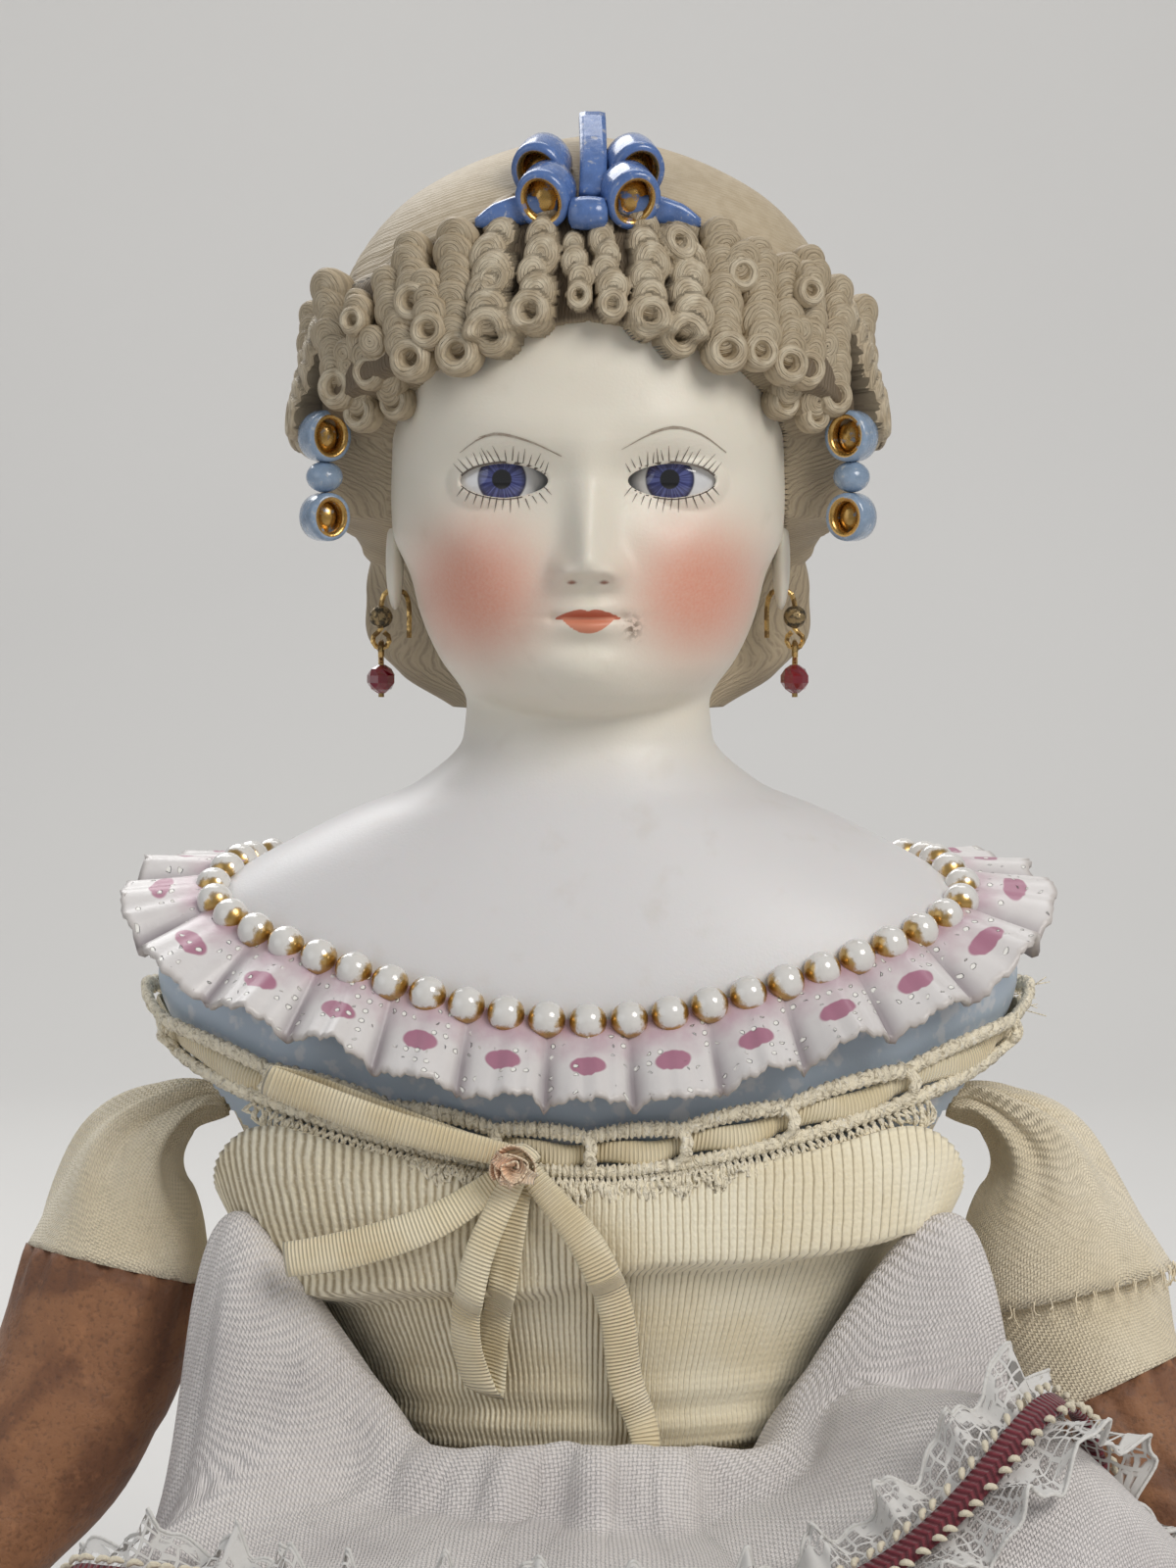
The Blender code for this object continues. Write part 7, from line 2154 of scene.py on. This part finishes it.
def lace_flounce():
    """Gathered lace with ruffled, scalloped edges, laid round the skirt."""
    count = 900
    line, down, out, length = trim_line(count)
    along = np.linspace(0, length, count + 1)
    base = line + out * (DRESS_THICKNESS + 4 * CLEARANCE)
    scallop = np.abs(np.sin(math.pi * along / (length / round(length / SCALLOP_PITCH)))) ** 0.8
    turns = round(length / FLOUNCE_RUFFLE_PITCH)
    phase = 2 * math.pi * turns * along / length + 1.3 * np.sin(2 * math.pi * 5 * along / length)
    flow = unit(np.gradient(line, axis=0))
    rows, weft, rim = [], [], []
    for share in np.linspace(-1, 1, 19):
        reach = 0.5 * FLOUNCE_WIDTH * share * (1 + 0.16 * scallop * abs(share) ** 3)
        free = abs(share) ** 1.4
        ruffle = 0.0026 * np.sin(phase + (0.9 if share > 0 else 0.0)) + 0.0009 * np.sin(2.7 * phase + share)
        sway = 0.0010 * np.cos(phase) * free
        lift = (FLOUNCE_LIFT + ruffle) * free
        rows.append(base + down * reach[:, None] + out * lift[:, None] + flow * sway[:, None])
        weft.append(reach)
        rim.append(np.full(count + 1, abs(share)))
    points = np.array(rows)
    warp = np.broadcast_to(along, points.shape[:2])
    fields = {"warp": warp, "weft": np.array(weft), "rim": np.array(rim)}
    mesh = grid_mesh("net_flounce", points, fields=fields)
    obj = piece("net_flounce", mesh, lace_look(), ["lace_flounce"])
    edges = []
    for row in (points[0], points[-1]):
        edges.append(tube_mesh("cord", row[:-1], 0.00028, 6))
    mesh = joined("lace_edge_cords", edges)
    cords = piece("lace_edge_cords", mesh, cord_look(), ["lace_flounce"])


def cord_look():
    look = Look("lace_cord", 0.85)
    twist = look.noise(0.0005, 2.0)
    look.colour(look.mix(twist, (0.78, 0.775, 0.755), (0.60, 0.58, 0.54)))
    look.bump(twist, 0.0002)
    return look


def braid_look():
    look = Look("braid", 0.75, Sheen_Weight=0.3, Sheen_Roughness=0.4)
    along = look.maths("DIVIDE", look.field("along"), 0.0011)
    chevron = look.wave(look.maths("MULTIPLY_ADD", look.field("rim"), 0.9, along), 1.0)
    base = look.mix(look.noise(0.004, 3.0), (0.23, 0.030, 0.045), (0.16, 0.020, 0.032))
    # Painted shade: darker in the grooves of the chevron.
    base = look.stain(base, look.step(chevron, 0.5, 0.05), 0.6, (0.055, 0.007, 0.012))
    look.colour(base)
    look.bump(chevron, 0.00035)
    look.bump(look.noise(0.0004, 2.0), 0.00010)
    return look


def red_braid():
    """Woven braid with cream picots along both edges."""
    count = 620
    line, down, out, length = trim_line(count)
    height = DRESS_THICKNESS + 4 * CLEARANCE + FLOUNCE_THICKNESS + CLEARANCE + 0.5 * BRAID_THICKNESS
    centre = line + out * height
    mesh = ribbon_mesh("braid", centre[:-1], down[:-1], BRAID_WIDTH, 0.0009, closed=True, rise=0.0004)
    braid = piece("woven_braid", mesh, braid_look(), ["red_braid"])
    picots = []
    number = round(length / PICOT_PITCH)
    for k in range(number):
        at = k * count / number
        for side in (-1, 1):
            i = min(int(at + (0.5 if side > 0 else 0.0) * count / number), count - 1)
            flow = unit(line[i + 1] - line[i])
            start = centre[i] + side * down[i] * 0.42 * BRAID_WIDTH + out[i] * 0.0007
            middle = start + side * down[i] * 0.0007 + flow * 0.0006 + out[i] * 0.0004
            end = start + side * down[i] * 0.0013 + flow * 0.0013 - out[i] * 0.0004
            picots.append(tube_mesh("picot", smooth_route([start, middle, end], 6), PICOT_RADII, 7))
    cream = Look("picot_thread", 0.8)
    twist = cream.noise(0.0004, 2.0)
    cream.colour(cream.mix(twist, (0.80, 0.74, 0.60), (0.62, 0.55, 0.41)))
    cream.bump(twist, 0.0002)
    piece("braid_picots", joined("braid_picots", picots), cream, ["red_braid"])
    return braid


# Earrings


def garnet_mesh(centre, radius):
    """A faceted bead: a few flat rows of facets round a vertical axis, closed at both ends."""
    rings = []
    for height, size, twist in FACET_ROWS:
        turn = np.linspace(0, 2 * math.pi, FACETS, endpoint=False) + twist
        ring = np.stack([size * np.cos(turn), size * np.sin(turn), np.full(FACETS, height)], axis=-1)
        rings.append(np.asarray(centre) + radius * ring)
    mesh = capped(grid_mesh("garnet", np.array(rings), wrap=True))
    mesh.shade_flat()
    return mesh


def earrings(frame):
    gloss = {"Coat_Weight": 1.0, "Coat_Roughness": 0.03}
    garnet = Look("garnet", 0.06, Subsurface_Weight=0.1, Subsurface_Scale=0.001, **gloss)
    glow = garnet.noise(0.0018, 2.0)
    garnet.colour(garnet.mix(glow, (0.10, 0.004, 0.010), (0.26, 0.012, 0.022)))
    brass = Look("brass_wire", 0.30, Metallic=1.0)
    tarnish = brass.step(brass.noise(0.0012, 4.0), 0.42, 0.62)
    brass.colour(brass.mix(tarnish, (0.62, 0.42, 0.17), (0.22, 0.14, 0.06)))
    brass.rough(share_between(brass, tarnish, 0.24, 0.58))
    bead = Look("tarnished_bead", 0.40, Metallic=0.85)
    crust = bead.step(bead.noise(0.0008, 5.0), 0.40, 0.60)
    bead.colour(bead.mix(crust, (0.34, 0.25, 0.13), (0.10, 0.085, 0.06)))
    bead.rough(share_between(bead, crust, 0.30, 0.75))
    bead.bump(crust, 0.00012)
    for word in ("right", "left"):
        for node in (f"earring_hook_{word}", f"drop_pin_{word}"):
            for slot in frame["nodes"][node].material_slots:
                slot.material = brass.material
        low, high = (np.array(corner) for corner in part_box(f"garnet_bead_{word}"))
        mesh = garnet_mesh(0.5 * (low + high), 0.5 * (high - low)[2])
        piece(f"faceted_garnet_{word}", mesh, garnet, [f"garnet_bead_{word}"], f"drop_{word}")
        low, high = (np.array(corner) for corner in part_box(f"brass_bead_{word}"))
        mesh = ball_mesh("bead", 0.5 * (low + high), 0.5 * (high - low), 28, 20)
        piece(f"tarnished_bead_{word}", mesh, bead, [f"brass_bead_{word}"], f"hook_{word}")


# Stage


def camera():
    data = bpy.data.cameras.new("camera")
    data.sensor_width = SENSOR
    data.lens = LENS
    obj = bpy.data.objects.new("camera", data)
    obj.location = CAMERA_PLACE
    obj.rotation_euler = (math.radians(CAMERA_PITCH_DEG), 0.0, 0.0)
    bpy.context.scene.collection.objects.link(obj)
    bpy.context.scene.camera = obj


def lamp(name, place, target, size, power, colour):
    data = bpy.data.lights.new(name, "AREA")
    data.shape = "DISK"
    data.size = size
    data.energy = power
    data.color = colour
    obj = bpy.data.objects.new(name, data)
    obj.location = place
    obj.rotation_euler = (Vector(target) - Vector(place)).to_track_quat("-Z", "Y").to_euler()
    bpy.context.scene.collection.objects.link(obj)


def stage():
    """A pale floor that curves up into a backdrop, open from behind, with soft lamps and a pale room."""
    floor = Look("backdrop", 0.9)
    floor.colour(floor.mix(floor.noise(0.3, 2.0), (0.60, 0.59, 0.575), (0.64, 0.63, 0.61)))
    behind = floor.node("NewGeometry").outputs["Backfacing"]
    floor.feed(floor.shader.inputs["Alpha"], floor.maths("SUBTRACT", 1.0, behind))
    turn = np.linspace(0, 0.5 * math.pi, 24)
    rise = BACKDROP_BEND * (1 - np.cos(turn))
    bend = np.stack([BACKDROP_Y + BACKDROP_BEND * np.sin(turn), rise], axis=-1)
    side = np.concatenate([[(-BACKDROP_END, 0.0)], bend, [(BACKDROP_Y + BACKDROP_BEND, BACKDROP_END)]])
    ends = (-BACKDROP_HALF_WIDTH, BACKDROP_HALF_WIDTH)
    rows = [[(x, y, z - FLOOR_DROP) for y, z in side] for x in ends]
    mesh = grid_mesh("backdrop", np.array(rows), flip=True)
    mesh.materials.append(floor.material)
    obj = bpy.data.objects.new("backdrop", mesh)
    bpy.context.scene.collection.objects.link(obj)
    for row in LAMPS:
        lamp(*row)
    world = bpy.data.worlds.new("room")
    world.use_nodes = True
    background = world.node_tree.nodes["Background"]
    background.inputs["Color"].default_value = ROOM_COLOUR
    background.inputs["Strength"].default_value = ROOM_STRENGTH
    bpy.context.scene.world = world
    bpy.context.scene.view_settings.view_transform = "Standard"


def main():
    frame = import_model()
    camera()
    stage()
    bisque_skin()
    brows()
    lashes()
    eyes()
    moulded_hair()
    top_bow()
    side_bows()
    necklace()
    ruffle()
    muslin = muslin_look()
    muslin_torso(muslin)
    arms(muslin)
    legs(muslin)
    knit_bodice()
    crochet_edging()
    bow()
    lowered_dress()
    lace_flounce()
    red_braid()
    earrings(frame)


main()
